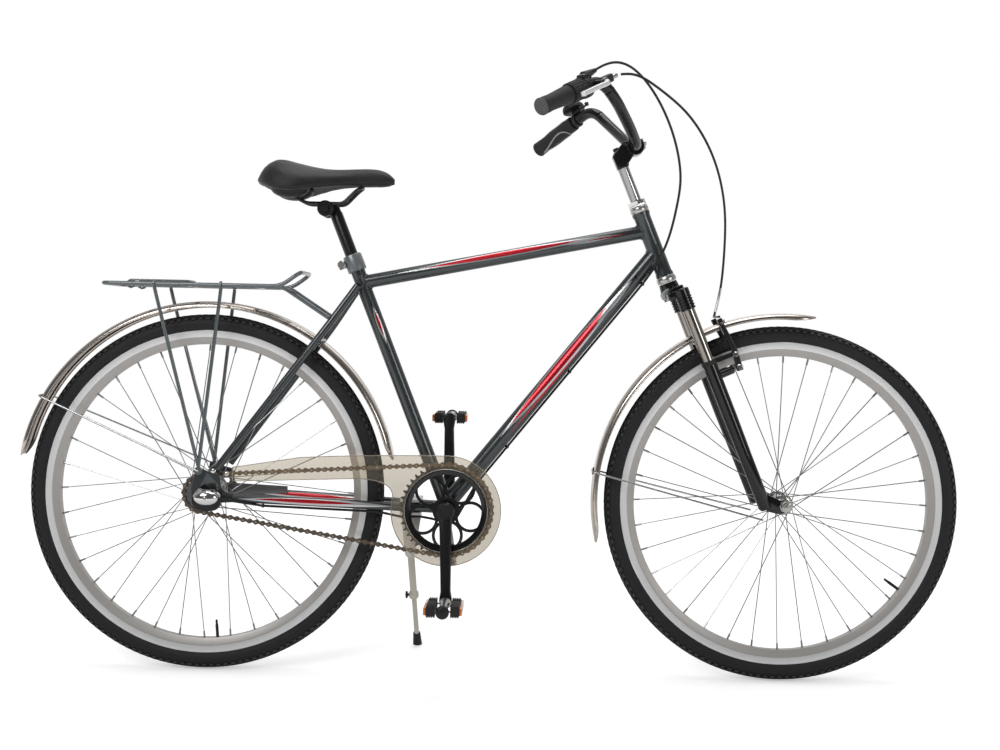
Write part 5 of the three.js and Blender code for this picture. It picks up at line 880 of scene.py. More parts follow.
def weld_bead(name, far, near, radius, host_start, host_end, host_radius):
    """The weld where a tube that runs from far to near meets a host tube."""
    start, way = Vector(far), (Vector(near) - Vector(far)).normalized()
    host, axis = Vector(host_start), (Vector(host_end) - Vector(host_start)).normalized()
    side = way.orthogonal().normalized()
    other = way.cross(side)
    points = []
    for i in range(48):
        turn = 2 * pi * i / 48
        origin = start + (side * cos(turn) + other * sin(turn)) * radius
        across = (origin - host) - axis * (origin - host).dot(axis)
        flat = way - axis * way.dot(axis)
        a, b, c = flat.dot(flat), across.dot(flat), across.dot(across) - host_radius**2
        inside = b * b - a * c
        points.append(origin + way * ((-b - max(inside, 0) ** 0.5) / a) - way * 0.6)
    return wire(name, points, setting("weld_radius") / MM, cyclic=True)


HEAD_TOP = HEAD_TUBE["bottom"] + HEAD_TUBE["length"]
DOWN_FOOT = Vector((BRACKET[0], 0, BRACKET[2] + DOWN_TUBE["rise"]))
TUBES = {
    "seat_tube": (seat_point(0), seat_point(SEAT_TUBE["length"] - 30), SEAT_TUBE["radius"]),
    "top_tube": (seat_point(TOP_TUBE["seat"]), head_point(TOP_TUBE["head"]), TOP_TUBE["radius"]),
    "down_tube": (DOWN_FOOT, head_point(DOWN_TUBE["head"]), DOWN_TUBE["radius"]),
    "head_tube": (head_point(HEAD_TUBE["bottom"]), head_point(HEAD_TOP), HEAD_TUBE["radius"]),
    "shell": ((BRACKET[0], -40, BRACKET[2]), (BRACKET[0], 40, BRACKET[2]), SHELL["radius"]),
}


def frame_tubes():
    """The straight tubes, the head tube, the bracket shell, the stays and the welds."""
    for name in ("seat_tube", "top_tube", "down_tube"):
        finished(straight(f"{name}_body", *TUBES[name]), BIKE, name, "frame", [name])
    head_tube()
    bracket_shell()
    for name, sign in SIDES:
        rear_stays(name, sign)
    bridge = straight("stay_bridge_tube", *STAY_BRIDGE)
    finished(bridge, BIKE, "frame", "frame")
    tube_welds()
    down_tube_plug()
    seat_collar()


def head_tube():
    bottom, top = HEAD_TUBE["bottom"], HEAD_TOP
    radius, flare = HEAD_TUBE["radius"], HEAD_TUBE["flare"]
    head = along_z(turned("head_tube_body", [
        (13.5, -bottom), (radius + flare, -bottom), (radius + flare, -bottom - 5), (radius, -bottom - 9),
        (radius, -top + 9),
        (radius + flare, -top + 5), (radius + flare, -top), (13.5, -top),
    ], 64))
    finished(head, STEER, "frame", "frame", ["head_tube"])


def bracket_shell():
    shell = turned("bracket_shell_body", [
        (17, -SHELL["half"]), (SHELL["radius"] - 0.8, -SHELL["half"]),
        (SHELL["radius"], -SHELL["half"] + 0.8),
        (SHELL["radius"], SHELL["half"] - 0.8), (SHELL["radius"] - 0.8, SHELL["half"]), (17, SHELL["half"]),
    ], 64)
    finished(shell, BIKE @ placed(BRACKET), "frame", "frame")


def rear_stays(name, sign):
    """One side's chain stay, seat stay, dropout and weld."""
    root = (BRACKET[0], sign * CHAIN_STAY["out"], BRACKET[2])
    tip = (CHAIN_STAY["tip"][0] - 4, sign * CHAIN_STAY["tip"][1], CHAIN_STAY["tip"][2])
    stay = straight(f"chain_stay_{name}_tube", root, tip, CHAIN_STAY["radius"], CHAIN_STAY["tip_radius"])
    finished(stay, BIKE, "chain_stay", "frame", [f"chain_stay_{name}"])
    foot, bend = [(x, sign * y, z) for x, y, z in (SEAT_STAY["foot"], SEAT_STAY["bend"])]
    upper = seat_point(SEAT_STAY["station"]) + Vector((-SEAT_STAY["back"], sign * SEAT_STAY["out"], 0))
    stay = wire(f"seat_stay_{name}_tube", rounded([foot, bend, upper], 30), SEAT_STAY["radius"], 8)
    finished(stay, BIKE, "frame", "frame", [f"seat_stay_{name}"])
    plate = dropout(f"dropout_{name}_plate")
    finished(plate, BIKE @ Matrix.Diagonal((1, sign, 1, 1)), "frame", "frame")
    bead = weld_bead(f"seat_stay_{name}_weld", bend, upper, SEAT_STAY["radius"], *TUBES["seat_tube"])
    finished(bead, BIKE, "weld", "frame")


def tube_welds():
    """The beads where the straight tubes meet: each tube, which of its ends, and its host."""
    beads = []
    for tube, at_end, host in TUBE_JOINTS:
        start, end, radius = TUBES[tube]
        far, near = (start, end) if at_end else (end, start)
        beads.append(weld_bead(f"{tube}_{host}_weld", far, near, radius, *TUBES[host]))
    finished(joined("tube_welds", *beads), BIKE, "weld", "frame")


def down_tube_plug():
    outside = -DOWN_TUBE["radius"]
    profile = [(0, outside - 0.5), (3.6, outside - 0.5), (4.4, outside), (4.4, -10), (0, -10)]
    plug = turned("down_tube_plug", profile, 24)
    start, end, _ = TUBES["down_tube"]
    finished(shifted(plug, start.lerp(end, DOWN_TUBE["plug_share"])), BIKE, "gloss_black", "frame")


def dropout(name):
    """The plate at a stay's end with its window, drawn for the left side."""
    outline = [
        (66, 337), (66, 353), (48, 356), (40, 366), (36, 390), (12, 396), (-4, 404), (-11, 402), (-14, 383),
        (-19, 360),
        (-17, 342.5), (0, 334), (17, 334),
    ]
    plate = slab(name, outline, 57.5, 62.5, 0)
    window = slab(f"{name}_window", [
        (8, 372), (-2, 364), (16, 358), (27, 352), (31, 362), (28, 374),
    ], 50, 70, 0)
    use_modifier(plate, "BOOLEAN", object=window, operation="DIFFERENCE", solver="EXACT")
    bpy.data.objects.remove(window)
    soften_edges(plate, 0.8, 2)
    return smooth(plate)


def seat_collar():
    """The clamp at the seat tube's top with its bolt."""
    high, radius = SEAT_TUBE["length"], SEAT_TUBE["collar"]
    low = high - SEAT_TUBE["collar_width"]
    ring = along_z(turned("seat_collar_ring", [
        (14, -low), (radius - 2, -low), (radius, -low - 2), (radius, -high + 3), (radius - 1.5, -high),
        (13, -high),
    ], 64))
    ears = block("seat_collar_ears", (-32, -7.5, high - 20), (-14, 7.5, high - 5), 2)
    bolt = shifted(turned_piece("seat_collar_bolt", 20), (-24, 0, high - 12))
    finished(joined("seat_collar", ring, ears), SEAT, "collar", "frame")
    finished(bolt, SEAT, "steel", "frame")


# Fork
def at_leg(sign):
    return (LEG["forward"], sign * LEG["out"], 0)


def fork_collar(sign):
    """The ribbed collar that holds a stanchion."""
    foot, radius, top = STANCHION["collar"], COLLAR["radius"], CROWN["top"]
    profile = [(0, -foot), (radius - 2.5, -foot)]
    rib = (COLLAR["top"] - foot) / COLLAR["ribs"]
    for i in range(COLLAR["ribs"]):
        low = foot + i * rib
        end = -low - rib
        profile += [(radius, -low - 0.8), (radius, end + 2), (radius - 1.6, end + 1), (radius - 1.6, end)]
    profile += [(15, -COLLAR["top"]), (15, -top + 2), (12, -top), (0, -top)]
    return shifted(along_z(turned(f"fork_collar_{sign}", profile)), at_leg(sign))


def fork_crown():
    """The crown with its race, its step and its collars, and the cap before it."""
    foot, top, race, wide = [CROWN[key] for key in ("foot", "top", "race", "race_radius")]
    profile = [(0, -foot), (wide - 1, -foot), (wide, -race + 14), (wide - 2, -race), (0, -race)]
    race_cone = along_z(turned("fork_race", profile, 64))
    outline = [
        (-14, 57), (-17, 20), (-14, 0), (-17, -20), (-14, -57), (28, -57), (22, -20), (22, 20), (28, 57),
    ]
    plate = slab("fork_crown_plate", outline, -top, -foot, 2.5)
    step = slab("fork_crown_step", SHAPES["fork_crown_step"], -top - 7, -top + 2, 3)
    for piece in (plate, step):
        piece.data.transform(Y_TO_Z)
    casting = joined("fork_crown_casting", race_cone, plate, step, *[fork_collar(sign) for sign in (-1, 1)])
    finished(casting, STEER, "gloss_black", "steered", ["fork_crown"])
    boss = shifted(turned_piece("fork_crown_cap", 40), (CROWN["boss"][0], 0, CROWN["boss"][1]))
    finished(boss, STEER, "grey", "steered")


def stanchions():
    radius, low, high = STANCHION["radius"], -STANCHION["foot"], -STANCHION["collar"] - 4
    tubes = []
    for sign in (-1, 1):
        tube = turned(f"stanchion_{sign}", [(0, low), (radius, low), (radius, high), (0, high)])
        tubes.append(shifted(along_z(tube), at_leg(sign)))
    finished(joined("fork_stanchions", *tubes), STEER, "stanchion", "steered")


def lower_leg(sign):
    """One lower leg with its dropout, its brake boss and its side of the arch."""
    radius, foot, top, width = [LOWER[key] for key in ("radius", "foot", "top", "width")]
    leg = along_z(turned(f"lower_leg_{sign}", [
        (0, -foot), (radius - 4, -foot), (radius - 1, -foot - 5), (radius - 1, -120), (radius, -200),
        (radius, -top + 8), (12.4, -top + 6), (12.4, -250),
    ]))
    shift = at_leg(sign)
    x, y, _ = shift
    outline = [
        (13, 4), (30, -8), (44, -12), (54, -11), (61, -5), (62, 4), (57, 10), (46, 13), (26, 34), (13, 46),
    ]
    plate = slab(f"fork_dropout_{sign}", outline, y - width / 2, y + width / 2, 1.5)
    height = BRAKE["pivot"][2]
    boss = straight(f"brake_boss_{sign}", (x, y, height), (53, sign * BRAKE["pivot"][1], height), 8)
    inner, outer = sorted((sign * ARCH["inner"], sign * ARCH["out"]))
    side = block(
        f"arch_side_{sign}", (ARCH["back"], inner, ARCH["foot"]), (ARCH["front"], outer, ARCH["top"]), 3)
    return [shifted(leg, shift), plate, boss, side]


def fork_wiper(sign):
    low, radius = -LOWER["top"] - 1, LOWER["wiper"]
    wiper = [(12.2, low), (14.5, low), (radius - 0.6, low + 2), (radius - 0.6, low + 9), (12.2, low + 9)]
    return shifted(along_z(turned(f"wiper_{sign}", wiper)), at_leg(sign))


def fork_lower():
    pieces = [*lower_leg(-1), *lower_leg(1)]
    bridge = block("arch_top", (ARCH["back"], -28, ARCH["tyre_top"]), (ARCH["front"], 28, ARCH["top"]), 1.5)
    legs = joined("fork_lower_legs", *pieces, bridge)
    finished(legs, STEER, "gloss_black", "fork_lowers", ["fork_lowers"])
    wipers = joined("fork_wipers", fork_wiper(-1), fork_wiper(1))
    finished(wipers, STEER, "rubber", "fork_lowers")


def headset():
    low, top = HEAD_TUBE["bottom"], HEAD_TOP
    lower = along_z(turned("headset_lower_ring", [
        (13.5, -low + 0.3), (18, -low + 0.3), (19.6, -low + 4), (20, -low + 8), (18.6, -low + 12.6),
        (13.5, -low + 13),
    ], 64))
    finished(lower, STEER, "steel", "frame", ["headset_lower_cup"])
    upper = along_z(turned("headset_upper_ring", [
        (13.5, -top - 0.3), (17, -top - 0.3), (18.4, -top - 4), (18.4, -top - 10), (16.5, -top - 12.6),
        (13.5, -top - 13),
    ], 64))
    finished(upper, STEER, "steel", "frame", ["headset_upper_cup"])
    foot = top + HEADSET_LIP + 0.3
    nut = along_z(turned("headset_nut_ring", [
        (13.4, -foot), (17.4, -foot), (17.8, -foot - 1), (17.8, -foot - 3), (16.8, -foot - 3.4),
        (17.6, -foot - 4), (17.6, -foot - 11), (15, -foot - 12), (13.4, -foot - 12),
    ], 8))
    finished(nut, STEER, "bright", "steered", ["headset_locknut"])


def refined(node, finish, bevel=0.6, angle=radians(32)):
    """A CAD node's shape as its own piece, merged, with softened edges."""
    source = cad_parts[node]
    obj = source.copy()
    obj.data = source.data.copy()
    obj.name = obj.data.name = f"{node}_finish"
    bpy.context.collection.objects.link(obj)
    obj.hide_render = False
    activate(obj)
    bpy.ops.object.mode_set(mode="EDIT")
    close_mesh()
    if bevel:
        soften_edges(obj, bevel, 2)
    smooth(obj, angle)
    obj.data.materials.clear()
    obj.data.materials.append(FINISHES[finish])
    return obj


def tied(obj, body, nodes=()):
    return finished(obj, Matrix(), None, body, nodes)


# Brake
def brake_arm_width(share):
    """The arm's half width, which narrows to its top."""
    return 6.4 - 2.2 * share + 1.2 * max(0, share - 0.86) / 0.14


def brake_arm_bolts(name, sign):
    """The bolt heads, nuts and bosses of an arm."""
    bolt = turned_piece("brake_pivot_bolt", 24)
    bolt.data.transform(Y_TO_X)
    anchor = turned_piece("brake_wire_bolt", 6)
    anchor.data.transform(Y_TO_X)
    shifted(anchor, (0, sign * -3, 94))
    nut = turned_piece("brake_pad_nut", 24)
    if sign > 0:
        nut.data.transform(ABOUT)
    shifted(nut, (0, 0, 26))
    bosses = []
    for x, z, size in ((0.5, 0, 5.6), (3, 26, 5), (-1.5, 92, 3.6)):
        boss = turned("brake_boss", [(0, 9.2), (size - 1.4, 9), (size, 7.6), (size, 5.6), (0, 5.6)], 24)
        if sign < 0:
            boss.data.transform(ABOUT)
        bosses.append(shifted(boss, (x, 0, z)))
    return joined(f"brake_arm_{name}_bolts", bolt, anchor, nut, *bosses)


def brake_arm(name, sign):
    """A cast arm, its pad and its bolts, in the frame of the arm's pivot."""
    x, out, z = BRAKE["pivot"]
    pivot = STEER @ placed((x, sign * out, z))
    arm = strap(f"brake_arm_{name}_casting", flowing(BRAKE["route"], 3), brake_arm_width, -6, 6, 1.8)
    arm.data.transform(Matrix.Rotation(-sign * BRAKE["lean"], 4, "X"))
    metal = brake_arm_bolts(name, sign)
    inner, outer = [place - out for place in BRAKE["pad"]]
    low, high = sorted((sign * inner, sign * outer))
    pad = slab(f"brake_pad_{name}", [
        (-28, -4), (28, -4), (28, 3), (22, 4.5), (-22, 4.5), (-28, 3),
    ], low, high, 1.5)
    shifted(pad, (-16, 0, 26))
    finished(arm, pivot, "satin_black", f"brake_arm_{name}", [f"brake_arm_{name}"])
    finished(metal, pivot, "bright", f"brake_arm_{name}")
    finished(pad, pivot, "rubber", f"brake_arm_{name}")


# Handlebar
def grip_frame(sign, distance):
    """Axes on a straight end of the bar: X across and forwards, Y inwards along the bar, Z across and up."""
    end, inner = [in_steering((x, sign * y, z)) for x, y, z in (BAR_CORNERS[3], BAR_CORNERS[2])]
    inward = (inner - end).normalized()
    up = (STEER.inverted() @ BIKE).to_3x3() @ Vector((0, 0, 1))
    up = (up - inward * up.dot(inward)).normalized()
    basis = Matrix((inward.cross(up), inward, up)).transposed().to_4x4()
    return STEER @ placed(end + inward * distance) @ basis


def stem():
    x, _, z = STEM_CLAMP
    quill = along_z(turned_piece("stem_quill"))
    outline = [
        (-12, 729), (-12.4, 757), (-8, 763), (18, 777), (x, z + 16), (x, z - 10), (26, 744), (12.4, 734),
        (12.2, 729),
    ]
    neck = slab("stem_neck", outline, -13.5, 13.5, 4.5)
    sleeve = turned_piece("stem_clamp", 64)
    shifted(sleeve, (x, 0, z))
    finished(quill, STEER, "quill", "steered", ["stem"])
    finished(joined("stem_head", neck, sleeve), STEER, "gloss_black", "steered")
    cap = along_z(turned_piece("stem_cap", 40))
    plates = [block("stem_face_plate", (x + 12, -16, z - 11), (x + 18.5, 16, z + 11), 2)]
    for y in (-11, 11):
        head = turned_piece("stem_bolt", 20)
        head.data.transform(Y_TO_X)
        plates.append(shifted(head, (x + 17.5, y, z)))
    finished(cap, STEER, "satin_black", "steered")
    finished(joined("stem_front", *plates), STEER, "steel", "steered")


def handlebar():
    half = [(37, 34, 760), *[tuple(in_steering(point)) for point in BAR_CORNERS]]
    corners = [*mirror_y(reversed(half)), *half]
    route = rounded(corners, [*reversed(BAR_REACHES), *BAR_REACHES], 10)
    bar = wire("handlebar_tube", route, BAR_RADIUS, 10)
    finished(bar, STEER, "gloss_black", "steered", ["handlebar"])


def ridged(name, radius, depth, length, ribs, steps_per_rib=6):
    """A sleeve along Y whose outside is ribbed lengthways, from a star outline extruded."""
    outline = []
    for i in range(ribs * steps_per_rib):
        turn = 2 * pi * i / (ribs * steps_per_rib)
        reach = radius - depth * (0.5 - 0.5 * cos(ribs * turn)) ** 2
        outline.append((reach * cos(turn), reach * sin(turn)))
    return slab(name, outline, 0.4, length, 0)


def grip_sleeve(name, length, root):
    """A rubber sleeve with a ringed end cap, which swells towards its root."""
    cap = [
        (0, -4.6), (3, -4.6), (3.6, -4), (7, -3.8), (12, -3), (13.4, -2.2), (15.6, -0.6), (16.2, 0.8),
        (15.9, 2),
    ]
    rings = [(15.2 + 0.5 * (k % 2), 4 + k * 2) for k in range(6)]
    profile = [
        *cap, *rings, (15, 24), (15.6, length * 0.5), (root, length * 0.85), (root, length - 2),
        (root - 1, length), (11.3, length),
    ]
    sleeve = turned(name, profile, 64)
    for finish in ("rubber", "cap_grey"):
        sleeve.data.materials.append(FINISHES[finish])
    for face in sleeve.data.polygons:
        face.material_index = 1 if face.center.y < 1.4 * MM else 0
    return sleeve


def grips():
    finished(
        grip_sleeve("grip_right_sleeve", GRIP["near"], 17), grip_frame(-1, 0), None, "steered",
        ["grip_right"])
    far = grip_sleeve("grip_left_sleeve", GRIP["far"], 16)
    finished(far, grip_frame(1, 0), None, "steered", ["grip_left"])
    inlays = []
    for turn in (radians(100), radians(280)):
        points = []
        for k in range(40):
            share = 2 * pi * k / 40
            along, round_it = 58 + 42 * cos(share), turn + 0.75 * sin(share) + 0.35 * sin(2 * share)
            points.append((15.6 * cos(round_it), along, 15.6 * sin(round_it)))
        inlays.append(wire("grip_inlay", points, 1.7, 2, cyclic=True))
    finished(joined("grip_left_inlay", *inlays), grip_frame(1, 0), "grey", "steered")
    twist = ridged(
        "twist_grip_sleeve", TWIST["radius"], TWIST["depth"], TWIST["length"], setting("grip_ribs"))
    finished(
        twist, grip_frame(-1, GRIP["near"] + 0.3), "rubber", "twist_grip", ["twist_grip"])


def shifter():
    place = grip_frame(-1, ON_BAR["shifter"])
    body = turned_piece("shifter_body", 64)
    box = block("shifter_window_case", (-6.8, 0.4, 13), (13.8, 15.6, 23.8), 2.5)
    finished(
        joined("shifter_case", body, box), place, "plastic", "steered", ["shifter_housing"])
    window = block("shifter_window", (-4.5, 3, 22), (11, 13, 24), 0.6)
    finished(window, place, "grey", "steered")
    start, end = in_bike(place, (4, 8, 19)), Vector(SHIFT_LOOP[0])
    inlet = straight("shifter_inlet", start, end + (end - start).normalized() * 14, 9.5, 4.2)
    finished(inlet, BIKE, "plastic", "steered")


def strap(name, route, widths, low, high, bevel=1.2):
    """A flat bar that follows a route of (x, z) points, with a half width at each."""
    sides = ([], [])
    for i, point in enumerate(route):
        before, after = Vector(route[max(i - 1, 0)]), Vector(route[min(i + 1, len(route) - 1)])
        way = (after - before).normalized()
        across = Vector((-way.y, way.x)) * widths(i / (len(route) - 1))
        sides[0].append(Vector(point[:2]) + across)
        sides[1].append(Vector(point[:2]) - across)
    return slab(name, [*sides[0], *reversed(sides[1])], low, high, bevel)


def lever_width(share):
    """The blade's half width, which narrows to a rounded tip that swells a little."""
    return 4.6 - 1.6 * share + 1.4 * max(0, share - 0.85) / 0.15


def brake_lever():
    place = grip_frame(-1, ON_BAR["lever"])
    clamp = turned_piece("lever_clamp_band")
    body = slab("lever_body", SHAPES["lever_body"], -5.4, 5.4, 1.5)
    plates = []
    for low, high in ((-6, -3.3), (3.3, 6)):
        outline = [(13, -5), (36, -5), (36, 14), (32, 18), (24, 30), (16, 30), (13, 8)]
        cheek = slab("lever_cheek", outline, -high, -low, 0.8)
        cheek.data.transform(Y_TO_Z)
        plates.append(cheek)
    back = block("lever_back", (13, 8, -8), (27, 44, 8), 3.5)
    bracket = joined("lever_bracket", clamp, body, back, *plates)
    finished(bracket, place, "satin_black", "steered", ["brake_lever_bracket"])
    pieces = []
    barrel = turned_piece("lever_adjuster", 16)
    pieces.append(shifted(barrel, (22, 0, 0)))
    pin = turned_piece("lever_pin", 24)
    pieces.append(shifted(along_z(pin), (30, 12, 0)))
    finished(joined("lever_fittings", *pieces), place, "steel", "steered")
    route = flowing([
        (0, 2), (8, -6), (17, -14), (20.5, -24), (18.5, -42), (17.4, -60), (18, -78), (19.5, -92),
    ], 5)
    blade = strap("brake_lever_blade", route, lever_width, -4.4, 4.4, 1.8)
    blade.data.transform(Y_TO_Z)
    finished(blade, place @ placed((30, 12, 0)), "alloy", "brake_lever", ["brake_lever"])


def bell():
    place = grip_frame(1, ON_BAR["bell"])
    clamp = turned_piece("bell_clamp_band")
    dome = along_z(turned_piece("bell_cup", 64))
    post = block("bell_foot", (-4.4, -4.4, 13), (4.4, 14.4, 23), 1)
    finished(joined("bell_body", clamp, post, dome), place, "plastic", "steered", ["bell"])
    striker = refined("bell_striker", "plastic", 0.5)
    tied(striker, "bell_striker", ["bell_striker"])


# Saddle
def saddle_rise(x):
    """How much the cover's upper side is raised at a place along the saddle."""
    for (x0, rise0), (x1, rise1) in zip(SADDLE_RISES, SADDLE_RISES[1:]):
        if x0 <= x <= x1:
            return rise0 + (rise1 - rise0) * (x - x0) / (x1 - x0)
    return 0


def saddle_cover():
    """The saddle's solid with its upper side raised, made soft and round."""
    cover = refined("saddle", "saddle", 0)
    cover.name = cover.data.name = "saddle_cover"
    for corner in cover.data.vertices:
        place = BIKE.inverted() @ corner.co / MM
        weight = min(1, max(0, (place.z - SADDLE_BRIM) / 12))
        tip = min(1, max(0, (place.x - SADDLE_NOSE[0]) / (SADDLE_NOSE[1] - SADDLE_NOSE[0])))
        rise = weight * saddle_rise(place.x) + (1 - weight) * tip**2 * SADDLE_NOSE[2]
        corner.co += BIKE.to_3x3() @ Vector((0, 0, rise * MM))
    use_modifier(cover, "SUBSURF", levels=2, render_levels=2)
    smooth(cover, radians(75))
    tied(cover, "saddle", ["saddle"])


def saddle_bolsters():
    """The padding that swells out below the cover at both sides."""
    for sign in (-1, 1):
        bolster = turned(
            "saddle_bolster", [(20 * sin(radians(t)), -20 * cos(radians(t))) for t in range(0, 181, 10)], 48)
        bolster.data.transform(Matrix.Diagonal((*BOLSTER["scale"], 1)))
        x, y, z = BOLSTER["at"]
        finished(shifted(bolster, (x, sign * y, z)), BIKE, "saddle", "saddle")


def saddle_rails():
    rods = []
    for sign in (-1, 1):
        rods.append(wire(
            f"saddle_rail_{sign}", rounded([(x, sign * y, z) for x, y, z in RAIL_CORNERS], 9), RAIL - 0.1, 4,
        ))
    for x, y, z in (RAIL_CORNERS[0], RAIL_CORNERS[-1]):
        rods.append(block("saddle_bridge", (x - 3, -y, z - 3), (x + 3, y, z + 3), 1.2))
    finished(
        joined("saddle_rail_pair", *rods), BIKE, "satin_black", "saddle", ["saddle_rails"])


def seatpost():
    post = along_z(turned_piece("seatpost_tube", 64))
    finished(post, SEAT, "satin_black", "seatpost", ["seatpost"])
    head = turned_piece("seatpost_head")
    finished(shifted(head, SADDLE_CLAMP), BIKE, "satin_black", "seatpost")


def saddle_clamp():
    """The two cheeks that hold the rails, on one bolt."""
    cheeks = []
    for sign in (-1, 1):
        profile = [
            (4.2, 14), (14.5, 14), (15.8, 15.5), (15.8, 20), (14.8, 21), (14.8, 22), (15.8, 23), (15.8, 26),
            (14.2, 28), (4.2, 28),
        ]
        cheeks.append(turned(
            "saddle_clamp_cheek", [(radius, sign * place) for radius, place in profile], 48))
    bolt = turned_piece("saddle_clamp_bolt", 6)
    cheeks.append(bolt)
    clamp = joined("saddle_clamp_set", *cheeks)
    finished(shifted(clamp, SADDLE_CLAMP), BIKE, "satin_black", "saddle", ["saddle_clamp"])


# Drive
def crank_arm(name, sign):
    """A straight arm that points down, with its dust cap, in the frame of the crank axis."""
    widths = [(-12.6, 0), (-13, -8), (-11.5, -40), (-9.6, -150), (-12, -164)]
    outline = [*widths, *[
        (12.8 * sin(a), -CRANK_LENGTH - 12.8 * cos(a)) for a in [radians(t) for t in range(-75, 76, 15)]
    ], *[(-x, z) for x, z in reversed(widths)]]
    arm = slab(f"crank_arm_{name}_forging", outline, 0, 13, 3)
    for vertex in arm.data.vertices:
        share = min(max(-vertex.co.z / MM / 165, 0), 1)
        vertex.co.y = (vertex.co.y / MM * (1.25 - 0.25 * share) + 55 + 25 * share) * MM
    hub = turned(f"crank_hub_{name}", [(9, 41.2), (15, 41.2), (17, 43), (17, 69), (15.5, 71), (9, 71)], 64)
    cap = turned(f"crank_cap_{name}", [
        (0, 70), (15, 70), (15, 72), (13.6, 73.4), (11.4, 73.4), (10.6, 72.4), (0, 72.2),
    ], 64)
    axle = shifted(turned(f"pedal_axle_{name}", [
        (0, 88), (6.6, 88), (6.6, 96.6), (4.6, 97), (4.6, 186), (0, 187),
    ], 24), (0, 0, -CRANK_LENGTH))
    pieces = {"satin_black": joined(f"crank_{name}", arm, hub), "plastic": cap, "steel": axle}
    turn = Matrix.Diagonal((1, -1, 1, 1)) if sign < 0 else turn_y(pi)
    for finish, piece in pieces.items():
        piece.data.transform(turn)
        activate(piece)
        bpy.ops.object.mode_set(mode="EDIT")
        close_mesh()
        nodes = [f"crank_arm_{name}"] if finish == "satin_black" else []
        finished(piece, CRANK, finish, "crankset", nodes)


def pedal(name, sign):
    """Two ribbed rubber blocks with reflectors in a wire cage round the barrel."""
    place = CRANK @ placed((0, 0, sign * CRANK_LENGTH)) @ turn_y(CRANK_TURN)
    low, high = PEDAL_ENDS
    blocks, lamps, cage = [], [], []
    for way in (-1, 1):
        outline = []
        for k in range(4):
            x = 14.5 + k * 4.2
            outline += [
                (way * x, 10.6), (way * (x + 2.2), 10.6), (way * (x + 2.7), 8.6), (way * (x + 3.7), 8.6),
            ]
        outline = [*outline, (way * 31, 8.6), (way * 31, -8.6), *[(x, -z) for x, z in reversed(outline)]]
        for start, end in ((low + 1, low + 25), (high - 25, high - 1)):
            blocks.append(slab("pedal_block", outline, start, end, 0.5))
        middle = [(way * 14.5, 9.2), (way * 31, 9.2), (way * 31, -9.2), (way * 14.5, -9.2)]
        blocks.append(slab("pedal_block_web", middle, low + 24, high - 24, 0.8))
        lamps.append(block(
            "pedal_reflector", (min(way * 30.6, way * 36), low + 3, -7),
            (max(way * 30.6, way * 36), high - 3, 7), 1.6))
    for start in (low + 6, high - 9):
        cage.append(slab("pedal_cage_rod", mirrored(EVEN_SHAPES["pedal_cage_rod"]), start, start + 3, 0.8))
    barrel = turned("pedal_barrel", [
        (5.4, low + 0.4), (10.6, low + 0.4), (10.6, low + 4), (8.4, low + 12), (8.4, high - 12),
        (10.6, high - 4), (10.6, high), (5.4, high),
    ], 40)
    dome = turned("pedal_cap", [
        (0, high + 7.9), (8, high + 7.6), (11.4, high + 5.6), (12.6, high + 3), (12.6, high - 0.4),
        (0, high - 0.4),
    ], 40)
    groups = {
        "rubber": joined(f"pedal_{name}_tread", *blocks),
        "amber": joined(f"pedal_{name}_reflectors", *lamps),
        "steel": joined(f"pedal_{name}_barrel", *cage, barrel), "plastic": dome,
    }
    for finish, piece in groups.items():
        if sign < 0:
            piece.data.transform(ABOUT)
        nodes = [f"pedal_{name}"] if finish == "rubber" else []
        finished(piece, place, finish, f"pedal_{name}", nodes)


def pitch_radius(teeth):
    return CHAIN["pitch"] / (2 * sin(pi / teeth))


def chainring():
    """A toothed hoop carried by five rings round the hub."""
    low, high = -CHAIN["line"] - 1.3, -CHAIN["line"] + 1.3
    teeth, radius = CHAIN["large"], pitch_radius(CHAIN["large"])
    step = 2 * pi / teeth
    first = atan2(BRACKET[2] - REAR_AXLE[2], BRACKET[0]) + step / 2 - CRANK_TURN
    points = []
    for i in range(teeth):
        for share, reach in (
            (-0.32, -3.6), (-0.19, -1.2), (-0.09, 2.8), (0.09, 2.8), (0.19, -1.2), (0.32, -3.6),
        ):
            turn = first + (i + share) * step
            points.append(((radius + reach) * cos(turn), (radius + reach) * sin(turn)))
    hoop = slab("chainring_hoop", points, low, high, 0)
    inside = [(70.5 * cos(2 * pi * k / 96), 70.5 * sin(2 * pi * k / 96)) for k in range(96)]
    hole = slab("chainring_hole", inside, low - 4, high + 4, 0)
    use_modifier(hoop, "BOOLEAN", object=hole, operation="DIFFERENCE", solver="EXACT")
    bpy.data.objects.remove(hole)
    lip = turned("chainring_lip", [
        (69.8, low - 0.6), (78, low - 0.6), (79, low + 0.3), (79, high - 0.3), (78, high), (69.8, high),
        (69, high - 0.6), (69, low),
    ], 96)
    pieces = [smooth(hoop, radians(25)), lip, turned("chainring_hub", [
        (17.2, low - 1), (26, low - 1), (27, low), (27, high), (26, high + 1), (17.2, high + 1),
    ], 64)]
    for i in range(5):
        turn = CHAIN["holes_turn"] + 2 * pi * i / 5 - CRANK_TURN
        ring = turned("chainring_ring", [
            (25, low - 0.2), (29.6, low - 0.2), (30.4, low + 0.5), (30.4, high - 0.5), (29.6, high),
            (25, high), (24.4, high - 0.5), (24.4, low + 0.3),
        ], 40)
        pieces.append(shifted(ring, (49 * cos(turn), 0, 49 * sin(turn))))
        inner = turn + pi / 5
        bolt = turned("chainring_bolt", [
            (0, low - 1.4), (3.4, low - 1.4), (4, low - 0.8), (4, high), (0, high),
        ], 16)
        pieces.append(shifted(bolt, (36 * cos(inner), 0, 36 * sin(inner))))
    finished(
        joined("chainring_plate", *pieces), CRANK, "gloss_black", "crankset", ["chainring"])


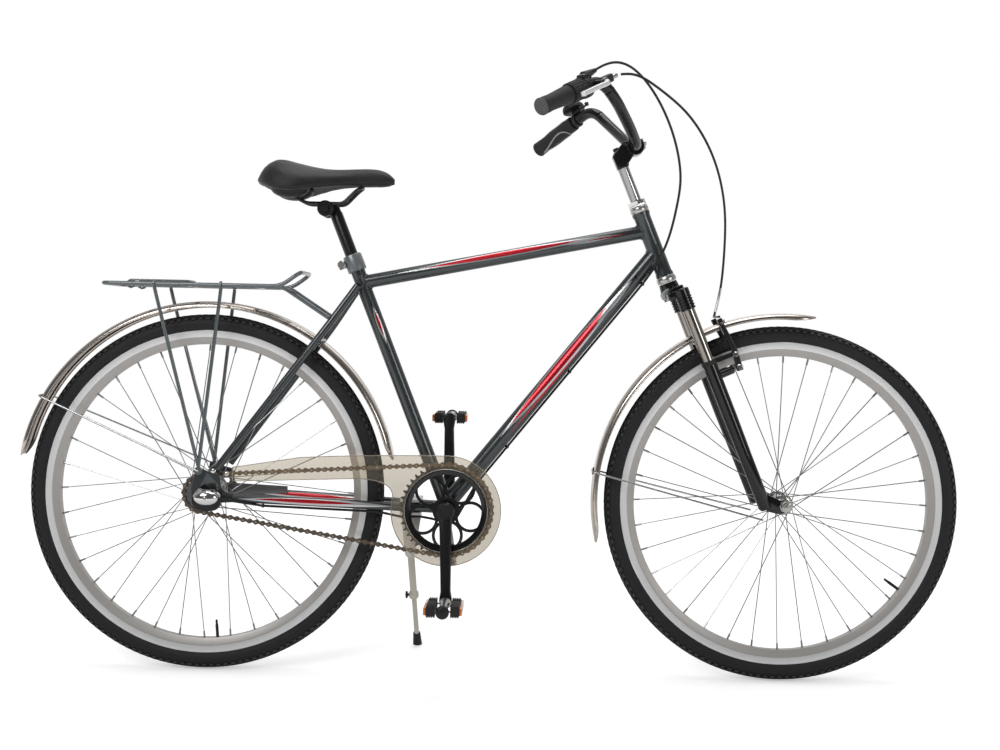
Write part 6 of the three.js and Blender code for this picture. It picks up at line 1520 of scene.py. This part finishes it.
def chain_pins():
    """The places of the chain's pins, in the upright bicycle's X and Z."""
    large, small = pitch_radius(CHAIN["large"]), pitch_radius(CHAIN["small"])
    front, rear = Vector((BRACKET[0], BRACKET[2])), Vector((REAR_AXLE[0], REAR_AXLE[2]))
    slope = atan2(front.y - rear.y, front.x - rear.x)
    between = (front - rear).length
    lift = asin((large - small) / between)
    straight_run = between * cos(lift)
    front_half, rear_half = large * (pi / 2 + lift), small * (pi / 2 - lift)
    whole = 2 * (straight_run + front_half + rear_half)

    def on_wheel(centre, radius, turn):
        return centre + Vector((cos(turn), sin(turn))) * radius

    pins = []
    for i in range(CHAIN["links"]):
        run = whole * i / CHAIN["links"]
        side = -1 if run > whole / 2 else 1
        along = whole - run if side < 0 else run
        if along < front_half:
            pins.append(on_wheel(front, large, slope + side * along / large))
            continue
        share = (along - front_half) / straight_run
        turn = slope + side * (pi / 2 + lift)
        if share < 1:
            pins.append(on_wheel(front, large, turn).lerp(on_wheel(rear, small, turn), share))
        else:
            pins.append(on_wheel(rear, small, turn + side * (along - front_half - straight_run) / small))
    return pins


def chain_link(name, low, high):
    """Two waisted side plates with the pin or roller at one end."""
    radius, waist, pitch = 4.7, 1.7, CHAIN["pitch"]
    ends = [(radius * cos(radians(t)), radius * sin(radians(t))) for t in range(80, 281, 25)]
    outline = [*ends, (pitch / 2, -waist), *[(pitch - x, z) for x, z in reversed(ends)], (pitch / 2, waist)]
    plates = [slab(name, outline, *sorted((side * low, side * high)), 0) for side in (-1, 1)]
    pin = turned(f"{name}_pin", [(0, -high - 0.3), (2, -high - 0.3), (2, high + 0.3), (0, high + 0.3)], 6)
    for piece in plates:
        piece.data.materials.append(FINISHES["chain"])
    pin.data.materials.append(FINISHES["chain_pin"])
    return joined(name, *plates, pin)


def chain():
    models = [chain_link("chain_outer_link", 2.8, 3.8), chain_link("chain_inner_link", 1.7, 2.7)]
    pins = chain_pins()
    copies = []
    for i, pin in enumerate(pins):
        following = pins[(i + 1) % len(pins)]
        way = following - pin
        copy = models[i % 2].copy()
        copy.data = copy.data.copy()
        bpy.context.collection.objects.link(copy)
        copy.data.transform(placed((pin.x, -CHAIN["line"], pin.y)) @ turn_y(-atan2(way.y, way.x)))
        copies.append(copy)
    for model in models:
        bpy.data.objects.remove(model)
    finished(joined("chain_links", *copies), BIKE, None, "frame", ["chain"])


def drive():
    chainring()
    chain()
    for name, sign in SIDES:
        crank_arm(name, sign)
        pedal(name, sign)
    cups = []
    for sign in (-1, 1):
        profile = [(9.4, 38.2), (17, 38.2), (19, 37), (19, 34.4), (9.4, 34.4)]
        cups.append(turned("bracket_cup", [(radius, sign * place) for radius, place in profile], 12))
    finished(
        joined("bracket_cups", *cups), BIKE @ placed(BRACKET), "satin_black", "frame",
        ["bottom_bracket_unit"])


# Chain guard
def guard_outline(inset):
    """The guard's outline of (x, z) points, drawn in by an inset."""
    guard = CHAIN_GUARD
    radius = guard["radius"] - inset
    middle = Vector((BRACKET[0], BRACKET[2]))

    def on_disc(angle):
        return middle + Vector((cos(radians(angle)), sin(radians(angle)))) * radius

    def curve(start, pull, end, steps=10):
        return [start.lerp(pull, k / steps).lerp(pull.lerp(end, k / steps), k / steps) for k in range(steps)]

    rear = guard["rear"] + inset
    dip = Vector((guard["dip_at"], guard["dip"] + inset))
    meet, top = on_disc(guard["meet"]), on_disc(guard["top"])
    rise = Vector((guard["rise_at"], guard["rise"] - inset))
    points = [Vector((rear, guard["rear_bottom"] + inset)), *curve(dip, Vector((meet.x, dip.y)), meet)]
    steps = 48
    sweep = 360 + guard["top"] - guard["meet"]
    points += [on_disc(guard["meet"] + sweep * k / steps) for k in range(steps)]
    points += curve(top, Vector(((top.x + rise.x) / 2, top.y)), rise, 14)
    return [*points, rise, Vector((rear, guard["rear_top"] - inset))]


def ringed_sheet(name, outline, opening, place):
    """A flat sheet inside an outline, round an opening at the bracket, at a place along Y."""
    edge = [Vector(point) for point in outline]
    middle = Vector((BRACKET[0], BRACKET[2]))
    obj = trace(name, [(point.x, place, point.y) for point in edge], closed=True)
    bpy.ops.object.mode_set(mode="OBJECT")
    steps = 72
    hole = trace(f"{name}_hole", [(
        middle.x + opening * cos(2 * pi * k / steps), place, middle.y + opening * sin(2 * pi * k / steps),
    ) for k in range(steps)], closed=True)
    bpy.ops.object.mode_set(mode="OBJECT")
    sheet = joined(name, obj, hole)
    bpy.ops.object.mode_set(mode="EDIT")
    bpy.ops.mesh.select_all(action="SELECT")
    bpy.ops.mesh.fill(use_beauty=True)
    return sheet


def chain_guard():
    """The clear sheet with its wall, the wire that edges it, and a steel ring at its opening that is a
    painted highlight of the clear lip's edge.
    """
    guard = CHAIN_GUARD
    sheet = ringed_sheet("chain_guard_shell", guard_outline(1.2), guard["opening"], -guard["face"])
    close_mesh()
    use_modifier(sheet, "SOLIDIFY", thickness=guard["sheet"] * MM, offset=0.0)
    shifted(sheet, (0, guard["sheet"] / 2 + 0.2, 0))
    low = -guard["face"] + 0.4
    wall = trace("chain_guard_wall", [(point.x, low, point.y) for point in guard_outline(0.3)], closed=True)
    bpy.ops.mesh.extrude_region_move(TRANSFORM_OT_translate={"value": at(0, guard["depth"] - 0.7, 0)})
    close_mesh()
    use_modifier(wall, "SOLIDIFY", thickness=1.4 * MM, offset=-1.0)
    smooth(wall, radians(40))
    ring = turned_piece("chain_guard_lip", 96)
    shifted(ring, BRACKET)
    border = wire("chain_guard_edge", [
        (point.x, -guard["face"] + 0.9, point.y) for point in guard_outline(1)
    ], 0.8, 1, cyclic=True)
    # A steel wire ring round the opening stands in for the highlight on the clear lip's edge: a painted
    # highlight.
    painted_highlight_ring = [(
        BRACKET[0] + 80.6 * cos(2 * pi * k / 90), -56.4, BRACKET[2] + 80.6 * sin(2 * pi * k / 90),
    ) for k in range(90)]
    finished(border, BIKE, "guard_edge", "frame")
    finished(wire("chain_guard_opening_edge", painted_highlight_ring, 0.8, 1, cyclic=True), BIKE, "steel", "frame")
    finished(sheet, BIKE, "smoked", "frame", ["chain_guard"])
    finished(wall, BIKE, "smoked", "frame")
    finished(ring, BIKE, "smoked", "frame")


def chain_guard_fittings():
    """The strap to the bracket and the screwed tab at the chain stay."""
    arm = block("chain_guard_strap", (19.6, -39, -6), (106, -37, 6), 0.6)
    hook = block("chain_guard_hook", (104, -55, -6), (106, -37, 6), 0.6)
    bracket = joined("chain_guard_bracket", arm, hook)
    bracket.data.transform(turn_y(CHAIN_GUARD["strap_turn"]))
    finished(shifted(bracket, BRACKET), BIKE, "steel", "frame")
    screw = turned_piece("chain_guard_screw", 20)
    tab = block("chain_guard_tab", (41.5, -56.8, 385.6), (62, -55.2, 395.4), 0.5)
    finished(tab, BIKE, "smoked", "frame")
    finished(shifted(screw, (48, -54.8, 390.5)), BIKE, "bright", "frame")


# Mudguards
def mudguard(name, body):
    """A spun strip with rolled edges and narrowed ends."""
    start, end, _ = [radians(value) for value in GUARD_ARCS[name]]
    radius, half, drop = MUDGUARD["radius"], MUDGUARD["half"], MUDGUARD["drop"]
    side = [
        (radius - drop, half - 0.4), (radius - drop + 1.6, half), (radius - 5, half * 0.93),
        (radius - 1.6, half * 0.72), (radius - 0.2, half * 0.4),
    ]
    section = [*side, *[(r, -y) for r, y in reversed(side)]]
    steps = round((end - start) / radians(1))
    obj = trace(f"{name}_mudguard_strip", [(0, y, r) for r, y in section])
    bpy.ops.mesh.spin(steps=steps, angle=end - start, center=(0, 0, 0), axis=(0, 1, 0))
    close_mesh()
    obj.data.transform(turn_y(pi / 2 - start))

    def tongue(turn):
        away = max(0, 1 - min(turn - start, end - turn) / MUDGUARD["tongue"])
        return 1 - 0.5 * away**3

    for corner in obj.data.vertices:
        out, turn = hypot(corner.co.x, corner.co.z), atan2(corner.co.z, corner.co.x) % (2 * pi)
        narrowed = tongue(turn)
        reach = radius * MM - (radius * MM - out) * narrowed**2
        corner.co = (corner.co.x * reach / out, corner.co.y * narrowed, corner.co.z * reach / out)
    use_modifier(obj, "SOLIDIFY", thickness=1.1 * MM, offset=-1.0)
    smooth(obj, radians(50))
    edges = []
    for y in (-half + 0.9, half - 0.9):
        points = []
        for k in range(steps + 1):
            turn = start + (end - start) * k / steps
            narrowed = tongue(turn)
            reach = radius - (drop - 0.6) * narrowed**2
            points.append((reach * cos(turn), y * narrowed, reach * sin(turn)))
        edges.append(wire("mudguard_edge", points, 1.3, 2))
    strip = joined(f"{name}_mudguard_strip", obj, *edges)
    finished(strip, WHEELS[name], "chrome", body, [f"{name}_mudguard"])


def mudguard_stay(name, body):
    """The wire stay round the strip, with the clip that holds it."""
    centre, stay = WHEELS[name], radians(GUARD_ARCS[name][2])
    radius = MUDGUARD["radius"]
    reach = radius + 2.6
    crown = Vector((reach * cos(stay), 0, reach * sin(stay)))
    shoulder = crown + Vector((0, MUDGUARD["half"] + 2.4, 0))
    foot = Vector(STAY_FEET[name])
    half_route = rounded([foot, shoulder, crown], 9, 6)
    route = [*half_route, *mirror_y(reversed(half_route[:-1]))]
    finished(wire(f"{name}_mudguard_stay", route, 1.9, 3), centre, "quill", body)
    clip = block(f"{name}_mudguard_clip", (-7, -7, -2.2), (7, 7, 1.4), 0.8)
    clip.data.transform(turn_y(pi / 2 - stay))
    shifted(clip, (crown.x * (radius + 0.6) / reach, 0, crown.z * (radius + 0.6) / reach))
    finished(clip, centre, "satin_black", body)


def front_tab():
    tab = block("front_mudguard_tab", (6, -11, 357.9), (9, 11, 371), 0.6)
    finished(tab, STEER, "steel", "fork_lowers")


# Carrier
def carrier_top():
    """The deck's loop, its cross rods and the struts to the seat stays."""
    rear, front, height, half, rod = [CARRIER[key] for key in ("rear", "front", "height", "half", "rod")]
    reach, rise = front + CARRIER["loop_reach"], height + CARRIER["loop_rise"]
    joint, cross, strut_foot = CARRIER["joint"], CARRIER["cross"], CARRIER["strut_foot"]
    loop = [
        (joint, half, height), (rear, half, height), (rear, -half, height), (front, -half, height),
        (reach, -half, rise),
        (reach, half, rise), (front, half, height), (joint, half, height),
    ]
    rods = [wire("carrier_loop", rounded(loop, 18, 6)[:-1], rod, 4, cyclic=True)]
    for x in cross:
        rods.append(wire("carrier_cross_rod", [(x, -half, height), (x, half, height)], rod, 4))
    for sign in (-1, 1):
        inner = sign * CARRIER["inner"]
        rods.append(wire(
            "carrier_inner_rod", [(cross[0], inner, height), (cross[-1], inner, height)], rod, 4))
        out = sign * CARRIER["strut"]
        rods.append(wire("carrier_strut", rounded(
            [(cross[-1], out, height), (front, out, height), (strut_foot[0], out, strut_foot[1])], 14,
        ), rod, 4))
    finished(joined("carrier_top", *rods), BIKE, "carrier", "frame", ["carrier_deck"])


def carrier_legs(name, sign):
    """One side's two legs with their loops, eye and screw."""
    half, height = CARRIER["half"], CARRIER["height"]
    legs = []
    for x in CARRIER["legs"]:
        foot = Vector((-4, sign * 68, 405))
        shoulder = Vector((x + (-4 - x) / 16, sign * half, 728))
        legs.append(wire(
            "carrier_leg_rod", rounded([(x, sign * half, 751), shoulder, foot], 9), CARRIER["leg"], 4))
        loop = turned_piece("carrier_leg_loop", 24)
        loop.data.transform(Matrix.Rotation(pi / 2, 4, "Z"))
        legs.append(shifted(loop, (x, sign * half, height)))
    low, high = sorted((sign * 63.2, sign * 72))
    eye = turned("carrier_eye", [
        (3, low), (7.4, low), (7.9, low + 0.8), (7.9, high - 0.8), (7.4, high), (3, high),
    ], 32)
    legs.append(shifted(eye, (-4, 0, 397)))
    screw = turned("carrier_screw", [(0, sign * 60), (2.6, sign * 60), (2.6, sign * 73), (0, sign * 73)], 24)
    finished(shifted(screw, (-4, 0, 397)), BIKE, "steel", "frame")
    finished(
        joined(f"carrier_legs_{name}", *legs), BIKE, "carrier", "frame", [f"carrier_leg_{name}"])


def carrier():
    carrier_top()
    for name, sign in SIDES:
        carrier_legs(name, sign)
    clip = refined("carrier_clip", "carrier", 0, radians(60))
    tied(clip, "carrier_clip", ["carrier_clip"])


# Rear end
def rear_end():
    """The gear cover with its black base, the bolts, and the rear parts that keep their solids' shapes."""
    dome = turned_piece("gear_cover_dome", 64)
    dome.data.transform(Matrix.Diagonal((1.6, 1, 1, 1)))
    base = slab("gear_cover_base", SHAPES["gear_cover_base"], -84, -67.4, 3)
    finished(shifted(dome, (15, 0, 346.4)), BIKE, "bright", "frame", ["gear_cover"])
    finished(base, BIKE, "plastic", "frame")
    screw = turned_piece("gear_cover_screw", 24)
    finished(shifted(screw, (15, 0, 346.4)), BIKE, "steel", "frame")
    bolts = []
    for x, z in ((-3, 398), (24, 397)):
        head = turned_piece("dropout_bolt", 20)
        bolts.append(shifted(head, (x, 0, z)))
    finished(joined("dropout_bolts", *bolts), BIKE, "bright", "frame")
    for node, finish, body in (
        ("coaster_brake_arm", "dark_steel", "frame"), ("rear_axle", "steel", "frame"),
        ("front_axle", "steel", "fork_lowers"), ("rear_sprocket", "dark_steel", "sprocket"),
    ):
        tied(refined(node, finish, 0.4), body, [node])


def bracket_spindle():
    """The spindle's solid stays as it is, with its finish."""
    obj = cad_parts["bottom_bracket_spindle"]
    obj.data.materials.clear()
    obj.data.materials.append(FINISHES["steel"])


# Side stand
def stand():
    pivot, foot = Vector(STAND["pivot"]), Vector(STAND["foot"])
    axis = (foot - pivot).normalized()
    length = (foot - pivot).length
    turn = Vector((0, 0, 1)).rotation_difference(-axis).to_matrix().to_4x4()
    place = BIKE @ placed(pivot) @ turn
    leg = along_z(turned_piece("stand_upper_tube"))
    head_turn = turn.inverted() @ Matrix.Rotation(radians(15), 4, "X")
    head = turned_piece("stand_head", 40)
    head.data.transform(head_turn)
    finished(joined("stand_upper", leg, head), place, "beige", "stand", ["stand_leg"])
    thumb = turned_piece("stand_screw", 12)
    thumb.data.transform(Matrix.Rotation(pi / 2, 4, "Z"))
    finished(shifted(thumb, (-9, 0, -116)), place, "plastic", "stand")
    inner = along_z(turned("stand_inner_tube", [
        (0, 62), (4.4, 62), (4.9, 63), (4.9, length - 12), (0, length - 12),
    ], 40))
    finished(inner, place, "beige", "stand_extension", ["stand_extension"])
    shoe = along_z(turned("stand_foot", [
        (0, length - 34), (6.4, length - 34), (7.4, length - 33), (8.4, length - 18), (9, length - 8),
        (9.8, length + 8), (11.4, length + 20), (13.4, length + 26), (13.4, length + 30), (0, length + 30),
    ], 48))
    activate(shoe)
    shoe.data.transform(place)
    bpy.ops.object.mode_set(mode="EDIT")
    bpy.ops.mesh.select_all(action="SELECT")
    bpy.ops.mesh.bisect(plane_co=(0, 0, 0.0002), plane_no=(0, 0, -1), clear_outer=True, use_fill=True)
    close_mesh()
    tied(smooth(shoe), "stand_extension")
    shoe.data.materials.clear()
    shoe.data.materials.append(FINISHES["rubber"])
    tied(refined("stand_bracket", "steel", 0.8), "frame", ["stand_bracket"])


# Cables
def cable_clip(point, way):
    """A small clip round the cable at a point."""
    ring = turned_piece("cable_clip", 24)
    ring.data.transform(Vector((0, 1, 0)).rotation_difference(Vector(way)).to_matrix().to_4x4())
    finished(shifted(ring, point), BIKE, "plastic", "frame")


def cables():
    foot, head, _ = TUBES["down_tube"]
    way = (head - foot).normalized()
    under = Vector((way.z, 0, -way.x)) * (DOWN_TUBE["radius"] + CABLE_OFFSET)
    on_tube = [foot.lerp(head, share) + under for share in (0.85, 0.6)]
    stay_root = Vector((BRACKET[0], -CHAIN_STAY["out"], BRACKET[2]))
    stay_tip = Vector(mirror_y([CHAIN_STAY["tip"]])[0])
    stay_run = []
    for x in (340, 120):
        share = (BRACKET[0] - x) / (BRACKET[0] - stay_tip.x)
        drop = Vector((0, 0, CHAIN_STAY["radius"] + CABLE_OFFSET))
        stay_run.append(stay_root.lerp(stay_tip, share) - drop)
    route = [
        *flowing([*SHIFT_LOOP, *on_tube], 10, CABLE_EASE), foot.lerp(head, 0.1) + under,
        *[Vector(point) for point in SHIFT_LOW], *stay_run, Vector((40.4, -79.5, 345)),
    ]
    shift = wire("shift_cable_housing", route, setting("cable_radius") / MM, 3)
    finished(shift, BIKE, "plastic", None, ["shift_cable"])
    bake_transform(shift)
    free = [tuple(in_steering(point)) for point in BRAKE_LOOP]
    brake_route = flowing([*free, (66, 40, 388.5)], 10, CABLE_EASE)
    brake = wire("brake_cable_housing", [
        *brake_route, Vector((66, 0, 388.5)), Vector((66, -40, 388.5)),
    ], setting("cable_radius") / MM, 3)
    sleeve = [point for point in brake_route if 396 < point.z < 440]
    finished(wire("brake_noodle", sleeve, CABLE + 0.4, 4), STEER, "steel", "fork_lowers")
    finished(brake, STEER, "plastic", None, ["brake_cable"])
    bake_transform(brake)
    for share in (0.9, 0.55, 0.25):
        cable_clip(foot.lerp(head, share) + under, way)
    stay_way = (stay_tip - stay_root).normalized()
    for point in stay_run:
        cable_clip(point, stay_way)


# Stage
def stage_camera():
    """The camera at the photograph's place, rolled as it was held."""
    c, s = cos(CAMERA["roll"]), sin(CAMERA["roll"])
    turn = Matrix(((c, -s, 0), (0, 0, -1), (s, c, 0))).to_4x4()
    camera = bpy.data.objects.new("camera", bpy.data.cameras.new("camera"))
    camera.data.lens = setting("lens")
    camera.data.sensor_width = SENSOR_WIDTH
    camera.data.shift_x, camera.data.shift_y = CAMERA["shift"]
    camera.data.clip_end = VIEW_END
    bpy.context.collection.objects.link(camera)
    camera.matrix_world = BIKE @ placed(CAMERA["at"]) @ turn
    bpy.context.scene.camera = camera


def stage_lights():
    for name, place, size, power in LIGHTS:
        light = bpy.data.objects.new(name, bpy.data.lights.new(name, "AREA"))
        light.data.energy = power
        light.data.size = size
        light.location = place
        light.rotation_euler = (Vector(LIT_POINT) - Vector(place)).to_track_quat("-Z", "Y").to_euler()
        bpy.context.collection.objects.link(light)


def stage():
    """The camera, the lights and a white floor that keeps the bicycle's shadow."""
    stage_camera()
    stage_lights()
    bpy.context.scene.world = room_world()
    bpy.ops.mesh.primitive_plane_add(size=FLOOR_SIZE)
    floor = bpy.context.object
    floor.name = floor.data.name = "floor"
    floor.location.z = -FLOOR_DROP
    floor.data.materials.append(floor_material())
    bpy.context.scene.view_settings.view_transform = "Standard"


def floor_material():
    """White paper that keeps the bicycle's shadow and fades into the white room far away."""
    material = bpy.data.materials.new("floor_white")
    material.use_nodes = True
    tree = material.node_tree
    paper = tree.nodes["Principled BSDF"]
    paper.inputs["Base Color"].default_value = FLOOR_WHITE
    paper.inputs["Roughness"].default_value = 0.9
    paper.inputs["Specular IOR Level"].default_value = 0.1
    path = add_node(tree, "ShaderNodeLightPath").outputs
    lift = math_node(tree, "MULTIPLY", path["Is Camera Ray"], FLOOR_LIFT)
    paper.inputs["Emission Color"].default_value = WHITE
    tree.links.new(lift, paper.inputs["Emission Strength"])
    place = add_node(tree, "ShaderNodeTexCoord").outputs["Object"]
    away = add_node(tree, "ShaderNodeVectorMath", {0: place}, operation="LENGTH").outputs["Value"]
    fade = share_between(tree, away, FLOOR_FADE)
    glow = add_node(tree, "ShaderNodeEmission", {"Color": WHITE, "Strength": 1.0}).outputs[0]
    both = add_node(tree, "ShaderNodeMixShader", {0: fade, 1: paper.outputs[0], 2: glow}).outputs[0]
    tree.links.new(both, tree.nodes["Material Output"].inputs["Surface"])
    return material


def room_world():
    """A soft room for light and reflections, plain white to the camera, also through the guard."""
    world = bpy.data.worlds.new("white_room")
    world.use_nodes = True
    tree = world.node_tree
    path = add_node(tree, "ShaderNodeLightPath").outputs
    seen = math_node(tree, "MAXIMUM", path["Is Camera Ray"], path["Is Transmission Ray"])
    way = add_node(tree, "ShaderNodeTexCoord").outputs["Generated"]
    depth = add_node(tree, "ShaderNodeSeparateXYZ", {0: way}).outputs["Y"]
    room = mixed_value(tree, share_between(tree, depth, DARK_EDGE), DARK_SIDE, setting("light"))
    shown = mixed_value(tree, seen, room, 1.0)
    tree.nodes["Background"].inputs["Color"].default_value = WHITE
    tree.links.new(shown, tree.nodes["Background"].inputs["Strength"])
    return world


# Settings and operators
class BicycleSettings(bpy.types.PropertyGroup):
    frame_color: bpy.props.FloatVectorProperty(
        name="Frame colour", description="Lacquer of the frame tubes",
        default=FRAME_GRAPHITE, subtype="COLOR", min=0, max=1)
    stripe_color: bpy.props.FloatVectorProperty(
        name="Stripe colour", description="The red stripes on the frame tubes",
        default=STRIPE_RED, subtype="COLOR", min=0, max=1)
    pale_stripe_color: bpy.props.FloatVectorProperty(
        name="Pale stripe colour", description="The silver stripes round the red ones",
        default=STRIPE_SILVER, subtype="COLOR", min=0, max=1)
    stand_color: bpy.props.FloatVectorProperty(
        name="Stand colour", description="Paint of the side stand",
        default=STAND_BEIGE, subtype="COLOR", min=0, max=1)
    guard_color: bpy.props.FloatVectorProperty(
        name="Guard colour", description="Tint of the clear chain guard",
        default=GUARD_SMOKE, subtype="COLOR", min=0, max=1)
    tread_depth: bpy.props.FloatProperty(
        name="Tread depth", description="Height of the tyres' blocks",
        default=TYRE["knob"] * MM, min=0.0005, max=0.003, unit="LENGTH")
    weld_radius: bpy.props.FloatProperty(
        name="Weld radius", description="Half thickness of the weld beads",
        default=BEAD * MM, min=0.001, max=0.004, unit="LENGTH")
    cable_radius: bpy.props.FloatProperty(
        name="Cable radius", description="Half thickness of the cable housings",
        default=CABLE * MM, min=0.0015, max=0.003, unit="LENGTH")
    grip_ribs: bpy.props.IntProperty(
        name="Grip ribs", description="Ribs round the twist grip", default=TWIST["ribs"], min=8, max=40)
    lens: bpy.props.FloatProperty(
        name="Lens", description="Focal length of the camera", default=CAMERA["lens"],
        min=20, max=200, unit="CAMERA")
    light: bpy.props.FloatProperty(
        name="Light", description="Strength of the room's light", default=ROOM_LIGHT, min=0, max=2)


def setting(name):
    value = getattr(bpy.context.scene.bicycle, name)
    return tuple(value) if hasattr(value, "__len__") else value


class BICYCLE_OT_finishes(bpy.types.Operator):
    """Makes the paints, metals, rubbers and plastics"""

    bl_idname = "bicycle.finishes"
    bl_label = "Finishes"

    def execute(self, context):
        FINISHES.update(bicycle_finishes())
        bracket_spindle()
        return {"FINISHED"}


class BICYCLE_OT_wheels(bpy.types.Operator):
    """Models both wheels with tyres, rims, hubs and laced spokes"""

    bl_idname = "bicycle.wheels"
    bl_label = "Wheels"

    def execute(self, context):
        wheel("rear", "rear_wheel")
        wheel("front", "front_wheel")
        return {"FINISHED"}


class BICYCLE_OT_frame(bpy.types.Operator):
    """Models the frame's tubes, welds, dropouts and seat collar"""

    bl_idname = "bicycle.frame"
    bl_label = "Frame"

    def execute(self, context):
        frame_tubes()
        return {"FINISHED"}


class BICYCLE_OT_fork(bpy.types.Operator):
    """Models the sprung fork and the headset"""

    bl_idname = "bicycle.fork"
    bl_label = "Fork"

    def execute(self, context):
        fork_crown()
        stanchions()
        fork_lower()
        headset()
        return {"FINISHED"}


class BICYCLE_OT_brake(bpy.types.Operator):
    """Models the front brake's arms and its lever"""

    bl_idname = "bicycle.brake"
    bl_label = "Brake"

    def execute(self, context):
        brake_arm("right", -1)
        brake_arm("left", 1)
        brake_lever()
        return {"FINISHED"}


class BICYCLE_OT_handlebar(bpy.types.Operator):
    """Models the stem, the bar, its grips, the twist shifter and the bell"""

    bl_idname = "bicycle.handlebar"
    bl_label = "Handlebar"

    def execute(self, context):
        stem()
        handlebar()
        grips()
        shifter()
        bell()
        return {"FINISHED"}


class BICYCLE_OT_saddle(bpy.types.Operator):
    """Models the saddle, its rails and clamp, and the seatpost"""

    bl_idname = "bicycle.saddle"
    bl_label = "Saddle"

    def execute(self, context):
        saddle_cover()
        saddle_bolsters()
        saddle_rails()
        seatpost()
        saddle_clamp()
        return {"FINISHED"}


class BICYCLE_OT_drive(bpy.types.Operator):
    """Models the cranks, pedals and chainring, and the rear end's fittings"""

    bl_idname = "bicycle.drive"
    bl_label = "Drive"

    def execute(self, context):
        drive()
        rear_end()
        return {"FINISHED"}


class BICYCLE_OT_chain_guard(bpy.types.Operator):
    """Models the clear chain guard"""

    bl_idname = "bicycle.chain_guard"
    bl_label = "Chain Guard"

    def execute(self, context):
        chain_guard()
        chain_guard_fittings()
        return {"FINISHED"}


class BICYCLE_OT_mudguards(bpy.types.Operator):
    """Models the mudguards and their stays"""

    bl_idname = "bicycle.mudguards"
    bl_label = "Mudguards"

    def execute(self, context):
        for name, body in (("rear", "frame"), ("front", "fork_lowers")):
            mudguard(name, body)
            mudguard_stay(name, body)
        front_tab()
        return {"FINISHED"}


class BICYCLE_OT_carrier(bpy.types.Operator):
    """Models the carrier, its legs and its spring clip"""

    bl_idname = "bicycle.carrier"
    bl_label = "Carrier"

    def execute(self, context):
        carrier()
        return {"FINISHED"}


class BICYCLE_OT_stand(bpy.types.Operator):
    """Models the side stand"""

    bl_idname = "bicycle.stand"
    bl_label = "Side Stand"

    def execute(self, context):
        stand()
        return {"FINISHED"}


class BICYCLE_OT_cables(bpy.types.Operator):
    """Models the shifter's and the brake's cables with their clips"""

    bl_idname = "bicycle.cables"
    bl_label = "Cables"

    def execute(self, context):
        cables()
        return {"FINISHED"}


class BICYCLE_OT_stage(bpy.types.Operator):
    """Sets the camera, the lights and the floor"""

    bl_idname = "bicycle.stage"
    bl_label = "Stage"

    def execute(self, context):
        stage()
        return {"FINISHED"}


OPERATORS = (
    BICYCLE_OT_finishes, BICYCLE_OT_wheels, BICYCLE_OT_frame, BICYCLE_OT_fork, BICYCLE_OT_brake,
    BICYCLE_OT_handlebar, BICYCLE_OT_saddle, BICYCLE_OT_drive, BICYCLE_OT_chain_guard, BICYCLE_OT_mudguards,
    BICYCLE_OT_carrier, BICYCLE_OT_stand, BICYCLE_OT_cables, BICYCLE_OT_stage,
)


class BICYCLE_PT_pieces(bpy.types.Panel):
    bl_idname = "BICYCLE_PT_pieces"
    bl_label = "Touring Bicycle"
    bl_space_type = "VIEW_3D"
    bl_region_type = "UI"
    bl_category = "Bicycle"

    def draw(self, context):
        layout = self.layout
        for name in BicycleSettings.__annotations__:
            layout.prop(context.scene.bicycle, name)
        for operator in OPERATORS:
            layout.operator(operator.bl_idname)


CLASSES = (BicycleSettings, *OPERATORS, BICYCLE_PT_pieces)


def register():
    for item in CLASSES:
        bpy.utils.register_class(item)
    bpy.types.Scene.bicycle = bpy.props.PointerProperty(type=BicycleSettings)


def unregister():
    del bpy.types.Scene.bicycle
    for item in reversed(CLASSES):
        bpy.utils.unregister_class(item)


def main():
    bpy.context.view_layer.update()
    register()
    for operator in OPERATORS:
        group, name = operator.bl_idname.split(".")
        getattr(getattr(bpy.ops, group), name)()


if __name__ == "__main__":
    main()
